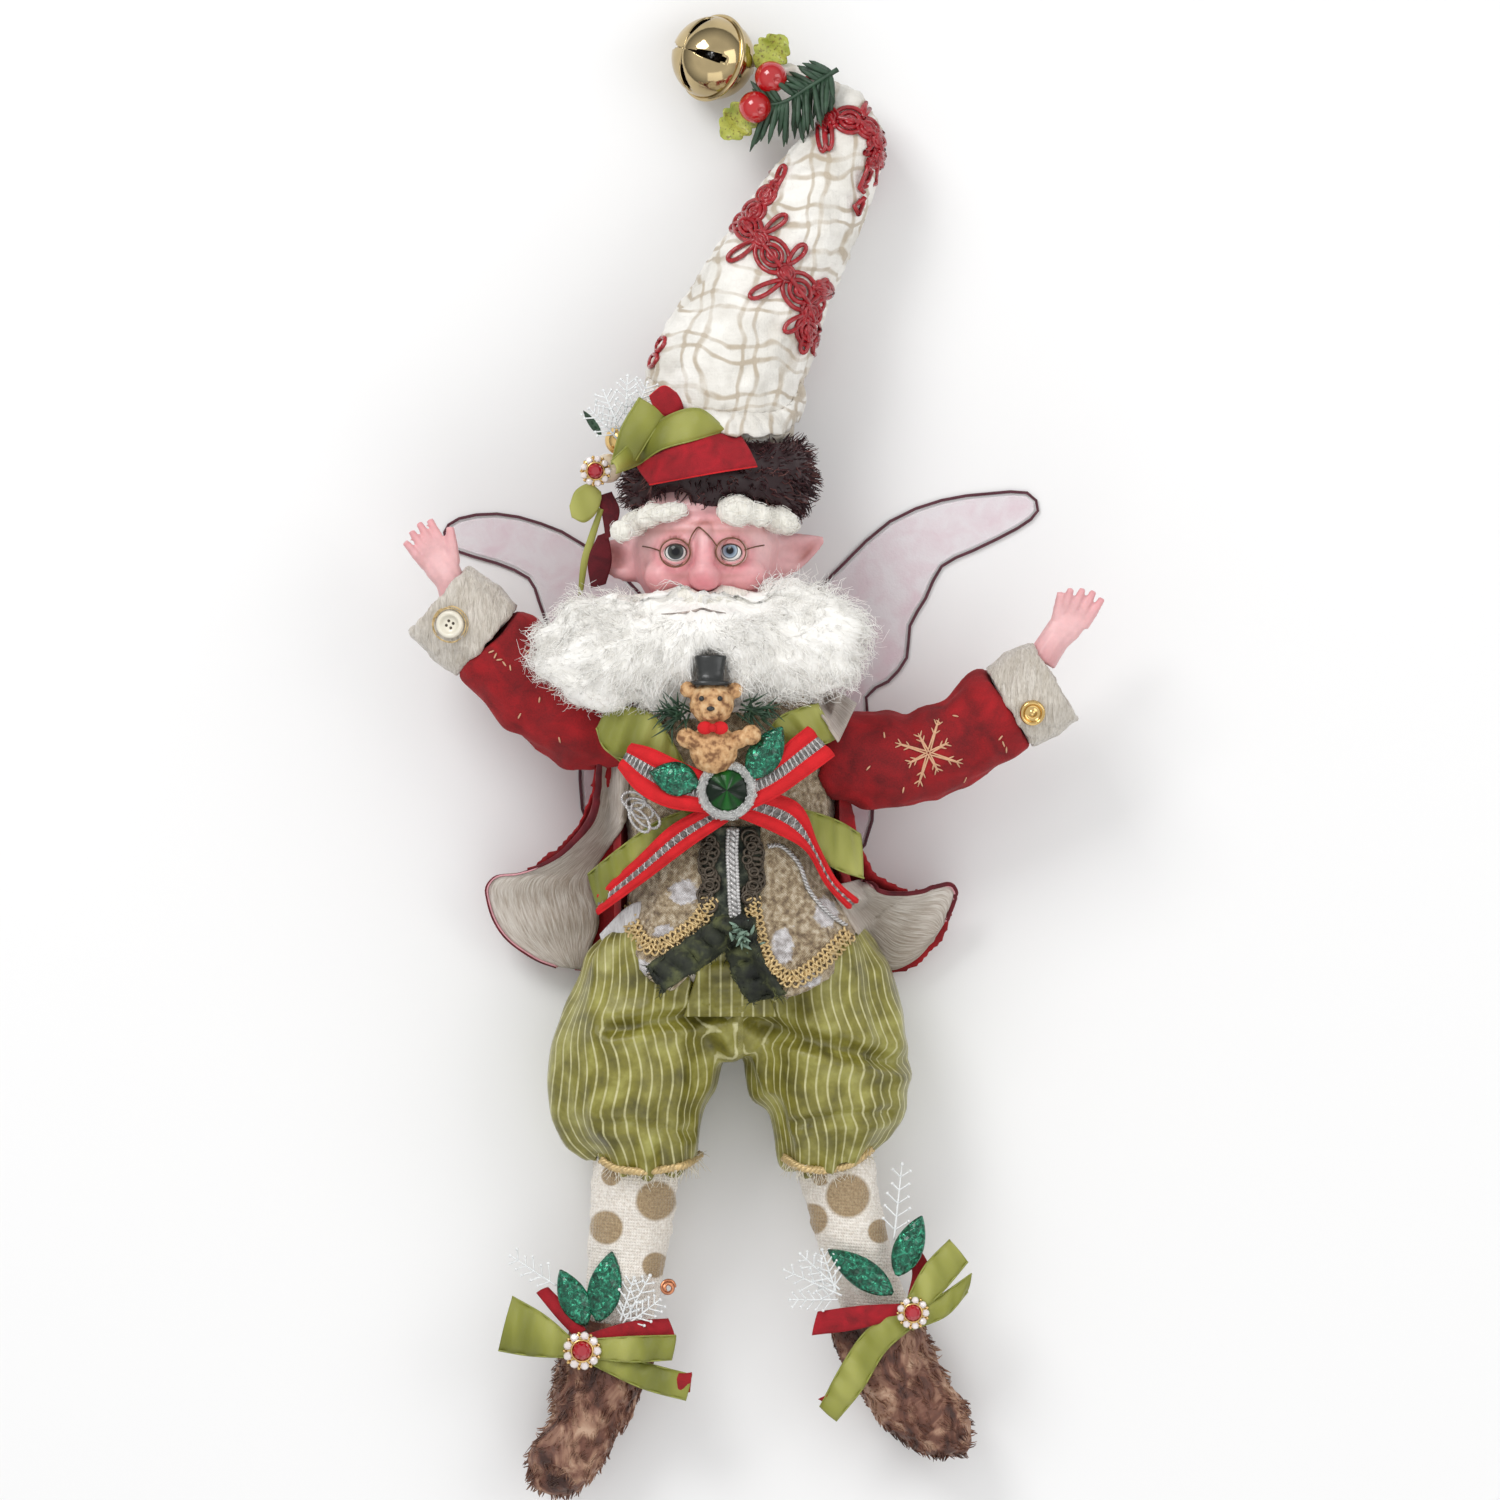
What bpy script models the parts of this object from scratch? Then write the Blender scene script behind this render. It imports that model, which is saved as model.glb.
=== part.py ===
"""A posed Christmas fairy figurine, about 0.37 m from hat tip to toes.

A stuffed body with a cast head and hands wears sewn clothes, a tall bent hat and a pair of wire wings.
The figure can't stand by itself, so it lies on its back: +X is the figure's left, +Y runs from its
feet to its hat, and +Z is up, out of its chest. The table is at Z = 0. "right" and "left" are the
figure's own. Every size is in metres.
"""

import math

import bmesh
import bpy
import numpy as np
from mathutils import Matrix, Vector
from mathutils.bvhtree import BVHTree

# Clearances
SEAT_GAP = 0.0003
HIDDEN_OVERLAP = 0.002

# Stuffed body
HIP_X = -0.0035
HIP_Y = -0.056
HIP_HALF_WIDTH = 0.0225
HIP_HALF_DEPTH = 0.0165
WAIST_Y = -0.033
WAIST_HALF_WIDTH = 0.0215
WAIST_HALF_DEPTH = 0.0165
CHEST_X = -0.006
CHEST_Y = -0.004
CHEST_HALF_WIDTH = 0.0255
CHEST_HALF_DEPTH = 0.0185
SHOULDER_Y = 0.014
SHOULDER_HALF_WIDTH = 0.023
SHOULDER_HALF_DEPTH = 0.0125
NECK_X = -0.010
NECK_RADIUS = 0.0075
NECK_LENGTH = 0.018
BODY_Z = 0.0240

# Head
HEAD_X = -0.0115
HEAD_Z = 0.0300
HEAD_HALF_WIDTH = 0.0185
HEAD_HALF_HEIGHT = 0.0220
HEAD_HALF_DEPTH = 0.0200
CHIN_BELOW_NECK_TOP = 0.0110
NOSE_RADIUS = 0.0042
NOSE_DROP = 0.0080
EYE_RADIUS = 0.0036
EYE_SPACING = 0.0140
EYE_RISE = -0.0020
EAR_LENGTH = 0.0150
EAR_HALF_HEIGHT = 0.0056
EAR_HALF_THICKNESS = 0.0024
LENS_RADIUS = 0.0046
SPECTACLE_WIRE_RADIUS = 0.0003

# Hair, moustache and beard
FRINGE_RADIUS = 0.0045
MOUSTACHE_HALF_WIDTH = 0.0230
MOUSTACHE_RADIUS = 0.0040
BEARD_HALF_WIDTH = 0.0440
BEARD_HALF_HEIGHT = 0.0175
BEARD_HALF_DEPTH = 0.0150

# Hat
BAND_HALF_WIDTH = 0.0253
BAND_HALF_DEPTH = 0.0265
BAND_HALF_HEIGHT = 0.0112
BAND_FUR_THICKNESS = 0.0120
BAND_ABOVE_HEAD_CENTRE = 0.0165
HAT_BASE_RADIUS = 0.0197
HAT_TIP_RADIUS = 0.0018
BRAID_WIDTH = 0.0070
BRAID_THICKNESS = 0.0012
BELL_RADIUS = 0.0105
BELL_WALL = 0.0008
BELL_SEAM = 1.06
BELL_SLOT = 0.0020
PELLET_RADIUS = 0.0022
BERRY_RADIUS = 0.0041
HOLLY_LENGTH = 0.0150
HOLLY_THICKNESS = 0.0008
NEEDLE_LENGTH = 0.0145
NEEDLE_RADIUS = 0.0009
BAUBLE_RADIUS = 0.0037

# Legs and boots
LEG_RADIUS = 0.0106
ANKLE_RADIUS = 0.0084
BOOT_HALF_WIDTH = 0.0118
BOOT_HALF_DEPTH = 0.0122

# Clothes
BREECHES_HALF_WIDTH = 0.0202
BREECHES_HALF_DEPTH = 0.0196
BREECHES_WAIST_CLOTH = 0.0040
VEST_CLOTH = 0.0018
VEST_FLARE = 0.0065
COAT_CLOTH = 0.0022
COAT_BACK_FULLNESS = 0.0015
LINING_CLOTH = 0.0010
SLEEVE_RADIUS = 0.0118
CUFF_RADIUS = 0.0122
WRIST_RADIUS = 0.0040
PALM_HALF_WIDTH = 0.0043
FINGER_RADIUS = 0.0013
BUTTON_RADIUS = 0.0038
BUTTON_THICKNESS = 0.0014
BUTTON_HOLE_RADIUS = 0.0005

# Wings
WING_WIRE_RADIUS = 0.0006
WING_FILM_THICKNESS = 0.0005

# Ribbons, stones and leaves
WIDE_RIBBON = 0.0115
NARROW_RIBBON = 0.0070
RIBBON_THICKNESS = 0.0007
STONE_RADIUS = 0.0054
SETTING_RADIUS = 0.0078
SETTING_HEIGHT = 0.0026
JEWEL_RADIUS = 0.0046
JEWEL_HEIGHT = 0.0018
LEAF_LENGTH = 0.0125
LEAF_HALF_WIDTH = 0.0038
LEAF_HALF_THICKNESS = 0.0017
TEDDY_HEAD_RADIUS = 0.0053
TEDDY_BODY_HALF_HEIGHT = 0.0064

# Colour, roughness and metallic value of each material
FINISHES = {
    "body_cloth": ((0.80, 0.74, 0.66), 0.9, 0.0),
    "skin": ((0.86, 0.56, 0.52), 0.45, 0.0),
    "glass_eye": ((0.75, 0.82, 0.88), 0.1, 0.0),
    "gold_wire": ((0.72, 0.50, 0.22), 0.3, 1.0),
    "white_fleece": ((0.88, 0.87, 0.83), 0.95, 0.0),
    "burgundy_fur": ((0.055, 0.010, 0.014), 0.9, 0.0),
    "plaid_cotton": ((0.86, 0.83, 0.78), 0.9, 0.0),
    "red_braid": ((0.60, 0.015, 0.03), 0.55, 0.0),
    "bell_metal": ((0.78, 0.70, 0.50), 0.15, 1.0),
    "steel": ((0.50, 0.50, 0.50), 0.4, 1.0),
    "holly_green": ((0.33, 0.38, 0.07), 0.6, 0.0),
    "berry_red": ((0.62, 0.01, 0.02), 0.2, 0.0),
    "pine_green": ((0.07, 0.15, 0.09), 0.6, 0.0),
    "red_velvet": ((0.42, 0.005, 0.012), 0.85, 0.0),
    "olive_satin": ((0.36, 0.38, 0.06), 0.45, 0.0),
    "gold_bauble": ((0.72, 0.50, 0.20), 0.2, 1.0),
    "red_crystal": ((0.65, 0.01, 0.03), 0.1, 0.0),
    "green_crystal": ((0.01, 0.16, 0.03), 0.1, 0.0),
    "silver_foil": ((0.72, 0.72, 0.70), 0.3, 1.0),
    "foil_leaf": ((0.01, 0.28, 0.13), 0.25, 0.3),
    "stocking_knit": ((0.84, 0.79, 0.74), 0.9, 0.0),
    "brown_plush": ((0.26, 0.09, 0.05), 0.8, 0.0),
    "vest_brocade": ((0.50, 0.40, 0.26), 0.7, 0.0),
    "silver_braid": ((0.35, 0.33, 0.32), 0.5, 0.3),
    "coat_lining": ((0.55, 0.50, 0.44), 0.85, 0.0),
    "ivory_button": ((0.85, 0.80, 0.58), 0.4, 0.0),
    "bear_resin": ((0.62, 0.38, 0.20), 0.6, 0.0),
    "wing_gauze": ((0.90, 0.84, 0.87), 0.6, 0.0),
    "wing_wire": ((0.12, 0.07, 0.10), 0.5, 0.5),
}

UP = Vector((0, 0, 1))
RIGHT, LEFT = -1, 1
EAR_RISE = {RIGHT: 0.12, LEFT: 0.36}

for stale in list(bpy.data.objects):
    bpy.data.objects.remove(stale)
parts = bpy.data.collections.new("fairy_figurine")
helpers = bpy.data.collections.new("cutters")
bpy.context.scene.collection.children.link(parts)
bpy.context.scene.collection.children.link(helpers)

envelopes = {}
surfaces = {}


# Tools

def material(name):
    """The named finish as a Principled BSDF."""
    found = bpy.data.materials.get(name)
    if found:
        return found
    colour, roughness, metallic = FINISHES[name]
    made = bpy.data.materials.new(name)
    made.use_nodes = True
    shader = made.node_tree.nodes["Principled BSDF"]
    shader.inputs["Base Color"].default_value = (*colour, 1)
    shader.inputs["Roughness"].default_value = roughness
    shader.inputs["Metallic"].default_value = metallic
    made.diffuse_color = (*colour, 1)
    return made


def piece(name, data, finish):
    """A new object of the figure, from a mesh or a curve."""
    made = bpy.data.objects.new(name, data)
    parts.objects.link(made)
    data.materials.clear()
    data.materials.append(material(finish))
    return made


def mesh_of(bm, name):
    bmesh.ops.recalc_face_normals(bm, faces=bm.faces)
    made = bpy.data.meshes.new(name)
    bm.to_mesh(made)
    bm.free()
    return made


def baked(thing):
    """The object as a plain mesh of triangles, with its curve or modifiers evaluated and caps welded."""
    bpy.context.view_layer.update()
    graph = bpy.context.evaluated_depsgraph_get()
    made = bpy.data.meshes.new_from_object(thing.evaluated_get(graph))
    made.transform(thing.matrix_world)
    bm = bmesh.new()
    bm.from_mesh(made)
    bmesh.ops.remove_doubles(bm, verts=bm.verts, dist=1e-6)
    bmesh.ops.dissolve_degenerate(bm, edges=bm.edges, dist=1e-6)
    bmesh.ops.triangulate(bm, faces=bm.faces)
    if thing.type == "CURVE":
        bmesh.ops.recalc_face_normals(bm, faces=bm.faces)
    bm.to_mesh(made)
    bm.free()
    name = thing.name
    finish = thing.data.materials[0].name
    bpy.data.objects.remove(thing)
    return piece(name, made, finish)


def main_body(thing):
    """Drops the crumbs that a cut leaves, and keeps the largest body."""
    bm = bmesh.new()
    bm.from_mesh(thing.data)
    groups = []
    waiting = set(bm.verts)
    while waiting:
        front = [waiting.pop()]
        group = set(front)
        while front:
            for edge in front.pop().link_edges:
                for vert in edge.verts:
                    if vert in waiting:
                        waiting.remove(vert)
                        group.add(vert)
                        front.append(vert)
        groups.append(group)
    def volume(group):
        faces = {face for vert in group for face in vert.link_faces}
        total = 0.0
        for face in faces:
            spots = [v.co for v in face.verts]
            total += sum(spots[0].dot(p.cross(q)) for p, q in zip(spots[1:], spots[2:]))
        return abs(total)

    keep = max(groups, key=volume)
    bmesh.ops.delete(bm, geom=[v for v in bm.verts if v not in keep], context="VERTS")
    bm.to_mesh(thing.data)
    bm.free()
    return thing


def boolean(thing, other, operation):
    change = thing.modifiers.new(operation, "BOOLEAN")
    change.operation = operation
    change.solver = "EXACT"
    change.object = other
    return baked(thing)


def fused(name, things, outsides=None):
    """One solid from several that overlap. The envelopes of the simple shapes are kept for later cuts."""
    envelopes[name] = [room_for(thing) for thing in outsides or things]
    whole = things[0]
    for other in things[1:]:
        whole = boolean(whole, other, "UNION")
        bpy.data.objects.remove(other)
    whole.name = name
    return main_body(whole)


def grown(thing, by):
    """A hidden copy of the object with its faces moved outwards, to cut its neighbours with."""
    bm = bmesh.new()
    bm.from_mesh(thing.data)
    bmesh.ops.triangulate(bm, faces=bm.faces)
    bm.normal_update()
    shifts = [v.normal * by * min(v.calc_shell_factor(), 2.0) for v in bm.verts]
    for vert, shift in zip(bm.verts, shifts):
        vert.co += shift
    made = bpy.data.objects.new(thing.name + "_envelope", mesh_of(bm, "envelope"))
    helpers.objects.link(made)
    made.hide_render = True
    made.display_type = "WIRE"
    return made


def room_for(thing):
    """Envelopes of the object at the seat gap and a little over it, for cuts that fail at the first."""
    return [grown(thing, SEAT_GAP * size) for size in (1.0, 1.2, 1.5)]


def closed_volume(thing):
    """The object's volume, or nothing if it isn't closed."""
    bm = bmesh.new()
    bm.from_mesh(thing.data)
    volume = bm.calc_volume() if all(edge.is_manifold for edge in bm.edges) else 0.0
    bm.free()
    return volume


def cut(thing, tools):
    """The object less the first of the tools that leaves it closed."""
    name = thing.name
    for tool in tools:
        trial = thing.copy()
        trial.data = thing.data.copy()
        parts.objects.link(trial)
        trial = boolean(trial, tool, "DIFFERENCE")
        if closed_volume(trial) > 0.05 * closed_volume(thing):
            bpy.data.objects.remove(thing)
            trial.name = name
            return trial
        bpy.data.objects.remove(trial)
    return thing


def reach(thing):
    """The lowest and the highest corner of an object's own points."""
    spots = [v.co for v in thing.data.vertices]
    return [[pick(s[k] for s in spots) for k in range(3)] for pick in (min, max)]


def meets(thing, other):
    (low, high), (other_low, other_high) = reach(thing), reach(other)
    return all(low[k] < other_high[k] and other_low[k] < high[k] for k in range(3))


def surface_of(things):
    """The faces of some mesh objects as one tree to measure from."""
    bm = bmesh.new()
    for thing in things:
        bm.from_mesh(thing.data)
    tree = BVHTree.FromBMesh(bm)
    bm.free()
    return tree


def settled(thing, *neighbours):
    """The object cut clear of the named neighbours. Its own whole shape is kept for later cuts."""
    thing = baked(thing)
    name = thing.name
    if name not in envelopes:
        envelopes[name] = [room_for(thing)]
    surfaces[name] = surface_of([sizes[0] for sizes in envelopes[name]])
    for other in neighbours:
        for sizes in envelopes[other]:
            if meets(thing, sizes[0]):
                thing = cut(thing, sizes)
    # Where an envelope is creased, what still crosses the neighbour itself comes off too
    for other in neighbours:
        finished = bpy.data.objects[other]
        if meets(thing, finished) and surface_of([thing]).overlap(surface_of([finished])):
            thing = cut(thing, [finished])
    return smooth(main_body(thing))


def smooth(thing):
    thing.data.shade_smooth()
    thing.data.set_sharp_from_angle(angle=math.radians(40))
    return thing


def flattened(thing, level=0.0):
    """The object with what lies below a level cut off flat."""
    thing = baked(thing)
    size = 1.0
    bm = bmesh.new()
    bmesh.ops.create_cube(bm, size=size, matrix=Matrix.Translation((0, 0, level - size / 2)))
    table = bpy.data.objects.new("table_cutter", mesh_of(bm, "table_cutter"))
    helpers.objects.link(table)
    table.hide_render = True
    thing = boolean(thing, table, "DIFFERENCE")
    bpy.data.objects.remove(table)
    return thing


def rest_point(x, y, *names):
    """The highest point over (x, y) of the named pieces, clear of them by the gap, and its normal."""
    best = None
    for name in names:
        spot, normal, _, _ = surfaces[name].ray_cast(Vector((x, y, 1)), -UP)
        if spot and (best is None or spot.z > best[0].z):
            best = (spot, normal)
    return best or (Vector((x, y, 0)), UP.copy())


def through(stations, per_span):
    """Rows of numbers on a smooth curve that passes through the given rows."""
    p = np.array(stations, float)
    p = np.vstack([2 * p[0] - p[1], p, 2 * p[-1] - p[-2]])
    rows = []
    for a, b, c, d in zip(p, p[1:], p[2:], p[3:]):
        for t in np.arange(per_span) / per_span:
            rows.append(b + 0.5 * t * (c - a + t * (2 * a - 5 * b + 4 * c - d + t * (3 * b - a - 3 * c + d))))
    rows.append(p[-2])
    return np.array(rows)


def loft(name, stations, finish, per_span=2, sides=14):
    """A closed skin through ellipses. A station is x, y, z, half width and half depth."""
    rows = through(stations, per_span)
    bm = bmesh.new()
    loops = []
    for i, row in enumerate(rows):
        ahead = Vector((rows[min(i + 1, len(rows) - 1)] - rows[max(i - 1, 0)])[:3])
        across = ahead.cross(UP).normalized()
        out = across.cross(ahead).normalized()
        wide, deep = max(row[3], 0.0002), max(row[4], 0.0002)
        turns = [2 * math.pi * k / sides for k in range(sides)]
        loops.append(
            [
                bm.verts.new(Vector(row[:3]) + across * wide * math.cos(a) + out * deep * math.sin(a))
                for a in turns
            ]
        )
    for low, high in zip(loops, loops[1:]):
        for k in range(sides):
            bm.faces.new((low[k], low[k - 1], high[k - 1], high[k]))
    bm.faces.new(loops[0])
    bm.faces.new(loops[-1])
    return piece(name, mesh_of(bm, name), finish)


def ball(name, centre, radii, finish, segments=10, rings=7, turn=None):
    """A sphere or an ellipsoid."""
    bm = bmesh.new()
    place = Matrix.Translation(centre) @ (turn or Matrix()) @ Matrix.Diagonal((*radii, 1))
    bmesh.ops.create_uvsphere(bm, u_segments=segments, v_segments=rings, radius=1, matrix=place)
    return piece(name, mesh_of(bm, name), finish)


def turned_to(axis):
    """A rotation that carries +Z to the axis."""
    return Vector(axis).normalized().to_track_quat("Z", "Y").to_matrix().to_4x4()


def cylinder(name, base, axis, height, radius, top_radius, finish, segments=20):
    """A disc, rod or cone that stands on its base point along the axis."""
    bm = bmesh.new()
    place = Matrix.Translation(base) @ turned_to(axis) @ Matrix.Translation((0, 0, height / 2))
    bmesh.ops.create_cone(
        bm, cap_ends=True, segments=segments, radius1=radius, radius2=top_radius, depth=height, matrix=place
    )
    return piece(name, mesh_of(bm, name), finish)


def wire(name, points, radius, finish, closed=False, sides=2):
    """A round wire along the points."""
    curve = bpy.data.curves.new(name, "CURVE")
    curve.dimensions = "3D"
    curve.bevel_depth = radius
    curve.bevel_resolution = sides
    curve.use_fill_caps = True
    spline = curve.splines.new("POLY")
    spline.points.add(len(points) - 1)
    for point, place in zip(spline.points, points):
        point.co = (*place, 1)
    spline.use_cyclic_u = closed
    return piece(name, curve, finish)


def plate(name, outline, thickness, finish, centre=(0, 0, 0), turn=None):
    """A flat shape cut to an outline, centred on its own thickness."""
    curve = bpy.data.curves.new(name, "CURVE")
    curve.dimensions = "2D"
    curve.fill_mode = "BOTH"
    curve.extrude = thickness / 2
    spline = curve.splines.new("POLY")
    spline.points.add(len(outline) - 1)
    for point, place in zip(spline.points, outline):
        point.co = (place[0], place[1], 0, 1)
    spline.use_cyclic_u = True
    made = piece(name, curve, finish)
    made.matrix_world = Matrix.Translation(centre) @ (turn or Matrix())
    return baked(made)


def strip(name, route, width, finish, thickness=RIBBON_THICKNESS, per_span=2):
    """A ribbon along a route of points, level across its width."""
    rows = through(route, per_span)
    first = Vector(rows[-1] - rows[0])
    bm = bmesh.new()
    pairs = []
    for i, row in enumerate(rows):
        ahead = Vector(rows[min(i + 1, len(rows) - 1)] - rows[max(i - 1, 0)])
        if math.hypot(ahead.x, ahead.y) < 0.2 * ahead.length:
            ahead = first
        across = Vector((-ahead.y, ahead.x, 0)).normalized()
        if pairs and across.dot(side) < 0:
            across = -across
        side = across
        pairs.append([bm.verts.new(Vector(row) + across * width * s / 2) for s in (-1, 1)])
    for low, high in zip(pairs, pairs[1:]):
        bm.faces.new((low[0], low[1], high[1], high[0]))
    made = piece(name, mesh_of(bm, name), finish)
    cloth = made.modifiers.new("cloth", "SOLIDIFY")
    cloth.thickness = thickness
    cloth.offset = 0
    cloth.use_even_offset = True
    return baked(made)


def bow_loop(name, knot, tip, rise, width, finish):
    """A ribbon that leaves the knot, turns over at its tip and comes back above itself.

    The second object is its filled outline.
    """
    out = Vector(tip) - Vector(knot)
    length = math.hypot(out.x, out.y)
    turn = Matrix.Rotation(math.atan2(out.y, out.x), 4, "Z") @ Matrix.Rotation(math.pi / 2, 4, "X")
    made = []
    steps = 10
    for insets in ((0.0, RIBBON_THICKNESS), (0.0,)):
        curve = bpy.data.curves.new(name, "CURVE")
        curve.dimensions = "2D"
        curve.fill_mode = "BOTH"
        curve.extrude = width / 2
        for inset in insets:
            spline = curve.splines.new("POLY")
            spline.points.add(steps - 1)
            for k, point in enumerate(spline.points):
                a = 2 * math.pi * k / steps
                along = length / 2 - (length / 2 - inset) * math.cos(a)
                swell = math.sqrt(max(along / length, 0.15))
                point.co = (along, rise / 2 + (rise / 2 - inset) * math.sin(a) * swell, 0, 1)
            spline.use_cyclic_u = True
        loop = piece(name, curve, finish)
        loop.matrix_world = Matrix.Translation(knot) @ turn
        made.append(baked(loop))
    return made


def sheet(name, cage, thickness, finish, levels=1):
    """A cloth shell over a coarse cage of points."""
    bm = bmesh.new()
    grid = [[bm.verts.new(point) for point in row] for row in cage]
    for low, high in zip(grid, grid[1:]):
        for k in range(len(low) - 1):
            bm.faces.new((low[k], low[k + 1], high[k + 1], high[k]))
    made = piece(name, mesh_of(bm, name), finish)
    soft = made.modifiers.new("soft", "SUBSURF")
    soft.levels = soft.render_levels = levels
    cloth = made.modifiers.new("cloth", "SOLIDIFY")
    cloth.thickness = thickness
    cloth.offset = 0
    return baked(made)


# Stuffed body, head and hair

def torso():
    """A stuffed cloth body from the crotch to the top of the neck."""
    bottom = HIP_Y - 0.010
    neck_base = SHOULDER_Y + 0.008
    stations = [
        (HIP_X, bottom, BODY_Z, HIP_HALF_WIDTH * 0.6, HIP_HALF_DEPTH * 0.6),
        (HIP_X, HIP_Y, BODY_Z, HIP_HALF_WIDTH, HIP_HALF_DEPTH),
        ((HIP_X + CHEST_X) / 2, WAIST_Y, BODY_Z, WAIST_HALF_WIDTH, WAIST_HALF_DEPTH),
        (CHEST_X, CHEST_Y, BODY_Z, CHEST_HALF_WIDTH, CHEST_HALF_DEPTH),
        (NECK_X, SHOULDER_Y, BODY_Z, SHOULDER_HALF_WIDTH, SHOULDER_HALF_DEPTH),
        (NECK_X, neck_base, BODY_Z, NECK_RADIUS * 1.3, NECK_RADIUS * 1.2),
        (NECK_X, neck_base + NECK_LENGTH, BODY_Z, NECK_RADIUS, NECK_RADIUS),
    ]
    return settled(loft("torso", stations, "body_cloth", sides=12))


def head_centre():
    neck_top = SHOULDER_Y + 0.008 + NECK_LENGTH
    return Vector((HEAD_X, neck_top + HEAD_HALF_HEIGHT - CHIN_BELOW_NECK_TOP, HEAD_Z))


def on_face(x, y):
    """A point on the skull's front, at an offset from the head's centre."""
    depth = 1 - (x / HEAD_HALF_WIDTH) ** 2 - (y / HEAD_HALF_HEIGHT) ** 2
    return head_centre() + Vector((x, y, HEAD_HALF_DEPTH * math.sqrt(max(depth, 0.05))))


def eye_centre(side):
    return on_face(side * EYE_SPACING / 2, EYE_RISE) - UP * EYE_RADIUS * 0.55


def eyes():
    for side, word in ((RIGHT, "right"), (LEFT, "left")):
        settled(ball("eye_" + word, eye_centre(side), (EYE_RADIUS,) * 3, "glass_eye", 12, 8))


def ear(side):
    """A long pointed ear that leans up and out, with a dished front."""
    root = head_centre() + Vector((side * HEAD_HALF_WIDTH * 0.86, -0.004, -0.001))
    out = Vector((side * 0.92, EAR_RISE[side], -0.05)).normalized()
    stations = [
        (*(root - out * 0.003), EAR_HALF_HEIGHT * 0.9, EAR_HALF_THICKNESS),
        (*(root + out * EAR_LENGTH * 0.25), EAR_HALF_HEIGHT, EAR_HALF_THICKNESS),
        (*(root + out * EAR_LENGTH * 0.60), EAR_HALF_HEIGHT * 0.75, EAR_HALF_THICKNESS * 0.8),
        (*(root + out * EAR_LENGTH), EAR_HALF_HEIGHT * 0.18, EAR_HALF_THICKNESS * 0.3),
    ]
    shell = loft("ear", stations, "skin", per_span=2, sides=10)
    hollow = root + out * EAR_LENGTH * 0.42 + UP * EAR_HALF_THICKNESS * 1.4
    turn = Matrix.Rotation(math.atan2(out.y, out.x), 4, "Z")
    radii = (EAR_LENGTH * 0.34, EAR_HALF_HEIGHT * 0.62, EAR_HALF_THICKNESS)
    dish = ball("dish", hollow, radii, "skin", 12, 8, turn)
    shell = boolean(shell, dish, "DIFFERENCE")
    bpy.data.objects.remove(dish)
    return shell


def head():
    """A cast head with ears, cheeks and a round nose, hollow where the neck and the eyes fit."""
    centre = head_centre()
    skull = ball("skull", centre, (HEAD_HALF_WIDTH, HEAD_HALF_HEIGHT, HEAD_HALF_DEPTH), "skin", 16, 11)
    nose_tip = on_face(0, -NOSE_DROP)
    nose = ball("nose", nose_tip, (NOSE_RADIUS, NOSE_RADIUS * 0.9, NOSE_RADIUS), "skin", 12, 8)
    bridge = ball(
        "bridge", on_face(0, -NOSE_DROP * 0.2), (NOSE_RADIUS * 0.55, NOSE_DROP, NOSE_RADIUS * 0.5), "skin", 10, 8
    )
    cheeks = [
        ball("cheek", on_face(side * 0.0095, -0.0075) - UP * 0.003, (0.0058, 0.0048, 0.0046), "skin", 10, 7)
        for side in (RIGHT, LEFT)
    ]
    whole = fused("head", [skull, nose, bridge, *cheeks, ear(RIGHT), ear(LEFT)])
    return settled(whole, "torso", "eye_right", "eye_left", "spectacles")


def spectacles():
    """Round wire rims joined by a bridge, with a short wire to each temple."""
    rims = []
    front = max((eye_centre(side) + UP * EYE_RADIUS).z for side in (RIGHT, LEFT)) + 0.0006
    turns = [2 * math.pi * k / 16 for k in range(14)]
    for side in (RIGHT, LEFT):
        middle = eye_centre(side)
        ring = [
            (middle.x + LENS_RADIUS * math.cos(a), middle.y + LENS_RADIUS * math.sin(a), front)
            for a in turns
        ]
        rims.append(baked(wire("rim", ring, SPECTACLE_WIRE_RADIUS, "gold_wire", closed=True, sides=1)))
    inner = [eye_centre(side).x - side * LENS_RADIUS for side in (RIGHT, LEFT)]
    brow = eye_centre(RIGHT).y
    peak = ((inner[0] + inner[1]) / 2, brow + LENS_RADIUS * 0.8, front + 0.0004)
    bridge = [(inner[0], brow, front), peak, (inner[1], brow, front)]
    pieces = [*rims, baked(wire("bridge", bridge, SPECTACLE_WIRE_RADIUS, "gold_wire", sides=1))]
    for side in (RIGHT, LEFT):
        start = eye_centre(side) + Vector((side * LENS_RADIUS, 0, 0))
        start.z = front
        end = on_face(side * HEAD_HALF_WIDTH * 0.8, EYE_RISE)
        pieces.append(baked(wire("temple", [start, end], SPECTACLE_WIRE_RADIUS, "gold_wire", sides=1)))
    return settled(fused("spectacles", pieces))


def fringe():
    """A curl of white hair on each side of the forehead, under the hat's band."""
    for side, word in ((RIGHT, "right"), (LEFT, "left")):
        stations = []
        for across, up, size in ((0.0045, 0.0090, 0.80), (0.0110, 0.0080, 1.0), (0.0165, 0.0045, 0.9)):
            spot = on_face(side * across, up) + UP * FRINGE_RADIUS * 0.15
            stations.append((*spot, FRINGE_RADIUS * size, FRINGE_RADIUS * size))
        curl = loft("hair_" + word, stations, "white_fleece", per_span=3, sides=12)
        settled(curl, "head", "eye_right", "eye_left", "spectacles")


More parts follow.
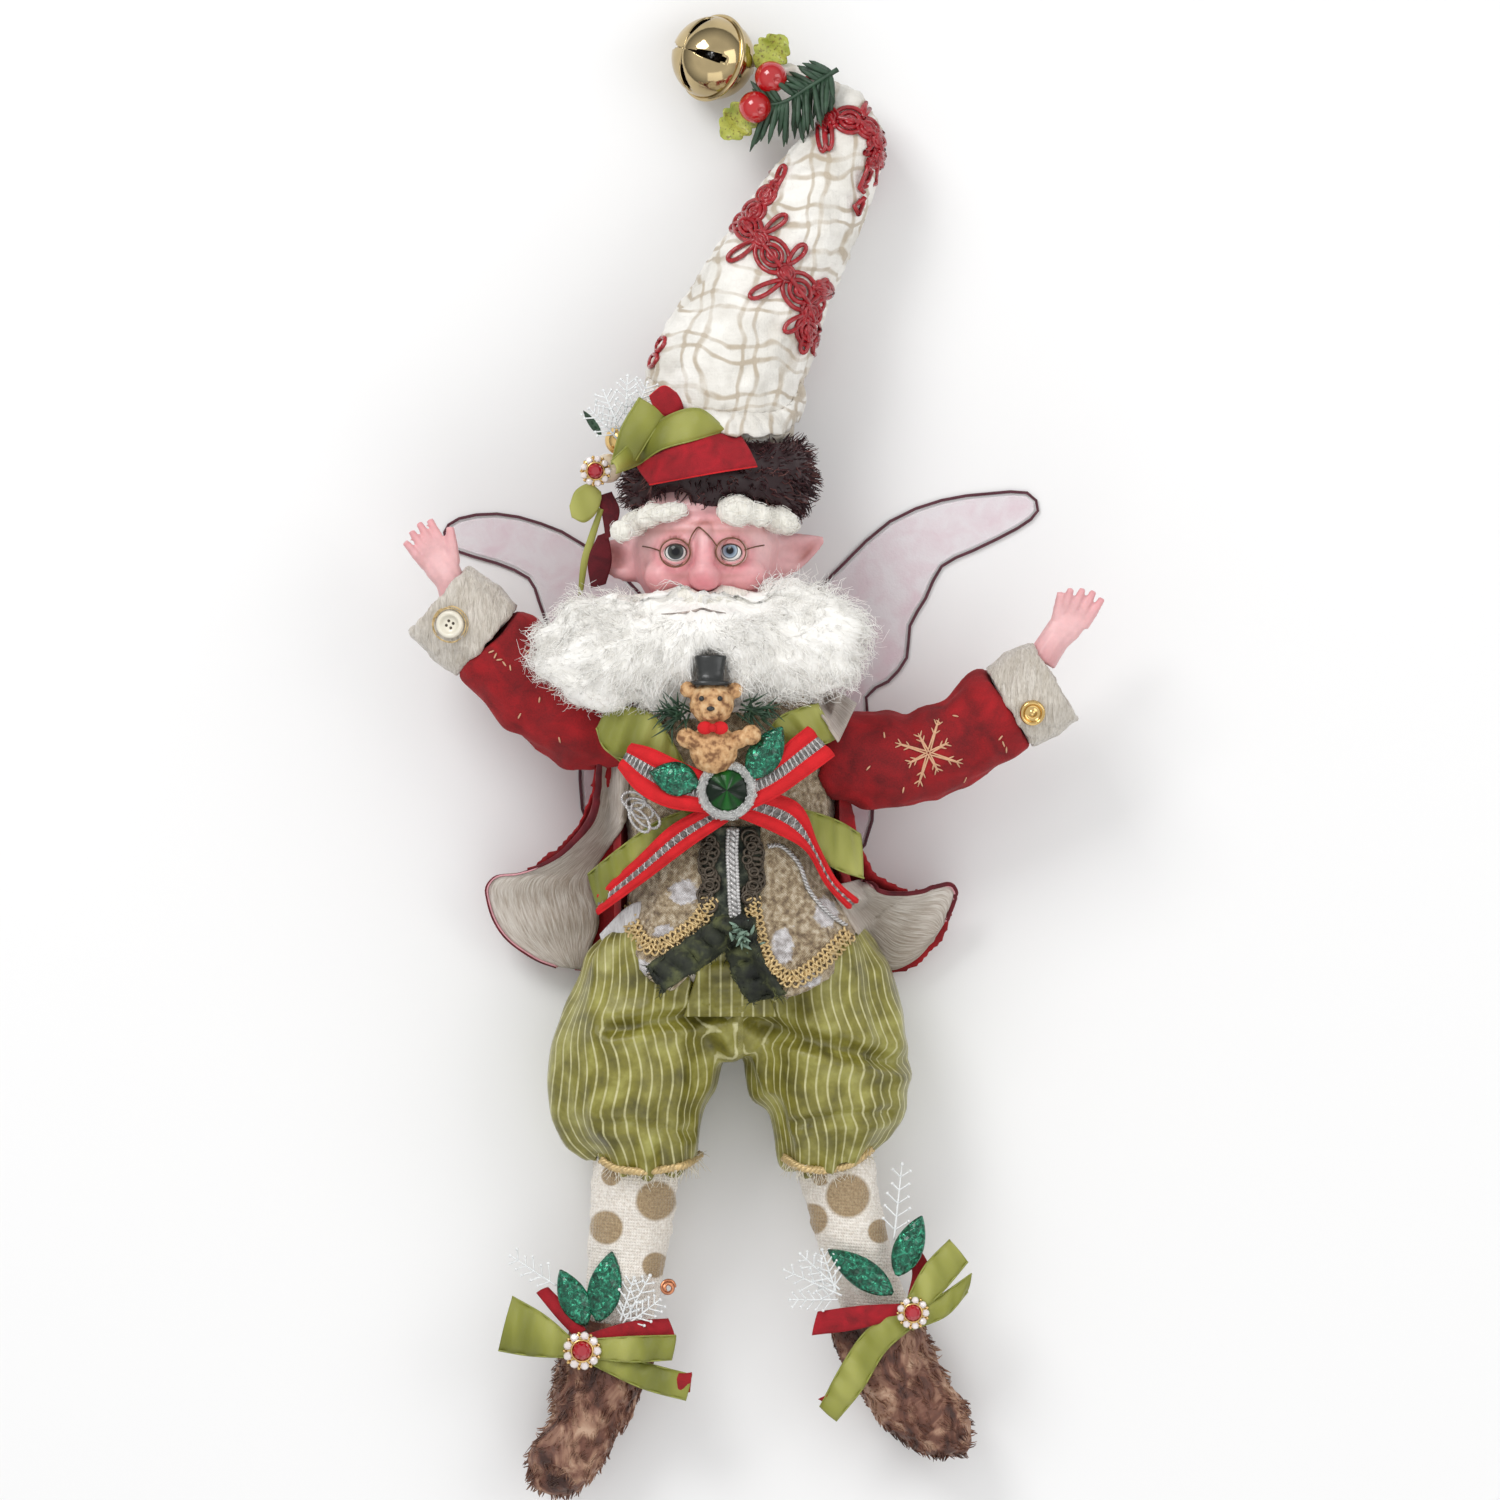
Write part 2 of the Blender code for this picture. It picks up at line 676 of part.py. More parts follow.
def moustache():
    """A crescent of white fleece under the nose."""
    middle = on_face(0, -NOSE_DROP - NOSE_RADIUS * 1.1)
    stations = []
    for share, drop, size in ((-1, 0.2, 0.35), (-0.5, 0.6, 1), (0, 0, 1.05), (0.5, 0.6, 1), (1, 0.2, 0.35)):
        spot = middle + Vector((share * MOUSTACHE_HALF_WIDTH, -drop * MOUSTACHE_RADIUS, 0.001))
        spot.z -= 0.009 * share * share
        stations.append((*spot, MOUSTACHE_RADIUS * size, MOUSTACHE_RADIUS * size))
    whole = loft("moustache", stations, "white_fleece", per_span=3, sides=12)
    return settled(whole, "head")


def beard(*neighbours):
    """A wide fleece beard over the chest and shoulders."""
    middle = head_centre() + Vector((-0.0015, -HEAD_HALF_HEIGHT - 0.0047, 0.0175))
    lobes = [
        ball("lobe", middle, (BEARD_HALF_WIDTH * 0.62, BEARD_HALF_HEIGHT, BEARD_HALF_DEPTH),
             "white_fleece", 14, 9),
    ]
    for side, up in ((RIGHT, 0.0), (LEFT, 0.003)):
        spot = middle + Vector((side * BEARD_HALF_WIDTH * 0.53, up, -0.0015))
        radii = (BEARD_HALF_WIDTH * 0.47, BEARD_HALF_HEIGHT * 0.9, BEARD_HALF_DEPTH * 0.75)
        lobes.append(ball("lobe", spot, radii, "white_fleece", 10, 7))
    return settled(fused("beard", lobes), *neighbours)


# Hat

def band_centre():
    return head_centre() + Vector((0.0033, BAND_ABOVE_HEAD_CENTRE, 0)) + UP * (BAND_HALF_DEPTH - 0.0004 - HEAD_Z)


def fur_band():
    """A thick fur ring round the head, pressed flat where the head lies on the table."""
    tube = BAND_FUR_THICKNESS / 2
    bm = bmesh.new()
    turns, around = 22, 9
    loops = []
    for i in range(turns):
        a = 2 * math.pi * i / turns
        loop = []
        for k in range(around):
            b = 2 * math.pi * k / around
            reach = math.cos(b) * tube - tube
            x = (BAND_HALF_WIDTH + reach) * math.cos(a)
            z = (BAND_HALF_DEPTH + reach) * math.sin(a)
            loop.append(bm.verts.new(band_centre() + Vector((x, BAND_HALF_HEIGHT * math.sin(b), z))))
        loops.append(loop)
    for i in range(turns):
        for k in range(around):
            bm.faces.new((loops[i][k], loops[i][k - 1], loops[i - 1][k - 1], loops[i - 1][k]))
    ring = flattened(piece("hat_fur_band", mesh_of(bm, "hat_fur_band"), "burgundy_fur"))
    return settled(ring, "head", "hair_right", "hair_left")


def hat_line():
    """Stations up the stuffed hat: it leans left, bends over at the top and sinks to the table."""
    base = band_centre() + Vector((0, BAND_HALF_HEIGHT * 0.3, 0.0015))
    drop = (base.z - BELL_RADIUS) / 0.105
    # Offset across, height above the base and share of the base radius
    shape = (
        (-0.0010, 0.0000, 0.90),
        (0.0013, 0.0214, 0.99),
        (0.0075, 0.0344, 0.90),
        (0.0136, 0.0474, 0.80),
        (0.0202, 0.0594, 0.73),
        (0.0265, 0.0704, 0.63),
        (0.0320, 0.0806, 0.505),
        (0.0320, 0.0869, 0.38),
        (0.0310, 0.0899, 0.305),
        (0.0280, 0.0929, 0.218),
        (0.0242, 0.0956, 0.152),
        (0.0205, 0.0976, 0.120),
        (0.0167, 0.0992, 0.110),
    )
    rows = []
    for across, up, share in shape:
        radius = HAT_BASE_RADIUS * share
        rows.append((base.x + across, base.y + up, max(base.z - drop * up, radius), radius, radius))
    last = rows[-1]
    rows.append((last[0] - 0.0073, last[1] + 0.0030, BELL_RADIUS, HAT_TIP_RADIUS, HAT_TIP_RADIUS))
    return rows


def hat_cone():
    return settled(loft("hat_cone", hat_line(), "plaid_cotton", per_span=2, sides=12), "hat_fur_band", "head")


def braid():
    """A flat braid wound round the hat in a rising spiral."""
    rows = through(hat_line(), 4)
    start, end, winds = 8, 31, 2.6
    points = []
    for i in range(start, end + 1):
        share = (i - start) / (end - start)
        ahead = Vector((rows[i + 1] - rows[i - 1])[:3])
        across = ahead.cross(UP).normalized()
        out = across.cross(ahead).normalized()
        a = math.radians(200) - share * winds * 2 * math.pi
        reach = rows[i][3] + SEAT_GAP + BRAID_THICKNESS
        points.append(Vector(rows[i][:3]) + (across * math.cos(a) + out * math.sin(a)) * reach)
    rows = through([tuple(p) for p in points], 1)
    bm = bmesh.new()
    loops = []
    for i, row in enumerate(rows):
        ahead = Vector(rows[min(i + 1, len(rows) - 1)] - rows[max(i - 1, 0)]).normalized()
        axis_row = through(hat_line(), 4)[start + i]
        out = (Vector(row) - Vector(axis_row[:3])).normalized()
        across = ahead.cross(out).normalized()
        half = across * BRAID_WIDTH * 0.5 * (1 - 0.45 * i / len(rows))
        thick = out * BRAID_THICKNESS / 2
        spot = Vector(row)
        loops.append([bm.verts.new(spot + a * half + b * thick) for a, b in ((-1, -1), (1, -1), (1, 1), (-1, 1))])
    for low, high in zip(loops, loops[1:]):
        for k in range(4):
            bm.faces.new((low[k], low[k - 1], high[k - 1], high[k]))
    bm.faces.new(loops[0])
    bm.faces.new(loops[-1])
    made = piece("hat_braid", mesh_of(bm, "hat_braid"), "red_braid")
    return settled(made, "hat_cone", "hat_fur_band")


def hat_tip():
    return Vector(hat_line()[-1][:3])


def bell():
    """A round sheet bell with a cross of slots, and the steel pellet that rattles in it."""
    neck = Vector((-1, 0.14, 0)).normalized()
    centre = hat_tip() + neck * (BELL_RADIUS + SEAT_GAP)
    centre.z = BELL_RADIUS * BELL_SEAM
    shell = ball("jingle_bell", centre, (BELL_RADIUS,) * 3, "bell_metal", 16, 10)
    hollow = ball("hollow", centre, (BELL_RADIUS - BELL_WALL,) * 3, "bell_metal", 12, 8)
    seam_radius = BELL_RADIUS * BELL_SEAM
    seam = cylinder("seam", centre - neck * 0.0006, neck, 0.0012, seam_radius, seam_radius,
                    "bell_metal", 24)
    shell = boolean(shell, seam, "UNION")
    bpy.data.objects.remove(seam)
    shell = boolean(shell, hollow, "DIFFERENCE")
    bpy.data.objects.remove(hollow)
    for quarter in (0, 1):
        bm = bmesh.new()
        turn = turned_to(neck) @ Matrix.Rotation(math.radians(45 + 90 * quarter), 4, "Z")
        box = Matrix.Translation(centre) @ turn @ Matrix.Translation((0, 0, BELL_RADIUS))
        size = Matrix.Diagonal((BELL_SLOT, BELL_RADIUS * 1.5, BELL_RADIUS * 1.1, 1))
        bmesh.ops.create_cube(bm, size=1, matrix=box @ size)
        cutter = piece("slot", mesh_of(bm, "slot"), "bell_metal")
        shell = boolean(shell, cutter, "DIFFERENCE")
        bpy.data.objects.remove(cutter)
    smooth(shell)
    pellet = centre - UP * (BELL_RADIUS - BELL_WALL - PELLET_RADIUS - SEAT_GAP * 1.6)
    smooth(ball("bell_pellet", pellet, (PELLET_RADIUS,) * 3, "steel", 10, 7))
    bm = bmesh.new()
    bmesh.ops.create_uvsphere(
        bm, u_segments=16, v_segments=10, radius=BELL_RADIUS * BELL_SEAM + SEAT_GAP,
        matrix=Matrix.Translation(centre)
    )
    guard = bpy.data.objects.new("bell_envelope", mesh_of(bm, "bell_envelope"))
    helpers.objects.link(guard)
    guard.hide_render = True
    envelopes["jingle_bell"] = [[guard]]


def holly_outline(length):
    """A holly leaf's edge: a pointed oval with three spines a side."""
    points = []
    steps = 24
    for k in range(steps):
        a = 2 * math.pi * k / steps
        spine = 1.0 if k % 4 == 0 else (0.72 if k % 2 == 0 else 0.80)
        points.append((length / 2 * math.cos(a) * spine, length * 0.30 * math.sin(a) * spine))
    return points


def tip_greenery():
    """Two holly leaves, two berries and a pine sprig tied to the hat's tip."""
    tip = hat_tip()
    tie = tip + Vector((0.006, -0.0005, 0))
    level = tie.z + HAT_BASE_RADIUS * 0.12 + SEAT_GAP * 2 + HOLLY_THICKNESS / 2
    outline = holly_outline(HOLLY_LENGTH)
    for word, shift, angle in (("upper", (-0.0012, 0.0025), 62), ("lower", (-0.0100, -0.0140), 38)):
        spot = Vector((tie.x + shift[0], tie.y + shift[1], level))
        turn = Matrix.Rotation(math.radians(angle), 4, "Z")
        leaf = plate("tip_holly_" + word, outline, HOLLY_THICKNESS, "holly_green", spot, turn)
        settled(leaf, "hat_cone", "jingle_bell")
    top = level + HOLLY_THICKNESS / 2 + SEAT_GAP
    for word, shift in (("upper", (-0.0022, -0.0042)), ("lower", (-0.0062, -0.0117))):
        spot = Vector((tie.x + shift[0], tie.y + shift[1], top + BERRY_RADIUS))
        berry = ball("tip_berry_" + word, spot, (BERRY_RADIUS,) * 3, "berry_red", 12, 8)
        settled(berry, "jingle_bell", *(["tip_berry_upper"] if word == "lower" else []))
    root = tie + Vector((0.0015, -0.0030, 0))
    root.z = level + 0.0045
    pieces = []
    for k in range(7):
        a = math.radians(-128 + 11 * k)
        start = root + Vector((0.0016 * k, 0.0002 * k, 0))
        axis = Vector((math.cos(a), math.sin(a), 0.10 + 0.05 * (k % 3)))
        pieces.append(
            cylinder("needle", start, axis, NEEDLE_LENGTH, NEEDLE_RADIUS, NEEDLE_RADIUS * 0.3, "pine_green", 6)
        )
    stem = wire("stem", [root - Vector((0.002, 0, 0)), root + Vector((0.012, 0.002, 0))], 0.0008, "pine_green")
    sprig = fused("tip_pine_sprig", [baked(stem), *pieces])
    return settled(sprig, "hat_cone", "hat_braid", "tip_berry_upper", "tip_berry_lower", "tip_holly_upper",
                   "tip_holly_lower")


def scallops(radius, lobes):
    """The outline of a round setting edged with small stones."""
    steps = lobes * 3
    turns = [2 * math.pi * k / steps for k in range(steps)]
    return [
        (radius * (0.92 + 0.08 * math.cos(lobes * a)) * math.cos(a),
         radius * (0.92 + 0.08 * math.cos(lobes * a)) * math.sin(a))
        for a in turns
    ]


def jewel(name, spot, normal, *neighbours):
    """A red stone in a ring of small clear ones."""
    turn = turned_to(normal)
    base = plate(
        "setting", scallops(JEWEL_RADIUS, 8), JEWEL_HEIGHT, "red_crystal", spot + normal * JEWEL_HEIGHT / 2, turn
    )
    top = spot + normal * (JEWEL_HEIGHT - SEAT_GAP)
    stone = cylinder("stone", top, normal, JEWEL_HEIGHT * 0.8, JEWEL_RADIUS * 0.6, JEWEL_RADIUS * 0.3,
                     "red_crystal", 10)
    return settled(fused(name, [base, stone]), *neighbours)


def hat_side_trim():
    """Ribbons, two baubles and a jewel on the right of the hat, and the streamers that hang from them."""
    centre = band_centre()
    under = ("hat_fur_band", "hat_cone", "head", "hair_right")
    knot = centre + Vector((-BAND_HALF_WIDTH * 0.93, -0.001, 0))
    # The red strip lies along the front of the band
    route = []
    for x, y in ((-0.0215, -0.0035), (-0.0135, 0.0000), (-0.0050, 0.0025), (0.0040, 0.0030)):
        spot, _ = rest_point(centre.x + x, centre.y + y, "hat_fur_band")
        route.append(tuple(spot + UP * 0.0013))
    red = strip("hat_ribbon_red", route, NARROW_RIBBON * 1.3, "red_velvet")
    settled(red, *under)
    route = []
    for x, y in ((-0.0225, 0.0030), (-0.0165, 0.0100), (-0.0085, 0.0135), (-0.0015, 0.0125)):
        spot, _ = rest_point(centre.x + x, centre.y + y, "hat_fur_band", "hat_cone", "hat_ribbon_red")
        route.append(tuple(spot + UP * 0.0020))
    olive = strip("hat_ribbon_olive", route, NARROW_RIBBON * 1.2, "olive_satin")
    settled(olive, "hat_ribbon_red", "hat_braid", *under)
    ground = (*under, "hat_ribbon_red", "hat_ribbon_olive")
    lean = Vector((-0.80, 0, 0.60))
    side_spots = (("hat_bauble_upper", (-0.0270, 0.0095)), ("hat_bauble_lower", (-0.0295, 0.0025)))
    for name, (x, y) in side_spots:
        spot = Vector((centre.x + x + 0.0012, centre.y + y, centre.z + 0.0105))
        stem_end = Vector((centre.x - BAND_HALF_WIDTH * 0.6, spot.y, centre.z + 0.006))
        stem = baked(wire("stem", [spot, stem_end], 0.0010, "gold_bauble"))
        bauble = ball(name, spot, (BAUBLE_RADIUS,) * 3, "gold_bauble", 12, 8)
        done = [n for n in ("hat_bauble_upper",) if n in surfaces]
        settled(fused(name, [bauble, stem]), *ground, *done)
    spot = Vector((centre.x - 0.0262, centre.y - 0.0035, centre.z + 0.0110))
    jewel("hat_jewel", spot, lean, *ground, "hat_bauble_upper", "hat_bauble_lower")
    start = knot + Vector((0.0015, -0.0080, 0.0080))
    route = [start, start + Vector((-0.0035, -0.008, 0.001)), start + Vector((-0.0030, -0.018, 0.0)),
             start + Vector((-0.0005, -0.025, -0.001))]
    streamer = strip("hat_streamer", [tuple(p) for p in route], NARROW_RIBBON * 0.75, "red_velvet")
    settled(streamer, "hat_jewel", "hat_bauble_lower", *ground)


# Legs, boots and breeches

# Middle line of each leg: x, y, z and share of the leg's radius
LEG_LINES = {
    "right": ((-0.014, -0.057, 0.024, 0.95), (-0.026, -0.085, 0.021, 1.00), (-0.0288, -0.106, 0.018, 1.05),
              (-0.0320, -0.1350, 0.0140, 0.90)),
    "left": ((0.0085, -0.057, 0.024, 0.9), (0.018, -0.085, 0.021, 0.9), (0.0215, -0.106, 0.018, 0.92),
             (0.0275, -0.1300, 0.0140, 0.82)),
}
# Offsets of the boot's middle line from the ankle, with its share of half width
BOOT_LINES = {
    "right": ((0.0010, 0.0080, 0.0, 0.92), (0.0000, 0.0000, 0.0, 0.98), (-0.0042, -0.0105, 0.0, 0.97),
              (-0.0068, -0.0195, 0.001, 0.79), (-0.0104, -0.0255, 0.002, 0.77), (-0.0146, -0.0312, 0.003, 0.71),
              (-0.0155, -0.0330, 0.0045, 0.38)),
    "left": ((-0.0045, 0.0085, 0.0, 1.00), (-0.0018, 0.0000, 0.0, 1.03), (0.0028, -0.0095, 0.0, 0.92),
             (0.0085, -0.017, 0.001, 0.8), (0.0143, -0.0213, 0.0025, 0.7), (0.019, -0.0232, 0.0045, 0.38)),
}
ANKLES = {"right": (-0.0352, -0.1510), "left": (0.0350, -0.1495)}
# Middle line of each breeches leg below the waist: x, y and share of the half width
BREECHES_LINES = {
    "right": ((-0.0235, -0.06, 0.98), (-0.0286, -0.078, 1.05), (-0.029, -0.089, 1.00), (-0.0265, -0.0985, 0.75)),
    "left": ((0.0165, -0.06, 0.97), (0.0186, -0.078, 1.02), (0.0206, -0.089, 0.9), (0.0184, -0.0985, 0.64)),
}
BREECHES_HEMS = {"right": (-0.0262, -0.1035, 0.0130), "left": (0.0190, -0.1030, 0.0112)}


def leg(word):
    """A stuffed leg in a knitted stocking, from the hip into the boot."""
    stations = [(x, y, z, LEG_RADIUS * share, LEG_RADIUS * share) for x, y, z, share in LEG_LINES[word]]
    x, y = ANKLES[word]
    stations.append((x, y, BOOT_HALF_DEPTH, ANKLE_RADIUS * 0.95, ANKLE_RADIUS * 0.95))
    return settled(loft("leg_" + word, stations, "stocking_knit", per_span=2, sides=12), "torso")


def boot(word):
    """A plush boot whose heel lies flat on the table and whose toe turns out."""
    x, y = ANKLES[word]
    stations = []
    for across, along, up, share in BOOT_LINES[word]:
        wide = BOOT_HALF_WIDTH * share
        deep = BOOT_HALF_DEPTH * share * 1.02
        stations.append((x + across, y + along, max(BOOT_HALF_DEPTH - 0.0004 + up, deep - 0.0004), wide, deep))
    shape = flattened(loft("boot_" + word, stations, "brown_plush", per_span=2, sides=14))
    return settled(shape, "leg_" + word)


def breeches():
    """Full satin breeches, gathered at the waist and below each knee."""
    waist = [(HIP_X, -0.0420, BODY_Z - 0.001, WAIST_HALF_WIDTH + BREECHES_WAIST_CLOTH,
              WAIST_HALF_DEPTH + BREECHES_WAIST_CLOTH * 0.5)]
    halves = []
    level = BREECHES_HALF_DEPTH + 0.0006
    for word, side in (("right", RIGHT), ("left", LEFT)):
        stations = [(HIP_X + side * 0.009, -0.0445, BODY_Z - 0.001, WAIST_HALF_WIDTH * 0.72,
                     WAIST_HALF_DEPTH + BREECHES_WAIST_CLOTH * 0.4)]
        for x, y, share in BREECHES_LINES[word]:
            stations.append((x, y, level, BREECHES_HALF_WIDTH * share, BREECHES_HALF_DEPTH * min(share, 1)))
        x, y, size = BREECHES_HEMS[word]
        stations.append((x, y, LEG_LINES[word][2][2] + 0.0010, size, size))
        halves.append(loft("half", stations, "olive_satin", per_span=2, sides=12))
    top = waist + [(HIP_X, -0.0550, BODY_Z - 0.002, HIP_HALF_WIDTH + 0.006, HIP_HALF_DEPTH + 0.0025),
                   (HIP_X, -0.0700, BODY_Z - 0.003, HIP_HALF_WIDTH * 0.8, HIP_HALF_DEPTH * 0.9),
                   (HIP_X + 0.001, -0.0765, BODY_Z - 0.003, HIP_HALF_WIDTH * 0.35, HIP_HALF_DEPTH * 0.6)]
    halves.append(loft("seat", top, "olive_satin", per_span=1, sides=14))
    return settled(fused("breeches", halves), "torso", "leg_right", "leg_left")


# Vest, coat, sleeves and hands

def vest():
    """A close brocade vest that flares into two pointed fronts over the breeches."""
    wide = VEST_CLOTH
    stations = [
        (NECK_X + 0.001, SHOULDER_Y + 0.001, BODY_Z, SHOULDER_HALF_WIDTH + wide, SHOULDER_HALF_DEPTH + wide),
        (CHEST_X, CHEST_Y, BODY_Z, CHEST_HALF_WIDTH + wide, CHEST_HALF_DEPTH + wide),
        ((HIP_X + CHEST_X) / 2, WAIST_Y, BODY_Z, WAIST_HALF_WIDTH + wide * 2.2, WAIST_HALF_DEPTH + wide * 2.2),
        (HIP_X, -0.048, BODY_Z, WAIST_HALF_WIDTH + BREECHES_WAIST_CLOTH + VEST_FLARE,
         WAIST_HALF_DEPTH + VEST_FLARE),
        (HIP_X, -0.056, BODY_Z + 0.001, HIP_HALF_WIDTH + VEST_FLARE * 1.35, HIP_HALF_DEPTH + VEST_FLARE * 1.1),
        (HIP_X, -0.064, BODY_Z + 0.002, HIP_HALF_WIDTH + VEST_FLARE * 1.6, HIP_HALF_DEPTH + VEST_FLARE * 1.3),
    ]
    body = loft("vest", stations, "vest_brocade", per_span=2, sides=16)
    # The hem: two points in front, with a notch between them and higher sides
    hem = [(-0.06, -0.044), (-0.036, -0.044), (-0.027, -0.056), (-0.02, -0.061), (-0.003, -0.043),
           (0.0085, -0.063), (0.02, -0.057), (0.03, -0.044), (0.06, -0.044), (0.06, -0.09), (-0.06, -0.09)]
    cutter = plate("hem_cutter", hem, 0.200, "vest_brocade")
    body = boolean(body, cutter, "DIFFERENCE")
    bpy.data.objects.remove(cutter)
    return settled(body, "torso", "breeches")


def front_braid():
    """A raised silver braid down the middle of the vest."""
    route = []
    for y in (-0.0150, -0.0230, -0.0310, -0.0390, -0.0420):
        spot, _ = rest_point(HIP_X - 0.0005, y, "vest")
        route.append(tuple(spot + UP * 0.0006))
    settled(strip("front_braid", route, 0.0105, "silver_braid", thickness=0.0011), "vest")


def coat_body():
    """The coat's back and sides, open at the front."""
    cloth = VEST_CLOTH + COAT_CLOTH
    # The back is full, and the table and the wings press it flat
    back = BODY_Z - COAT_BACK_FULLNESS
    stations = [
        (NECK_X, SHOULDER_Y + 0.0035, BODY_Z, SHOULDER_HALF_WIDTH + cloth * 0.7, SHOULDER_HALF_DEPTH + cloth),
        (CHEST_X, CHEST_Y, back, CHEST_HALF_WIDTH + cloth, CHEST_HALF_DEPTH + cloth),
        ((HIP_X + CHEST_X) / 2, WAIST_Y, back, WAIST_HALF_WIDTH + cloth * 2.0, WAIST_HALF_DEPTH + cloth * 1.7),
        (HIP_X, WAIST_Y - 0.010, BODY_Z, WAIST_HALF_WIDTH + cloth * 2.6, WAIST_HALF_DEPTH + cloth * 1.6),
    ]
    body = loft("coat", stations, "red_velvet", per_span=2, sides=16)
    opening = [(-0.028, 0.03), (0.015, 0.03), (0.0215, 0.012), (0.0225, -0.06), (-0.033, -0.06), (-0.031, 0.01)]
    height = 0.040
    cutter = plate("front_opening", opening, height, "red_velvet", Vector((0, 0, BODY_Z + height / 2)))
    body = boolean(body, cutter, "DIFFERENCE")
    bpy.data.objects.remove(cutter)
    return body


# Cage of each coat tail: rows down the tail, each from beside the body to the outer edge
TAIL_CAGES = {
    "right": (
        ((-0.025, 0.008, 0.02), (-0.031, 0.008, 0.023), (-0.035, 0.0075, 0.027), (-0.0375, 0.007, 0.031)),
        ((-0.027, -0.014, 0.015), (-0.0325, -0.014, 0.018), (-0.037, -0.0135, 0.0235), (-0.0395, -0.013, 0.03)),
        ((-0.026, -0.033, 0.008), (-0.037, -0.032, 0.009), (-0.044, -0.029, 0.013), (-0.047, -0.0262, 0.019)),
        ((-0.024, -0.048, 0.0045), (-0.039, -0.047, 0.005), (-0.0535, -0.04, 0.008), (-0.0638, -0.0325, 0.013)),
        ((-0.022, -0.0575, 0.0035), (-0.04, -0.058, 0.004), (-0.06, -0.0515, 0.006), (-0.069, -0.0345, 0.01)),
    ),
    "left": (
        ((0.014, 0.008, 0.02), (0.0185, 0.008, 0.023), (0.022, 0.007, 0.027), (0.0235, 0.007, 0.03)),
        ((0.016, -0.014, 0.015), (0.0205, -0.015, 0.018), (0.0235, -0.015, 0.023), (0.0245, -0.015, 0.028)),
        ((0.016, -0.034, 0.008), (0.0245, -0.0345, 0.01), (0.0272, -0.0345, 0.015), (0.029, -0.0345, 0.02)),
        ((0.015, -0.048, 0.0045), (0.031, -0.0465, 0.005), (0.0395, -0.041, 0.008), (0.0458, -0.036, 0.013)),
        ((0.014, -0.0575, 0.0035), (0.036, -0.06, 0.004), (0.05, -0.0495, 0.006), (0.0528, -0.0345, 0.01)),
    ),
}




def coat():
    """A red velvet coat: its body, and tails that sweep out to each side."""
    first_lined_rows = {"right": 1, "left": 2}
    tails = []
    for word in ("right", "left"):
        tails.append(sheet("tail", TAIL_CAGES[word], COAT_CLOTH * 0.6, "red_velvet", levels=1))
    whole = fused("coat", [coat_body(), *tails])
    whole = flattened(whole, 2 * WING_WIRE_RADIUS + SEAT_GAP * 0.5)
    whole = settled(whole, "vest", "torso", "breeches", "leg_right", "leg_left")
    for word in ("right", "left"):
        inset = [
            [Vector(p) + UP * (COAT_CLOTH * 0.3 + SEAT_GAP * 2 + LINING_CLOTH / 2) for p in row[1:]]
            for row in TAIL_CAGES[word][first_lined_rows[word]:]
        ]
        lining = sheet("coat_lining_" + word, inset, LINING_CLOTH, "coat_lining", levels=1)
        settled(lining, "coat", "vest", "torso", "breeches", "leg_right", "leg_left")
    return whole


# Middle line of each sleeve: x, y, z and share of the sleeve's radius
SLEEVE_LINES = {
    "right": ((-0.03, 0.006, 0.026, 1.04), (-0.041, 0.008, 0.026, 1.12), (-0.053, 0.0155, 0.0265, 1.12),
              (-0.0655, 0.0265, 0.0270, 0.96)),
    "left": ((0.018, 0.0000, 0.026, 1.00), (0.03, -0.0025, 0.026, 1.05), (0.043, -0.0025, 0.0262, 0.98),
             (0.0640, 0.0100, 0.0270, 0.99)),
}
CUFF_LENGTHS = {"right": 0.0165, "left": 0.0135}
HAND_Z = 0.0272
# Points of each hand seen from the front: wrist, heel, end of the palm, fingertips, thumb root and tip
HAND_POINTS = {
    "right": ((-0.0735, 0.0360), (-0.0752, 0.0420), (-0.0798, 0.0490), (-0.0838, 0.0552),
              (-0.0745, 0.0465), (-0.0752, 0.0555)),
    "left": ((0.0725, 0.0220), (0.0760, 0.0275), (0.0812, 0.0335), (0.0842, 0.0395),
             (0.0765, 0.0300), (0.0775, 0.0392)),
}


def cuff_frame(word):
    """Where the sleeve ends, and the way it points there."""
    line = SLEEVE_LINES[word]
    end, before = Vector(line[-1][:3]), Vector(line[-2][:3])
    return end, (end - before).normalized()


def sleeve(word):
    stations = [(x, y, z, SLEEVE_RADIUS * s, SLEEVE_RADIUS * s) for x, y, z, s in SLEEVE_LINES[word]]
    tube = loft("sleeve_" + word, stations, "red_velvet", per_span=2, sides=14)
    return settled(tube, "coat", "torso", "vest", "coat_lining_" + word)


def cuff(word):
    """A turned-back cuff: a wide ring of cloth round the wrist."""
    end, ahead = cuff_frame(word)
    start = end + ahead * SEAT_GAP * 2
    stop = start + ahead * CUFF_LENGTHS[word]
    stations = [
        (*start, CUFF_RADIUS * 0.98, CUFF_RADIUS * 0.98),
        (*((start + stop) / 2), CUFF_RADIUS, CUFF_RADIUS),
        (*stop, CUFF_RADIUS * 0.94, CUFF_RADIUS * 0.90),
    ]
    ring = loft("cuff_" + word, stations, "coat_lining", per_span=2, sides=16)
    bowl = ball("bowl", stop, (CUFF_RADIUS * 0.78,) * 3, "coat_lining", 14, 9)
    ring = boolean(ring, bowl, "DIFFERENCE")
    bpy.data.objects.remove(bowl)
    return settled(ring, "hand_" + word)


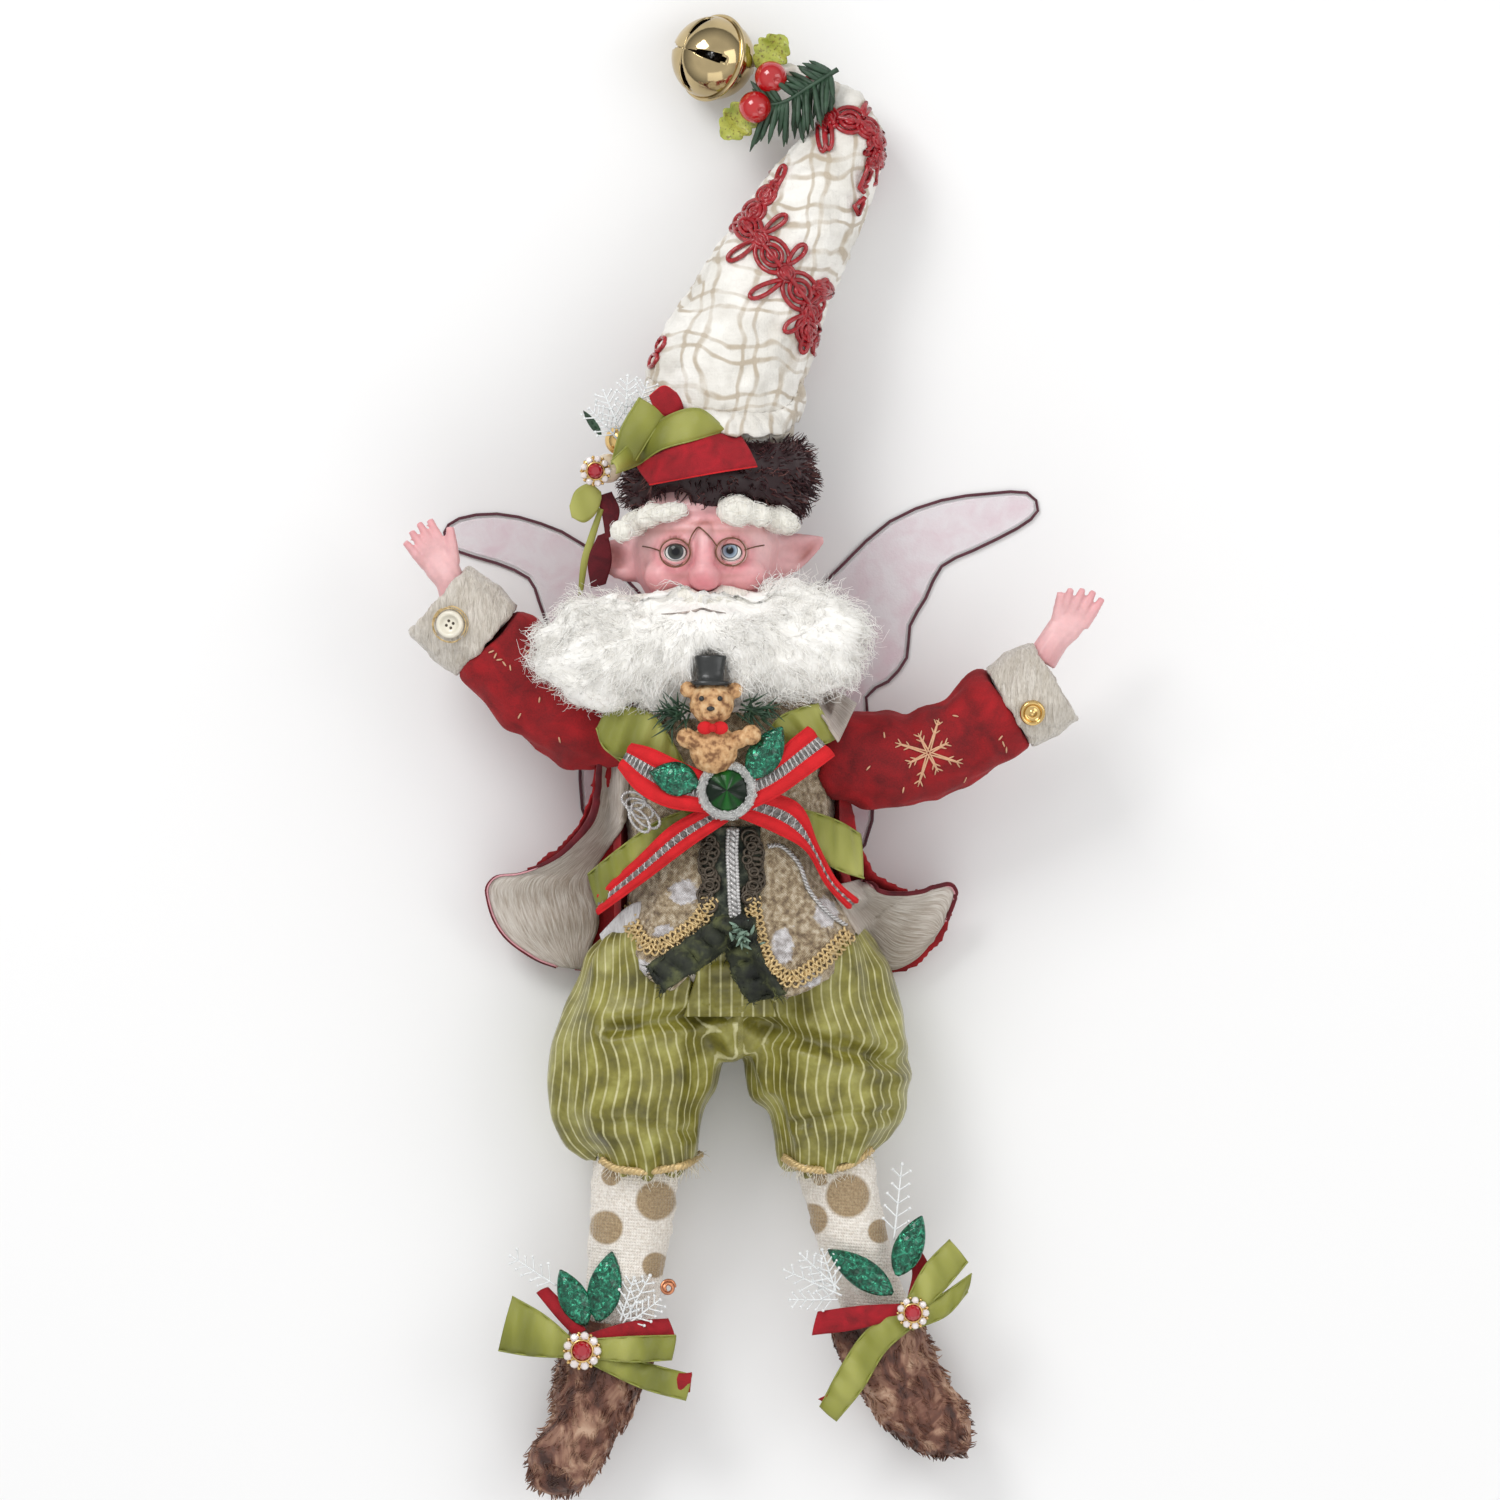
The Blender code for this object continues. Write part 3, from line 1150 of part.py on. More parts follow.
def hand(word):
    """A cast hand with four fingers, a thumb and a wrist that goes into the cuff."""
    wrist, heel, palm_end, tips, thumb_root, thumb_tip = (Vector((x, y, HAND_Z)) for x, y in HAND_POINTS[word])
    point = (tips - palm_end).normalized()
    across = UP.cross(point).normalized()
    pieces = [loft("palm", [
        (*wrist, WRIST_RADIUS, WRIST_RADIUS),
        (*heel, WRIST_RADIUS * 0.95, WRIST_RADIUS * 0.9),
        (*((heel + palm_end) / 2), PALM_HALF_WIDTH, PALM_HALF_WIDTH * 0.6),
        (*palm_end, PALM_HALF_WIDTH * 0.9, PALM_HALF_WIDTH * 0.42)], "skin", per_span=2, sides=10)]
    for k, share in enumerate((1.0, 1.1, 1.0, 0.8)):
        shift = across * (k - 1.5) * FINGER_RADIUS * 1.55
        root = palm_end - point * 0.0018 + shift
        tip = palm_end + (tips - palm_end) * share + shift * 1.35 + UP * (0.0012 + 0.0008 * k)
        middle = (root + tip) / 2 + UP * 0.0006
        pieces.append(loft("finger", [
            (*root, FINGER_RADIUS * 1.1, FINGER_RADIUS * 1.1), (*middle, FINGER_RADIUS, FINGER_RADIUS),
            (*tip, FINGER_RADIUS * 0.7, FINGER_RADIUS * 0.7)], "skin", per_span=1, sides=6))
    thumb_tip += UP * 0.0020
    pieces.append(loft("thumb", [
        (*thumb_root, FINGER_RADIUS * 1.5, FINGER_RADIUS * 1.5),
        (*((thumb_root + thumb_tip) / 2), FINGER_RADIUS * 1.25, FINGER_RADIUS * 1.25),
        (*thumb_tip, FINGER_RADIUS * 0.8, FINGER_RADIUS * 0.8)], "skin", per_span=1, sides=8))
    return settled(fused("hand_" + word, pieces))


def button(word, x, y, holes, finish):
    """A round button on the cuff, drilled through if it has holes."""
    spot, normal = rest_point(x, y, "cuff_" + word)
    spot = spot - normal * 0.0002
    disc = cylinder("cuff_button_" + word, spot, normal, BUTTON_THICKNESS, BUTTON_RADIUS, BUTTON_RADIUS * 0.92,
                    finish, 18)
    turn = turned_to(normal)
    for k in range(holes):
        a = math.pi / 4 + 2 * math.pi * k / holes
        offset = turn @ Vector((math.cos(a), math.sin(a), 0)) * BUTTON_RADIUS * 0.32
        drill = cylinder("drill", spot + offset - normal * 0.002, normal, 0.006, BUTTON_HOLE_RADIUS,
                         BUTTON_HOLE_RADIUS, finish, 6)
        disc = boolean(disc, drill, "DIFFERENCE")
        bpy.data.objects.remove(drill)
    return settled(disc, "cuff_" + word)


# Wings

WING_OUTLINES = {
    "right": ((-0.014, 0.012), (-0.025, 0.036), (-0.0415, 0.051), (-0.053, 0.0568), (-0.064, 0.0592),
              (-0.0735, 0.058), (-0.0772, 0.0545), (-0.0745, 0.05), (-0.064, 0.0468), (-0.056, 0.043),
              (-0.0535, 0.0375), (-0.051, 0.0305), (-0.047, 0.022), (-0.0435, 0.013), (-0.043, 0.0000),
              (-0.0425, -0.015), (-0.037, -0.025), (-0.026, -0.027), (-0.017, -0.018), (-0.013, -0.003)),
    "left": ((0.0010, 0.0120), (0.0110, 0.0330), (0.0232, 0.0465), (0.0350, 0.0573), (0.0480, 0.0626),
             (0.0600, 0.0643), (0.0695, 0.0645), (0.0722, 0.0600), (0.0670, 0.0555), (0.0560, 0.0500),
             (0.0480, 0.0460), (0.0440, 0.0380), (0.0400, 0.0310), (0.0392, 0.0230), (0.0345, 0.0170),
             (0.0290, 0.0130), (0.0305, 0.0000), (0.0305, -0.0180), (0.0255, -0.0280), (0.0150, -0.0290),
             (0.0050, -0.0200), (0.0010, -0.0030)),
}


def wing(word):
    """A film stretched in a bent wire that follows the upper and the lower lobe."""
    points = list(WING_OUTLINES[word])
    rows = through(points + points[:1], 2)[:-1]
    count = len(rows)
    inner = []
    area = sum(rows[k - 1][0] * rows[k][1] - rows[k][0] * rows[k - 1][1] for k in range(count))
    inset = (WING_WIRE_RADIUS + SEAT_GAP * 1.3) * (1 if area > 0 else -1)
    for k in range(count):
        ahead = Vector(rows[(k + 1) % count] - rows[k - 1]).normalized()
        inner.append((rows[k][0] - ahead.y * inset, rows[k][1] + ahead.x * inset))
    loop = [(x, y, WING_WIRE_RADIUS) for x, y in rows]
    settled(wire("wing_wire_" + word, loop, WING_WIRE_RADIUS, "wing_wire", closed=True, sides=1))
    film = plate("wing_film_" + word, inner, WING_FILM_THICKNESS, "wing_gauze", (0, 0, WING_WIRE_RADIUS))
    settled(film)


# Chest and boot trims

def chest_centre():
    return Vector((HIP_X - 0.0025, CHEST_Y - 0.0060, 0))


def bow(name, plain, loops):
    """A bow from its knot and tails, and from loops that come with their filled outlines."""
    rings = [loop[0] for loop in loops]
    filled = [loop[1] for loop in loops]
    whole = fused(name, [*plain, *rings], [*plain, *filled])
    for outside in filled:
        bpy.data.objects.remove(outside)
    return whole


def chest_bows():
    """A wide red bow over an olive one, tied at the middle of the chest."""
    middle = chest_centre()
    base = rest_point(middle.x, middle.y, "vest")[0].z + 0.0012
    # Each bow: the tips of its loops, then of its tails, as offsets from the knot
    bows = (
        ("chest_bow_olive", "olive_satin", 0.0095, base, 0.0028,
         ((-0.0290, 0.0125), (0.0265, 0.0145)), ((-0.0350, -0.0260), (0.0310, -0.0160)), ()),
        ("chest_bow_red", "red_velvet", WIDE_RIBBON, base + 0.0042, 0.0050,
         ((-0.027, 0.008), (0.027, 0.0115)), ((-0.033, -0.027), (0.03, -0.027)), ("chest_bow_olive",)),
    )
    for name, finish, width, level, rise, loops, tails, under in bows:
        knot = Vector((middle.x, middle.y, level))
        pieces = [ball("knot", knot + UP * rise * 0.4, (0.0050, 0.0045, rise * 0.65), finish, 10, 7)]
        made = [bow_loop("loop", knot, knot + Vector((x, y, 0)), rise, width, finish) for x, y in loops]
        for x, y in tails:
            route = [knot, knot + Vector((x * 0.4, y * 0.4, 0.0006)),
                     knot + Vector((x * 0.75, y * 0.75, 0.0004)),
                     knot + Vector((x, y, -0.0002))]
            pieces.append(strip("tail", [tuple(p) for p in route], width * 0.9, finish))
        whole = bow(name, pieces, made)
        settled(whole, "vest", "front_braid", "coat", "coat_lining_right", "coat_lining_left", "breeches",
                "sleeve_right", "sleeve_left", *under)


def chest_stone():
    """A round green stone in a silver setting, on the knot of the bow."""
    middle = chest_centre()
    spot = rest_point(middle.x, middle.y, "chest_bow_red")[0]
    spot.z -= HIDDEN_OVERLAP * 0.4
    ring = cylinder("chest_setting", spot, UP, SETTING_HEIGHT, SETTING_RADIUS, SETTING_RADIUS * 0.92,
                    "silver_foil", 24)
    seat_floor = spot + UP * SETTING_HEIGHT * 0.45
    pocket = cylinder("pocket", seat_floor, UP, SETTING_HEIGHT, STONE_RADIUS + SEAT_GAP, STONE_RADIUS + SEAT_GAP,
                      "silver_foil", 16)
    ring = boolean(ring, pocket, "DIFFERENCE")
    bpy.data.objects.remove(pocket)
    settled(ring, "chest_bow_red", "chest_bow_olive", "vest", "front_braid")
    base = seat_floor + UP * SEAT_GAP
    stone = cylinder("chest_stone", base, UP, SETTING_HEIGHT * 0.5, STONE_RADIUS, STONE_RADIUS,
                     "green_crystal", 16)
    crown = cylinder("crown", base + UP * SETTING_HEIGHT * 0.45, UP, SETTING_HEIGHT * 0.55, STONE_RADIUS, 0.0004,
                     "green_crystal", 16)
    settled(fused("chest_stone", [stone, crown]))


def leaf_bead(name, root, tip):
    """A pressed foil leaf: plump in the middle and pointed at its tip."""
    root, tip = Vector(root), Vector(tip)
    stations = []
    for share, size in ((0.0, 0.15), (0.18, 0.72), (0.42, 1.0), (0.72, 0.68), (1.0, 0.06)):
        spot = root + (tip - root) * share
        stations.append((*spot, LEAF_HALF_WIDTH * size, LEAF_HALF_THICKNESS * size))
    return loft(name, stations, "foil_leaf", per_span=2, sides=6)


def chest_leaves():
    middle = chest_centre()
    level = rest_point(middle.x, middle.y, "chest_bow_red")[0].z + 0.0008
    spots = {"right": ((-0.007, 0.001), (-0.019, 0.0028)), "left": ((0.0072, 0.0055), (0.0128, 0.017))}
    for word, (root, tip) in spots.items():
        leaf = leaf_bead("chest_leaf_" + word, (middle.x + root[0], middle.y + root[1], level),
                         (middle.x + tip[0], middle.y + tip[1], level + 0.0005))
        settled(leaf, "chest_bow_red", "chest_bow_olive", "chest_setting", "vest")


def teddy():
    """A little cast bear in a top hat, standing on the bow."""
    middle = chest_centre()
    level = rest_point(middle.x, middle.y, "chest_bow_red")[0].z + 0.0010
    body = Vector((middle.x - 0.0022, middle.y + 0.0115, level))
    head_spot = body + Vector((-0.0012, 0.0105, 0.0008))
    crown = head_spot + Vector((-0.0003, TEDDY_HEAD_RADIUS * 0.72, 0))
    size = TEDDY_HEAD_RADIUS
    pieces = [
        ball("bear", body, (TEDDY_BODY_HALF_HEIGHT * 0.86, TEDDY_BODY_HALF_HEIGHT, 0.0046), "bear_resin"),
        ball("bear", head_spot, (size, size * 0.95, size * 0.88), "bear_resin"),
        ball("bear", head_spot + Vector((0, -size * 0.3, size * 0.75)), (size * 0.42, size * 0.34, size * 0.4),
             "bear_resin", 10, 7),
    ]
    for side in (RIGHT, LEFT):
        ear_spot = head_spot + Vector((side * size * 0.90, size * 0.50, 0))
        pieces.append(ball("bear", ear_spot, (size * 0.36, size * 0.36, size * 0.22), "bear_resin", 8, 6))
        paw = body + Vector((side * 0.0066, 0.0028, 0.0016))
        turn = Matrix.Rotation(side * math.radians(10), 4, "Z")
        pieces.append(ball("bear", paw, (0.0034, 0.0023, 0.0023), "bear_resin", 8, 6, turn))
    pieces.append(cylinder("bear", crown, (0, 1, 0), 0.0009, size * 0.92, size * 0.92, "bear_resin", 12))
    pieces.append(cylinder("bear", crown + Vector((0, 0.0004, 0)), (0, 1, 0), 0.0075, size * 0.66, size * 0.8,
                           "bear_resin", 12))
    settled(fused("teddy_bear", pieces), "chest_setting", "chest_bow_red", "chest_bow_olive", "vest", "torso",
            "chest_leaf_right", "chest_leaf_left")


# Knot of each boot's bow, then its two loops and two tails, as offsets from the knot
BOOT_BOWS = {
    "right": ((-0.0425, -0.15), ((-0.0175, 0.0075), (0.02, 0.004)), ((-0.02, -0.0015), (0.026, -0.01))),
    "left": ((0.0385, -0.142), ((0.013, 0.0165), (-0.015, -0.0095)), ((0.0165, 0.0075), (-0.0195, -0.0275))),
}
BOOT_JEWELS = {"right": (0.0000, -0.0010), "left": (0.0018, 0.0010)}
BOOT_LEAVES = {
    "right": (((0.0010, 0.0040), (-0.0040, 0.0160)), ((0.0030, 0.0040), (0.0095, 0.0185))),
    "left": (((-0.0020, 0.0040), (-0.0155, 0.0150)), ((0.0000, 0.0060), (0.0035, 0.0215))),
}


def boot_trim(word):
    """A ribbon bow, two foil leaves on one stem and a jewel on the front of each boot."""
    (x, y), loops, tails = BOOT_BOWS[word]
    under = ("boot_" + word, "leg_" + word)
    spot, normal = rest_point(x, y, *under)
    knot = Vector((spot.x, spot.y, max(spot.z, BOOT_HALF_DEPTH * 1.6) + 0.0008))
    finish = "olive_satin"
    pieces = [ball("knot", knot + UP * 0.0010, (0.0036, 0.0036, 0.0022), finish, 8, 6)]
    made = [bow_loop("loop", knot, knot + Vector((dx, dy, 0)), 0.003, NARROW_RIBBON, finish) for dx, dy in loops]
    for dx, dy in tails:
        route = [knot, knot + Vector((dx * 0.5, dy * 0.5, 0.0012)), knot + Vector((dx, dy, 0.0006))]
        pieces.append(strip("tail", [tuple(p) for p in route], NARROW_RIBBON, finish))
    settled(bow("boot_bow_" + word, pieces, made), *under)
    dx, dy = BOOT_JEWELS[word]
    top = rest_point(knot.x + dx, knot.y + dy, "boot_bow_" + word)[0]
    jewel("boot_jewel_" + word, top - UP * 0.0004, UP.copy(), "boot_bow_" + word)
    foot = knot + Vector((BOOT_LEAVES[word][0][0][0], 0.0045, 0.0030))
    pieces = [ball("stalk", foot, (0.0022, 0.0020, 0.0014), "foil_leaf", 8, 6)]
    for _, tip in BOOT_LEAVES[word]:
        pieces.append(leaf_bead("leaf", foot, (knot.x + tip[0], knot.y + tip[1], foot.z - 0.0008)))
    settled(fused("boot_leaves_" + word, pieces), "boot_bow_" + word, "boot_jewel_" + word, *under)


# Assembly, from the inside out

torso()
eyes()
spectacles()
head()
fringe()
moustache()
fur_band()
hat_cone()
braid()
bell()
tip_greenery()
for word in ("right", "left"):
    leg(word)
for word in ("right", "left"):
    boot(word)
breeches()
vest()
front_braid()
coat()
for word in ("right", "left"):
    sleeve(word)
    hand(word)
    cuff(word)
button("right", -0.0750, 0.0310, 4, "ivory_button")
button("left", 0.0700, 0.0090, 0, "gold_bauble")
for word in ("right", "left"):
    wing(word)
chest_bows()
chest_stone()
chest_leaves()
teddy()
hat_side_trim()
beard(
    "head", "torso", "moustache", "vest", "coat", "coat_lining_right", "coat_lining_left", "sleeve_right",
    "sleeve_left", "chest_bow_olive", "chest_bow_red", "chest_setting", "chest_leaf_right", "chest_leaf_left",
    "teddy_bear", "hat_streamer", "front_braid",
)
for word in ("right", "left"):
    boot_trim(word)
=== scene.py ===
"""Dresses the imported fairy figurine: fleece, fur, velvet, satin, braid, ribbons, leaves and stones.

Lengths are in metres in the model's own frame. The figure lies on its back and the camera looks
straight down on it, so spot(x, y) turns a point of the 1500 pixel wide photograph into that frame.
"""

import math

import bpy
import numpy as np
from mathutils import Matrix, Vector, noise
from mathutils.bvhtree import BVHTree


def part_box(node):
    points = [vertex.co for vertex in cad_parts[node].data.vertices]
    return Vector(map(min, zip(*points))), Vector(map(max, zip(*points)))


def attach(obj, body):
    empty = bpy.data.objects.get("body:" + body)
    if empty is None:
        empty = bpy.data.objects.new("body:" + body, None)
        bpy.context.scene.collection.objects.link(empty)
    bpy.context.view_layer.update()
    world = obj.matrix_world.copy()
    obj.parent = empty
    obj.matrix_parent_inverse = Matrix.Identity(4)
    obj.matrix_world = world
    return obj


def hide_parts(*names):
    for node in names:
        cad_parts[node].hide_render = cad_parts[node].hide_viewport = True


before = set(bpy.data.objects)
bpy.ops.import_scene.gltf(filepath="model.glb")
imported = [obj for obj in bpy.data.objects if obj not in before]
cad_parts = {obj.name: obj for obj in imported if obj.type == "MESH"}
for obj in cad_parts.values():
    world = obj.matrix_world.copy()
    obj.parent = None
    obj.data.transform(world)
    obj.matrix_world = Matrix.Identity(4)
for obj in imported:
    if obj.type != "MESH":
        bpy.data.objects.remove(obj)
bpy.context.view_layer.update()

PIXEL = .00025                     # metres to one pixel of the photograph
PHOTO_CENTRE = (751, 749)          # the pixel above the model's origin
UP = np.array((0.0, 0.0, 1.0))


# Points, paths and lookups

def spot(x, y, z=0.0):
    """A pixel of the photograph as a point of the model, at height z."""
    return np.array(((x - PHOTO_CENTRE[0]) * PIXEL, (PHOTO_CENTRE[1] - y) * PIXEL, z))


def unit(v):
    """v, or each row of v, at length one."""
    v = np.asarray(v, float)
    return v / np.maximum(np.linalg.norm(v, axis=-1, keepdims=True), 1e-12)


def smooth_path(points, count, closed=False):
    """A smooth curve through the points, as count evenly spaced points."""
    p = np.asarray(points, float)
    if closed:
        p = np.vstack([p[-1:], p, p[:2]])
    else:
        p = np.vstack([2 * p[0] - p[1], p, 2 * p[-1] - p[-2]])
    t = np.linspace(0, 1, 12, endpoint=False)[:, None]
    parts = []
    for a, b, c, d in zip(p[:-3], p[1:-2], p[2:-1], p[3:]):
        parts.append(.5 * (2 * b + (c - a) * t + (2 * a - 5 * b + 4 * c - d) * t ** 2
                           + (3 * b - a - 3 * c + d) * t ** 3))
    if not closed:
        parts.append(p[-2:-1])
    fine = np.vstack(parts)
    if closed:
        fine = np.vstack([fine, fine[:1]])
    steps = np.r_[0, np.cumsum(np.linalg.norm(np.diff(fine, axis=0), axis=1))]
    wanted = np.linspace(0, steps[-1], count + 1 if closed else count)
    if closed:
        wanted = wanted[:-1]
    return np.stack([np.interp(wanted, steps, fine[:, k]) for k in range(p.shape[1])], 1)


def tangents(path, closed=False):
    """The direction of travel at each point of a path."""
    if closed:
        return unit(np.roll(path, -1, 0) - np.roll(path, 1, 0))
    return unit(np.gradient(path, axis=0))


def vertices_of(thing):
    """The vertices of an object's mesh as an array."""
    co = np.zeros(len(thing.data.vertices) * 3)
    thing.data.vertices.foreach_get("co", co)
    return co.reshape(-1, 3)


def normals_of(thing):
    """The vertex normals of an object's mesh as an array."""
    no = np.zeros(len(thing.data.vertices) * 3)
    thing.data.vertex_normals.foreach_get("vector", no)
    return no.reshape(-1, 3)


def tree_of(*names):
    """A search tree over some CAD nodes or objects."""
    verts, faces = [], []
    for name in names:
        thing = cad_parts[name] if isinstance(name, str) else name
        start = len(verts)
        verts += [v.co.copy() for v in thing.data.vertices]
        faces += [[i + start for i in f.vertices] for f in thing.data.polygons]
    return BVHTree.FromPolygons(verts, faces)


def top(tree, x, y, default=0.0):
    """The height of the highest surface under the point (x, y)."""
    hit = tree.ray_cast(Vector((x, y, .3)), Vector((0, 0, -1)))[0]
    return default if hit is None else hit.z


def laid(tree, points, lift, default=0.0):
    """Pixels of the photograph, laid lift above the surface, as points of the model."""
    out = []
    for x, y in points:
        p = spot(x, y)
        p[2] = top(tree, p[0], p[1], default) + lift
        out.append(p)
    return np.array(out)


def fractal(points, scale, octaves=3, offset=(0, 0, 0)):
    """Smooth noise at each point, between about -1 and 1; scale is its detail per metre."""
    shift = Vector(offset)
    return np.array([noise.fractal(Vector(p) * scale + shift, 1.0, 2.0, octaves) for p in points])


# Meshes

def made(name, verts, faces, finish, node=None, slot=None, smooth=True):
    """A new mesh object that rides on the figure."""
    mesh = bpy.data.meshes.new(name)
    mesh.from_pydata(np.asarray(verts, float).tolist(), [], [list(map(int, f)) for f in faces])
    mesh.validate()
    thing = bpy.data.objects.new(name, mesh)
    bpy.context.scene.collection.objects.link(thing)
    mesh.materials.append(finish)
    mesh.polygons.foreach_set("use_smooth", [smooth] * len(mesh.polygons))
    return settled(thing, node)


def settled(thing, node=None):
    """Hangs the piece from the root empty and hides the CAD node that it stands for."""
    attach(thing, "root")
    if node:
        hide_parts(*([node] if isinstance(node, str) else node))
    return thing


def joined(parts):
    """Several (vertices, faces) pairs as one."""
    verts, faces, start = [], [], 0
    for v, f in parts:
        verts.append(np.asarray(v, float))
        faces += [tuple(i + start for i in face) for face in f]
        start += len(v)
    return np.vstack(verts), faces


def skin_rings(rings, closed=False, caps=True):
    """Quads over a (stations, around, 3) array of points."""
    n, m = rings.shape[:2]
    faces = []
    for i in range(n if closed else n - 1):
        a, b = i * m, ((i + 1) % n) * m
        faces += [(a + j, a + (j + 1) % m, b + (j + 1) % m, b + j) for j in range(m)]
    if caps and not closed:
        faces.append(tuple(range(m))[::-1])
        faces.append(tuple(range((n - 1) * m, n * m)))
    return rings.reshape(-1, 3), faces


def carried(path, closed=False, first=UP):
    """Side and up vectors carried along a path without twist."""
    t = tangents(path, closed)
    up = first - t[0] * np.dot(first, t[0])
    if np.linalg.norm(up) < 1e-3:
        up = np.array((1.0, 0.0, 0.0)) - t[0] * t[0][0]
    ups = []
    for direction in t:
        up = unit(up - direction * np.dot(up, direction))
        ups.append(up)
    ups = np.array(ups)
    return np.cross(t, ups), ups


def tube(path, radius, sides=8, closed=False, flat=1.0, normals=None):
    """A round tube, or a flattened one, along a path."""
    path = np.asarray(path, float)
    if normals is None:
        side, up = carried(path, closed)
    else:
        t = tangents(path, closed)
        side = unit(np.cross(t, normals))
        up = np.cross(side, t)
    r = np.broadcast_to(np.asarray(radius, float), (len(path),))[:, None, None]
    angle = np.linspace(0, 2 * math.pi, sides, endpoint=False)
    ring = (np.cos(angle)[None, :, None] * side[:, None, :]
            + flat * np.sin(angle)[None, :, None] * up[:, None, :]) * r
    return skin_rings(path[:, None, :] + ring, closed)


def twisted(path, radius, strands=2, pitch=.003, sides=6, closed=False):
    """A cord of several strands laid round each other along a path."""
    side, up = carried(path, closed)
    run = np.r_[0, np.cumsum(np.linalg.norm(np.diff(path, axis=0), axis=1))]
    parts = []
    for k in range(strands):
        a = run / pitch * 2 * math.pi + k * 2 * math.pi / strands
        centre = path + (np.cos(a)[:, None] * side + np.sin(a)[:, None] * up) * radius * .5
        parts.append(tube(centre, radius * .56, sides, closed))
    return joined(parts)


def ruled(edge_a, edge_b, along=24, across=8, thick=.0004, crown=0.0, ripple=0.0, seed=0, pitch=.004):
    """A thin closed sheet between two edges, crowned across and rippled along."""
    a, b = smooth_path(edge_a, along), smooth_path(edge_b, along)
    s = np.linspace(0, 1, across)[None, :, None]
    grid = a[:, None, :] * (1 - s) + b[:, None, :] * s
    t = unit(np.gradient(grid, axis=0))
    w = unit(np.broadcast_to((b - a)[:, None, :], grid.shape))
    n = unit(np.cross(w, t))
    n = np.where(n[..., 2:3] < 0, -n, n)
    lift = crown * (1 - (2 * s[..., 0] - 1) ** 2)
    if ripple:
        run = np.r_[0, np.cumsum(np.linalg.norm(np.diff(a, axis=0), axis=1))][:, None]
        lift = lift + ripple * np.sin(run / pitch * 2 * math.pi + seed + 2.2 * s[..., 0] * math.sin(seed + 1))
    grid = grid + n * np.broadcast_to(lift, grid.shape[:2])[..., None]
    above, below = grid + n * thick / 2, grid - n * thick / 2
    rings = np.concatenate([above, below[:, ::-1]], 1)
    return skin_rings(rings)


def ball(centre, radius, rows=16, columns=24, squash=(1, 1, 1)):
    """A round body with its poles along Z."""
    angle = np.linspace(0, math.pi, rows + 1)[1:-1]
    turn = np.linspace(0, 2 * math.pi, columns, endpoint=False)
    ring = np.stack([np.sin(angle)[:, None] * np.cos(turn), np.sin(angle)[:, None] * np.sin(turn),
                     np.cos(angle)[:, None] + 0 * turn], -1)
    verts = np.vstack([ring.reshape(-1, 3), [(0, 0, 1), (0, 0, -1)]])
    first, last = len(verts) - 2, len(verts) - 1
    faces = []
    for i in range(rows - 2):
        for j in range(columns):
            k = (j + 1) % columns
            faces.append((i * columns + j, (i + 1) * columns + j, (i + 1) * columns + k, i * columns + k))
    end = (rows - 2) * columns
    for j in range(columns):
        k = (j + 1) % columns
        faces.append((first, j, k))
        faces.append((last, end + k, end + j))
    return verts * np.array(squash) * radius + np.asarray(centre), faces


def remeshed(name, node, voxel, finish, relax=4, parts=None):
    """A finely and evenly meshed copy of a CAD node, or of the parts given, that stands for the node."""
    if parts is None:
        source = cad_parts[node].data
        parts = [(np.array([v.co for v in source.vertices]), [tuple(f.vertices) for f in source.polygons])]
    verts, faces = joined(parts)
    mesh = bpy.data.meshes.new(name + "_rough")
    mesh.from_pydata(verts.tolist(), [], faces)
    thing = bpy.data.objects.new(name, mesh)
    bpy.context.scene.collection.objects.link(thing)
    remesh = thing.modifiers.new("remesh", "REMESH")
    remesh.mode = "VOXEL"
    remesh.voxel_size = voxel
    soften = thing.modifiers.new("soften", "SMOOTH")
    soften.factor = .5
    soften.iterations = relax
    apply_all(thing)
    thing.data.materials.clear()
    thing.data.materials.append(finish)
    thing.data.polygons.foreach_set("use_smooth", [True] * len(thing.data.polygons))
    return settled(thing, node)


def apply_all(thing):
    """Replaces an object's mesh by what its modifiers make of it."""
    bpy.context.view_layer.update()
    result = bpy.data.meshes.new_from_object(thing.evaluated_get(bpy.context.evaluated_depsgraph_get()))
    thing.modifiers.clear()
    thing.data = result


def moved(thing, change):
    """Moves a mesh's vertices: change takes points and normals and gives the new points."""
    thing.data.update()
    points = change(vertices_of(thing), normals_of(thing))
    thing.data.vertices.foreach_set("co", points.ravel())
    thing.data.update()
    return thing


def painted(thing, name, values):
    """Stores one number per vertex for the material to read."""
    layer = thing.data.attributes.new(name, "FLOAT", "POINT")
    layer.data.foreach_set("value", np.asarray(values, np.float32))


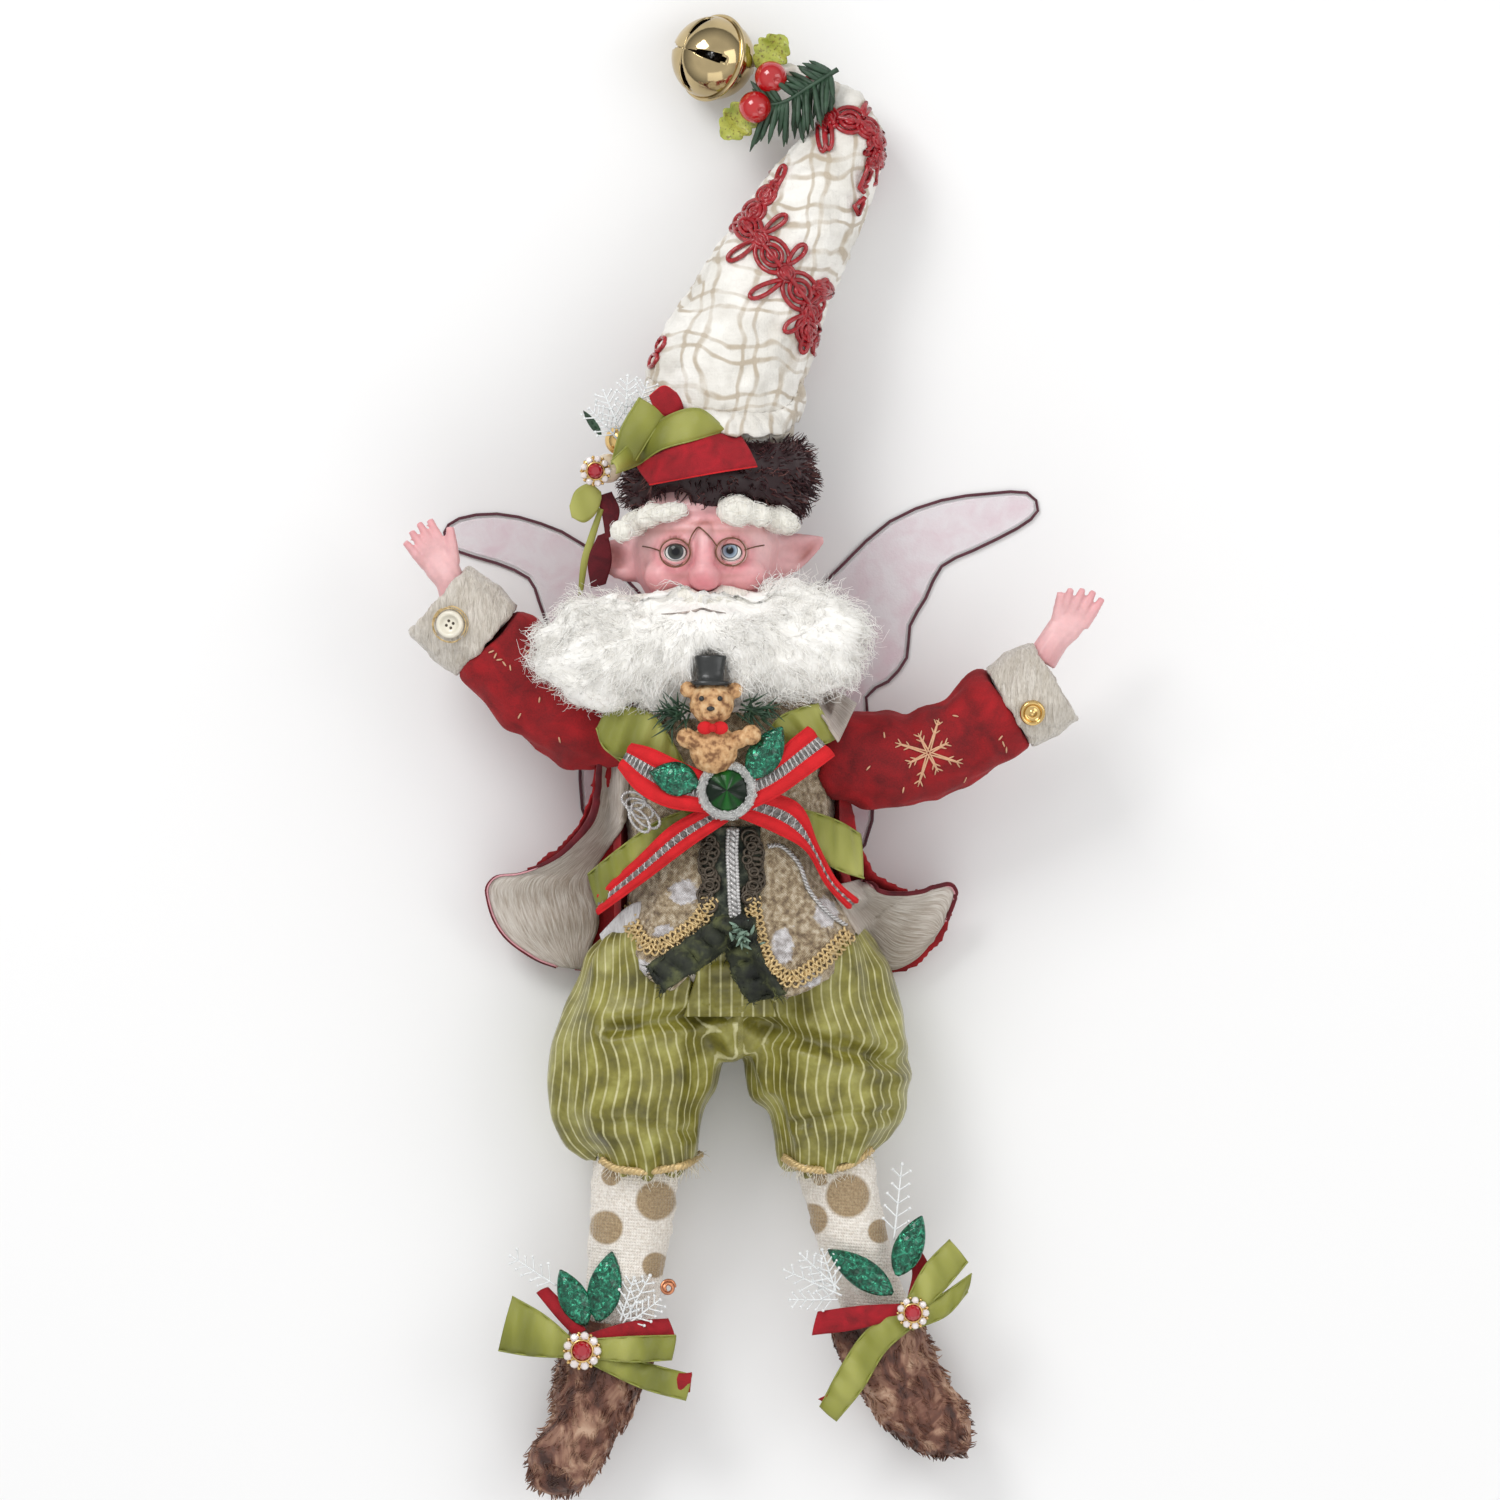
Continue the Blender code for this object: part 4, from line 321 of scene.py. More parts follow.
def strands(name, paths, radii, finish, node=None, slot=None, tint=None):
    """Many tapered three-sided hairs: paths is (hairs, points, 3) and radii (hairs, points)."""
    count, steps = paths.shape[:2]
    t = unit(np.gradient(paths, axis=1))
    side = unit(np.cross(t, np.array((.31, .53, .79))))
    up = np.cross(side, t)
    rings = []
    for k in range(3):
        a = k * 2 * math.pi / 3
        rings.append(paths + (math.cos(a) * side + math.sin(a) * up) * radii[..., None])
    verts = np.stack(rings, 2).reshape(-1, 3)
    base = (np.arange(count) * steps * 3)[:, None, None]
    step = (np.arange(steps - 1) * 3)[None, :, None]
    k = np.arange(3)[None, None, :]
    a = base + step + k
    b = base + step + (k + 1) % 3
    quads = np.stack([a, a + 3, b + 3, b], -1).reshape(-1, 4)
    ends = np.concatenate([base[:, 0] + np.array((0, 1, 2)), base[:, 0] + (steps - 1) * 3 + np.array((2, 1, 0))])
    mesh = bpy.data.meshes.new(name)
    mesh.vertices.add(len(verts))
    mesh.vertices.foreach_set("co", verts.ravel())
    loops = np.concatenate([quads.ravel(), ends.ravel()])
    mesh.loops.add(len(loops))
    mesh.loops.foreach_set("vertex_index", loops.astype(np.int32))
    sizes = np.r_[np.full(len(quads), 4), np.full(len(ends), 3)]
    mesh.polygons.add(len(sizes))
    mesh.polygons.foreach_set("loop_start", np.r_[0, np.cumsum(sizes)[:-1]].astype(np.int32))
    mesh.polygons.foreach_set("use_smooth", [True] * len(sizes))
    mesh.update(calc_edges=True)
    mesh.validate()
    thing = bpy.data.objects.new(name, mesh)
    bpy.context.scene.collection.objects.link(thing)
    mesh.materials.append(finish)
    if tint is not None:
        painted(thing, "tint", np.repeat(tint, steps * 3))
    return settled(thing, node)


def rooted(thing, count, rng, wanted=None):
    """Random points on an object's faces, with their normals; wanted(points, normals) keeps some."""
    mesh = thing.data
    mesh.calc_loop_triangles()
    tri = np.zeros(len(mesh.loop_triangles) * 3, np.int32)
    mesh.loop_triangles.foreach_get("vertices", tri)
    tri = tri.reshape(-1, 3)
    co = vertices_of(thing)
    a, b, c = co[tri[:, 0]], co[tri[:, 1]], co[tri[:, 2]]
    cross = np.cross(b - a, c - a)
    area = np.linalg.norm(cross, axis=1)
    points, normals = [], []
    found = 0
    while found < count:
        pick = rng.choice(len(tri), count * 2, p=area / area.sum())
        u, v = rng.random(len(pick)), rng.random(len(pick))
        over = u + v > 1
        u[over], v[over] = 1 - u[over], 1 - v[over]
        p = a[pick] + (b - a)[pick] * u[:, None] + (c - a)[pick] * v[:, None]
        n = unit(cross[pick])
        keep = np.ones(len(p), bool) if wanted is None else wanted(p, n)
        points.append(p[keep])
        normals.append(n[keep])
        found += int(keep.sum())
    return np.vstack(points)[:count], np.vstack(normals)[:count]


def combed(points, directions, lengths, steps, rng, wave=.15, bend=None, sink=.0005):
    """Wavy hairs from points: each leaves along its direction and bends towards bend."""
    s = np.linspace(0, 1, steps)[None, :, None]
    length = np.asarray(lengths)[:, None, None]
    d = unit(directions)[:, None, :]
    paths = points[:, None, :] - d * sink + d * length * s
    if bend is not None:
        paths = paths + np.asarray(bend)[:, None, :] * length * s ** 2
    a = unit(np.cross(d, rng.normal(size=(len(points), 1, 3))))
    b = np.cross(d, a)
    phase = rng.random((len(points), 1, 1)) * 6.28
    turn = 4 + 5 * rng.random((len(points), 1, 1))
    curl = a * np.sin(turn * s + phase) + b * np.cos(turn * s + phase)
    start = a * np.sin(phase) + b * np.cos(phase)
    return paths + (curl - start) * length * wave * s


# Materials

class Shade:
    """A procedural material. Its methods add nodes and return their output sockets."""

    def __init__(self, name, colour, rough=.6, **sockets):
        self.material = bpy.data.materials.new(name)
        self.material.use_nodes = True
        self.tree = self.material.node_tree
        self.surface = self.tree.nodes["Principled BSDF"]
        self.surface.inputs["Base Color"].default_value = (*colour, 1)
        self.surface.inputs["Roughness"].default_value = rough
        for key, value in sockets.items():
            socket = self.surface.inputs[key.replace("_", " ")]
            socket.default_value = (*value, 1) if isinstance(value, tuple) else value
        self.place = self.tree.nodes.new("ShaderNodeTexCoord").outputs["Object"]

    def add(self, kind, inputs=(), **properties):
        """A node with its properties set and its inputs linked or set."""
        made_node = self.tree.nodes.new("ShaderNode" + kind)
        for key, value in properties.items():
            setattr(made_node, key, value)
        for key, value in dict(inputs).items():
            if isinstance(value, bpy.types.NodeSocket):
                self.tree.links.new(value, made_node.inputs[key])
            else:
                made_node.inputs[key].default_value = value
        return made_node

    def at(self, scale=(1, 1, 1), turn=(0, 0, 0)):
        """Coordinates scaled and turned."""
        return self.add("Mapping", {"Vector": self.place, "Scale": scale, "Rotation": turn}).outputs[0]

    def noise(self, scale, detail=3.0, stretch=(1, 1, 1), turn=(0, 0, 0), twist=0.0, rough=.55):
        """Noise with scale blobs to a metre."""
        where = self.at(stretch, turn)
        return self.add("TexNoise", {"Vector": where, "Scale": scale, "Detail": detail, "Roughness": rough,
                                     "Distortion": twist}).outputs["Fac"]

    def cells(self, scale, stretch=(1, 1, 1), feature="F1", output="Distance", turn=(0, 0, 0)):
        """Voronoi cells with scale cells to a metre."""
        return self.add("TexVoronoi", {"Vector": self.at(stretch, turn), "Scale": scale},
                        feature=feature).outputs[output]

    def bands(self, scale, direction="X", turn=(0, 0, 0), twist=0.0, profile="SIN"):
        """Parallel bands with scale bands to a metre."""
        return self.add("TexWave", {"Vector": self.at((1, 1, 1), turn), "Scale": scale / 3.1831, "Distortion": twist,
                                    "Detail": 2.0, "Detail Scale": 1.5}, bands_direction=direction,
                        wave_profile=profile).outputs["Fac"]

    def attribute(self, name):
        """A number stored on the mesh."""
        return self.add("Attribute", attribute_name=name).outputs["Fac"]

    def ramp(self, factor, *stops):
        """A colour from (position, colour) stops; a number stands for a grey."""
        made_node = self.add("ValToRGB", {"Fac": factor})
        elements = made_node.color_ramp.elements
        while len(elements) < len(stops):
            elements.new(1.0)
        for element, (position, colour) in zip(elements, stops):
            element.position = position
            element.color = (*colour, 1) if isinstance(colour, tuple) else (colour, colour, colour, 1)
        return made_node.outputs["Color"]

    def mix(self, factor, a, b, blend="MIX"):
        """Two colours mixed."""
        made_node = self.add("Mix", data_type="RGBA", blend_type=blend)
        for socket, value in zip((made_node.inputs[0], made_node.inputs[6], made_node.inputs[7]), (factor, a, b)):
            if isinstance(value, bpy.types.NodeSocket):
                self.tree.links.new(value, socket)
            elif isinstance(value, tuple):
                socket.default_value = (*value, 1)
            else:
                socket.default_value = value
        return made_node.outputs[2]

    def sum(self, a, b, operation="ADD"):
        """Arithmetic on two numbers."""
        made_node = self.add("Math", {0: a, 1: b}, operation=operation)
        return made_node.outputs[0]

    def colour(self, socket):
        """Sets the base colour."""
        self.tree.links.new(socket, self.surface.inputs["Base Color"])
        return self

    def shine(self, socket):
        """Sets the roughness."""
        self.tree.links.new(socket, self.surface.inputs["Roughness"])
        return self

    def bump(self, height, strength=.4, distance=.0003):
        """Adds relief; a second call lies on top of the first."""
        normal = self.surface.inputs["Normal"]
        inputs = {"Height": height, "Strength": strength, "Distance": distance}
        if normal.is_linked:
            inputs["Normal"] = normal.links[0].from_socket
        self.tree.links.new(self.add("Bump", inputs).outputs[0], normal)
        return self


def velvet(name, colour, dark, sheen=(.9, .25, .25), weight=.6, scale=1.0):
    """Crushed velvet: nap that lies in patches, with a soft sheen."""
    m = Shade(name, colour, .85, Sheen_Weight=weight, Sheen_Roughness=.35, Sheen_Tint=sheen)
    patches = m.noise(120 * scale, 4, twist=.6)
    fine = m.noise(2600 * scale, 2)
    nap = m.sum(m.sum(patches, .75, "MULTIPLY"), m.sum(fine, .25, "MULTIPLY"))
    m.colour(m.ramp(nap, (.32, dark), (.68, colour)))
    m.bump(fine, .5, .0002)
    m.bump(patches, .35, .0006)
    return m.material


def satin(name, colour, dark, pale, turn=0.0, rough=.34, weave=5200):
    """Woven ribbon: fine cross weave with a soft shine."""
    m = Shade(name, colour, rough, Sheen_Weight=.15, Anisotropic=.4)
    weft = m.bands(weave, "X", (0, 0, turn), .4)
    warp = m.bands(weave, "Y", (0, 0, turn), .4)
    tone = m.noise(70, 2, (1.0, .35, 1.0), (0, 0, turn))
    m.colour(m.ramp(tone, (.3, dark), (.5, colour), (.72, pale)))
    m.bump(m.sum(weft, warp), .25, .00012)
    m.bump(m.noise(420, 3), .25, .0004)
    return m.material


def plain(name, colour, rough, grain=900, depth=.0002, strength=.3, vary=.82, **sockets):
    """A simple finish with a slight change of tone and a fine grain."""
    m = Shade(name, colour, rough, **sockets)
    tone = m.noise(grain * .3, 3)
    m.colour(m.ramp(tone, (.3, tuple(c * vary for c in colour)), (.7, colour)))
    m.bump(m.noise(grain, 3), strength, depth)
    return m.material


def fleece(name, shade, white, rough=.85):
    """White fibre whose strands differ a little in tone."""
    m = Shade(name, white, rough, Sheen_Weight=.25, Sheen_Roughness=.5)
    m.colour(m.ramp(m.attribute("tint"), (0.0, shade), (.55, white), (1.0, (.98, .97, .94))))
    return m.material


def skin():
    """Painted resin: pale pink, rosier where the mesh says so, with painted shade darkening its creases and hollows.
    """
    m = Shade("skin", (.80, .50, .46), .42, Subsurface_Weight=.08, Coat_Weight=.1, Coat_Roughness=.4)
    m.surface.inputs["Subsurface Radius"].default_value = (.003, .001, .0006)
    tone = m.mix(m.attribute("rosy"), (.86, .55, .55), (.70, .22, .25))
    # painted shade: creases and hollows mixed towards dark brown
    tone = m.mix(m.attribute("crease_shade"), tone, (.40, .12, .08))
    fine = m.ramp(m.noise(700, 3), (.3, .9), (.7, 1.0))
    m.colour(m.mix(1.0, tone, fine, "MULTIPLY"))
    m.bump(m.noise(2200, 3), .12, .0001)
    return m.material


def plaid():
    """Cream cotton, washed, with pairs of thin beige lines both ways."""
    m = Shade("plaid", (.88, .85, .80), .8, Sheen_Weight=.2)
    warp = m.noise(55, 2)
    lines = []
    for turn in (.12, .12 + math.pi / 2):
        where = m.at((1, 1, 1), (0, 0, turn))
        bend = m.add("VectorMath", {0: where, 1: m.add("CombineXYZ", {"X": m.sum(warp, .012, "MULTIPLY")}).outputs[0]},
                     operation="ADD").outputs[0]
        across = m.add("SeparateXYZ", {0: bend}).outputs[0]
        cycle = m.sum(m.sum(m.sum(across, .0122, "DIVIDE"), 40.0), 1.0, "MODULO")
        for middle in (.30, .62):
            off = m.sum(m.sum(cycle, middle, "SUBTRACT"), 0.0, "ABSOLUTE")
            lines.append(m.add("MapRange", {"Value": off, "From Min": .065, "From Max": .025}).outputs[0])
    sown = lines[0]
    for line in lines[1:]:
        sown = m.sum(sown, line)
    faded = m.sum(sown, m.ramp(m.noise(150, 2), (.36, .25), (.66, .85)), "MULTIPLY")
    faded = m.add("Clamp", {"Value": faded, "Max": .72}).outputs[0]
    cloth = m.ramp(m.noise(90, 4), (.3, (.66, .63, .57)), (.6, (.88, .86, .81)))
    m.colour(m.mix(faded, cloth, (.40, .31, .20)))
    m.bump(m.sum(m.bands(2600, "X"), m.bands(2600, "Y")), .25, .00015)
    m.bump(m.noise(500, 3, twist=.6), .6, .0006)
    return m.material


def striped():
    """Olive satin with pale woven stripes down each leg."""
    m = Shade("striped_satin", (.30, .28, .06), .28, Anisotropic=.3, Sheen_Weight=.05)
    cycle = m.sum(m.sum(m.attribute("round"), 0.0, "ABSOLUTE"), 1.0, "MODULO")
    off = m.sum(m.sum(cycle, .5, "SUBTRACT"), 0.0, "ABSOLUTE")
    line = m.add("MapRange", {"Value": off, "From Min": .13, "From Max": .05}).outputs[0]
    line = m.sum(line, m.ramp(m.noise(260, 3), (.3, .35), (.65, 1.0)), "MULTIPLY")
    cloth = m.ramp(m.noise(130, 4), (.3, (.085, .075, .008)), (.50, (.20, .18, .022)), (.72, (.38, .36, .09)))
    m.colour(m.mix(line, cloth, (.60, .57, .30)))
    m.bump(m.sum(m.bands(4200, "X"), m.bands(4200, "Y")), .2, .0001)
    m.bump(line, .35, .0002)
    m.bump(m.noise(300, 3), .3, .0005)
    return m.material


def silky(name, colour, dark, turn=0.0, rough=.45):
    """Crinkled silky cloth: long fine creases along one direction."""
    m = Shade(name, colour, rough, Sheen_Weight=.3, Sheen_Roughness=.4)
    streak = m.noise(240, 4, (4.0, .55, 1.0), (0, 0, turn), 1.2)
    fine = m.noise(900, 3, (3.0, .6, 1.0), (0, 0, turn), .8)
    m.colour(m.ramp(m.sum(m.sum(streak, .6, "MULTIPLY"), m.sum(fine, .4, "MULTIPLY")), (.33, dark), (.62, colour)))
    m.bump(streak, .8, .0009)
    m.bump(fine, .6, .0004)
    return m.material


def brocade():
    """Taupe burlap with pale silvery patches."""
    m = Shade("brocade", (.30, .21, .13), .62, Sheen_Weight=.3)
    patch = m.sum(m.attribute("patch"), m.sum(m.noise(420, 3, twist=.8), .9, "MULTIPLY"))
    patch = m.ramp(patch, (.80, 0.0), (.95, 1.0))
    burlap = m.ramp(m.noise(620, 5), (.34, (.14, .09, .045)), (.5, (.36, .27, .16)), (.68, (.64, .55, .41)))
    silver = m.ramp(m.noise(500, 3), (.36, (.34, .31, .30)), (.64, (.74, .72, .73)))
    m.colour(m.mix(patch, burlap, silver))
    m.bump(m.sum(m.bands(2300, "X", (0, 0, .7), 1.0), m.bands(2300, "Y", (0, 0, .7), 1.0)), .5, .0003)
    m.bump(m.noise(420, 4), .7, .0007)
    return m.material


def knit():
    """Cream stocking knit with tan dots where the mesh says so."""
    m = Shade("stocking", (.84, .78, .70), .8, Sheen_Weight=.3)
    dot = m.ramp(m.attribute("dot"), (.46, 0.0), (.54, 1.0))
    gold = m.ramp(m.noise(1500, 3), (.3, (.28, .19, .10)), (.7, (.46, .34, .20)))
    wool = m.ramp(m.noise(1200, 3), (.3, (.68, .61, .53)), (.65, (.88, .83, .76)))
    m.colour(m.mix(dot, wool, gold))
    rib = m.sum(m.bands(1500, "X", (0, 0, .08), .8), m.bands(1250, "Y", (0, 0, .08), .8), "MULTIPLY")
    m.bump(rib, .7, .0003)
    return m.material


def foil():
    """Emerald foil, crumpled."""
    m = Shade("foil_leaf", (.004, .22, .12), .2, Metallic=.65, Coat_Weight=.6, Coat_Roughness=.1)
    crumple = m.cells(620, feature="DISTANCE_TO_EDGE")
    m.colour(m.ramp(m.noise(700, 3, twist=1.0), (.34, (.001, .04, .02)), (.52, (.003, .13, .07)),
                    (.7, (.04, .36, .21))))
    m.bump(crumple, .8, .0006)
    m.bump(m.noise(1100, 3), .5, .0003)
    return m.material


def film():
    """Thin pinkish film with a pearly, finely wrinkled surface."""
    m = Shade("wing_film", (.92, .84, .87), .35, Alpha=.5, Coat_Weight=.4, Coat_Roughness=.2)
    m.colour(m.ramp(m.noise(160, 4, twist=.6), (.32, (.90, .74, .80)), (.6, (.95, .90, .93))))
    m.bump(m.noise(900, 4), .5, .0003)
    m.bump(m.cells(1800), .3, .0002)
    return m.material


def iris(name, ring, core):
    """Glass eye: pupil, iris and white by the distance stored on the mesh."""
    m = Shade(name, (.9, .9, .88), .15, Specular_IOR_Level=.2, Coat_Weight=.25, Coat_Roughness=.02)
    m.colour(m.ramp(m.attribute("out"), (0.0, (.004, .004, .006)), (.20, (.004, .004, .006)), (.25, core),
                    (.40, ring), (.46, (.05, .06, .08)), (.52, (.80, .80, .77)), (.9, (.78, .66, .62))))
    return m.material


def leafy():
    """Yellow-green holly with darker speckles."""
    m = Shade("holly", (.36, .40, .05), .5, Coat_Weight=.15)
    speck = m.ramp(m.noise(1300, 2), (.55, 0.0), (.66, 1.0))
    tone = m.ramp(m.noise(260, 3), (.3, (.24, .30, .03)), (.7, (.50, .52, .09)))
    m.colour(m.mix(speck, tone, (.20, .17, .03)))
    m.bump(m.noise(900, 3), .6, .0004)
    return m.material


def plush():
    """Crushed brown plush with tan streaks; the hairs take it too."""
    m = Shade("plush", (.13, .045, .025), .55, Sheen_Weight=.5, Sheen_Roughness=.35, Sheen_Tint=(.8, .55, .4))
    patch = m.noise(150, 4, (1.0, .7, 1.0), (0, 0, .6), 1.0)
    m.colour(m.ramp(patch, (.36, (.045, .014, .009)), (.50, (.15, .055, .032)), (.62, (.36, .20, .13)),
                    (.74, (.58, .40, .28))))
    m.bump(m.noise(900, 3), .6, .0005)
    return m.material


def fur():
    """Nearly black plum pile; hairs picked at random are painted lighter and warmer, as painted highlights."""
    m = Shade("fur", (.030, .005, .008), .5, Sheen_Weight=.35, Sheen_Roughness=.3, Sheen_Tint=(.6, .3, .3))
    # painted highlights: the hairs with the highest random tint turn lighter and warmer
    m.colour(m.ramp(m.attribute("tint"), (0.0, (.010, .002, .003)), (.7, (.045, .007, .011)),
                    (1.0, (.16, .06, .05))))
    return m.material


def patchy(name, dark, colour, pale, scale):
    """Short plush, almost black in places and olive in others."""
    m = Shade(name, colour, .75)
    m.colour(m.ramp(m.noise(scale, 4), (.36, dark), (.50, colour), (.66, pale)))
    m.bump(m.noise(2200, 2), .3, .00015)
    return m.material


def facets(name, dark, bright):
    """Cut glass coloured from dark to bright round the stone: a painted reflection in its wedges."""
    m = Shade(name, bright, .3, Specular_IOR_Level=.2, Coat_Weight=.12, Coat_Roughness=.04)
    m.colour(m.ramp(m.attribute("facet_glint"), (.25, dark), (.95, bright)))
    return m.material


def fibrous(name, pale, dark, fine=1500, stretch=.10, far_shade=0.0, rough=.8, depth=.0005):
    """Fibres combed along the mesh's own direction, with painted shade that darkens them towards the far side, as
    strongly as asked.
    """
    m = Shade(name, pale, rough, Sheen_Weight=.3, Sheen_Roughness=.4)
    along = m.sum(m.attribute("along"), stretch, "MULTIPLY")
    where = m.add("CombineXYZ", {"X": m.attribute("across"), "Y": along}).outputs[0]
    streak = m.add("TexNoise", {"Vector": where, "Scale": fine, "Detail": 4.0, "Roughness": .6}).outputs["Fac"]
    # painted shade: the share across the sheet darkens the fibres towards its far side
    tone = m.sum(streak, m.sum(m.attribute("share"), far_shade, "MULTIPLY"), "SUBTRACT")
    m.colour(m.ramp(tone, (.30, dark), (.58, pale)))
    m.bump(streak, .8, depth)
    return m.material


FINISH = {
    "fleece": fleece("fleece", (.90, .88, .83), (.97, .955, .92)),
    "cream_fleece": fleece("cream_fleece", (.86, .83, .74), (.95, .93, .86)),
    "fleece_core": fibrous("fleece_core", (.98, .965, .93), (.88, .86, .81), 900, .3, depth=.0003),
    "roving": silky("roving", (.93, .91, .84), (.78, .75, .66), 0.0, .7),
    # the lining and the collar take painted shade towards their far edge, which is the lining's inner edge
    "silk_lining": fibrous("silk_lining", (.66, .61, .55), (.38, .31, .25), 2600, .06, .14, .45),
    "silver_cloth": silky("silver_cloth", (.80, .79, .80), (.48, .46, .46), .5, .35),
    "pink_thread": plain("pink_thread", (.72, .34, .38), .5, 2600, .0001, .3, .8),
    "spectacle": plain("spectacle", (.20, .10, .055), .32, 2600, .0001, .2, .7, Metallic=.6),
    "green_pile": patchy("green_pile", (.010, .013, .008), (.035, .042, .020), (.16, .17, .06), 190),
    "flap_plush": patchy("flap_plush", (.008, .010, .007), (.025, .030, .015), (.10, .11, .04), 190),
    "mint": plain("mint", (.30, .44, .34), .5, 2200, .0003, .5, .5, Metallic=.2),
    "copper": plain("copper", (.72, .30, .16), .25, 2200, .0001, .2, .7, Metallic=.9),
    "fur": fur(),
    "skin": skin(),
    "plaid": plaid(),
    "striped": striped(),
    "red_velvet": velvet("red_velvet", (.40, .003, .008), (.12, .001, .003), weight=.10),
    "ribbon_velvet": velvet("ribbon_velvet", (.42, .004, .014), (.18, .002, .006), weight=.2, scale=1.6),
    "bright_velvet": velvet("bright_velvet", (.72, .008, .014), (.50, .004, .007), weight=.1, scale=1.6),
    "olive_satin": satin("olive_satin", (.23, .24, .025), (.11, .12, .010), (.44, .44, .11), .5),
    "cuff_cloth": silky("cuff_cloth", (.70, .65, .58), (.40, .35, .28), -.7),
    "brocade": brocade(),
    "knit": knit(),
    "plush": plush(),
    "foil": foil(),
    "film": film(),
    "holly": leafy(),
    "gimp": plain("gimp", (.42, .006, .014), .26, 2600, .0001, .3, .5, Coat_Weight=.4),
    # dark brown for the inside of the bell: painted shade
    "bell_inside_shade": plain("bell_inside_shade", (.10, .06, .03), .5, 500, .0001, .2, .7, Metallic=.4),
    "gold_thread": plain("gold_thread", (.76, .56, .27), .36, 3000, .0001, .3, .6, Metallic=.3),
    "pale_thread": plain("pale_thread", (.80, .74, .62), .6, 3000, .0001, .3, .8),
    "silver_thread": plain("silver_thread", (.66, .65, .64), .32, 3000, .0001, .3, .6, Metallic=.5),
    # dark thread for the braid rings, and painted shade in the button's holes
    "dark_thread_and_hole_shade": plain("dark_thread_and_hole_shade", (.11, .085, .06), .4, 3000, .0001, .3, .4, Metallic=.4),
    "brass": plain("brass", (.64, .50, .27), .10, 240, .0002, .15, .6, Metallic=1.0),
    "star_thread": plain("star_thread", (.70, .40, .24), .6, 3000, .0001, .3, .8),
    "gold": plain("gold", (.80, .55, .22), .16, 500, .0001, .15, .8, Metallic=1.0),
    "pearl": plain("pearl", (.80, .66, .48), .2, 500, .0001, .15, .8, Coat_Weight=.8),
    "steel": plain("steel", (.5, .5, .5), .3, 500, .0001, .2, .8, Metallic=1.0),
    "berry": plain("berry", (.50, .003, .006), .12, 500, .0001, .1, .75, Coat_Weight=.9, Coat_Roughness=.05),
    "pine": plain("pine", (.035, .085, .045), .5, 1500, .0002, .4, .5),
    "frost": plain("frost", (.86, .88, .88), .35, 2200, .0003, .6, .85, Coat_Weight=.3),
    "ivory": plain("ivory", (.84, .79, .66), .3, 700, .0001, .2, .85, Coat_Weight=.4),
    "olive_edge": plain("olive_edge", (.30, .32, .06), .4, 2600, .0001, .3, .7),
    "wine_velvet": velvet("wine_velvet", (.16, .006, .014), (.05, .002, .006), weight=.5, scale=1.6),
    "net": plain("net", (.42, .40, .38), .35, 2400, .0009, 1.0, .25, Metallic=.35),
    "clear_stone": plain("clear_stone", (.86, .78, .76), .06, 500, .00005, .05, .8, Coat_Weight=1.0),
    "red_stone": plain("red_stone", (.52, .004, .02), .05, 500, .00005, .05, .6, Coat_Weight=1.0),
    "green_stone": facets("green_stone", (.0003, .008, .0015), (.004, .10, .008)),
    # grey-brown line under the moustache: painted shadow
    "mouth_shade": plain("mouth_shade", (.56, .47, .42), .8, 1500, .0001, .2, .2),
    "lash": plain("lash", (.10, .045, .03), .5, 1500, .0001, .2, .2),
    "glitter": plain("glitter", (.80, .80, .78), .24, 3600, .0006, 1.0, .7, Metallic=.75),
    "dark_green": patchy("dark_green", (.010, .012, .009), (.035, .045, .030), (.14, .15, .10), 420),
    "bear": patchy("bear", (.22, .10, .04), (.58, .33, .15), (.74, .50, .27), 520),
    "black_felt": plain("black_felt", (.018, .02, .02), .4, 900, .0003, .5, .5, Coat_Weight=.3),
    "wire": plain("wire", (.17, .055, .075), .35, 900, .0001, .2, .7, Metallic=.3),
    "iris_right": iris("iris_right", (.06, .065, .06), (.02, .02, .018)),
    "iris_left": iris("iris_left", (.34, .42, .50), (.12, .16, .22)),
}


# Fleece, fur and hair

def gathered(paths, tufts, pull, rng):
    """Draws hairs together towards some of their number, so that they lie in locks."""
    lead = rng.choice(len(paths), tufts, replace=False)
    near = ((paths[:, None, 0] - paths[None, lead, 0]) ** 2).sum(-1).argmin(1)
    s = np.linspace(0, 1, paths.shape[1])[None, :, None]
    return paths + (paths[lead][near] - paths) * s ** 1.5 * pull


def shrunk(name, node, voxel, finish, keep, lumps=0.0):
    """A softened copy of a node, drawn in to leave room for the hairs round it."""
    core = remeshed(name, node, voxel, finish, 10)
    centre = np.array(sum(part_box(node), Vector()) / 2)

    def change(points, normals):
        bumps = fractal(points, 120, 2)[:, None] * lumps
        return centre + (points - centre) * np.array(keep) + normals * bumps
    return moved(core, change)


def moustache():
    """Two smooth sweeps of cream fleece from under the nose."""
    rng = np.random.default_rng(2)
    core = shrunk("moustache_core", "moustache", .0008, FINISH["roving"], (.97, .9, .93), .0004)
    parting = spot(703, 600)[0]
    count = 500
    points, normals = rooted(core, count, rng, lambda p, n: (n[:, 2] > -.2) & (p[:, 1] < spot(703, 596)[1]))
    side = np.sign(points[:, 0] - parting)
    out = np.stack([side, -.22 + 0 * side, 0 * side], 1)
    lean = unit(out + normals * .25 + rng.normal(size=out.shape) * .10)
    paths = combed(points, lean, .0070 * (.6 + .5 * rng.random(count)), 5, rng, .05,
                   np.stack([0 * side, -.18 + 0 * side, -.14 + 0 * side], 1), .0006)
    paths = gathered(paths, 120, .5, rng)
    paths = held_in(paths, tree_of(core), .0005)
    radii = np.linspace(.00011, .00004, 5)[None, :] * (.7 + .6 * rng.random((count, 1)))
    strands("moustache_hair", paths, radii, FINISH["cream_fleece"], "moustache", "white_fleece", rng.random(count))


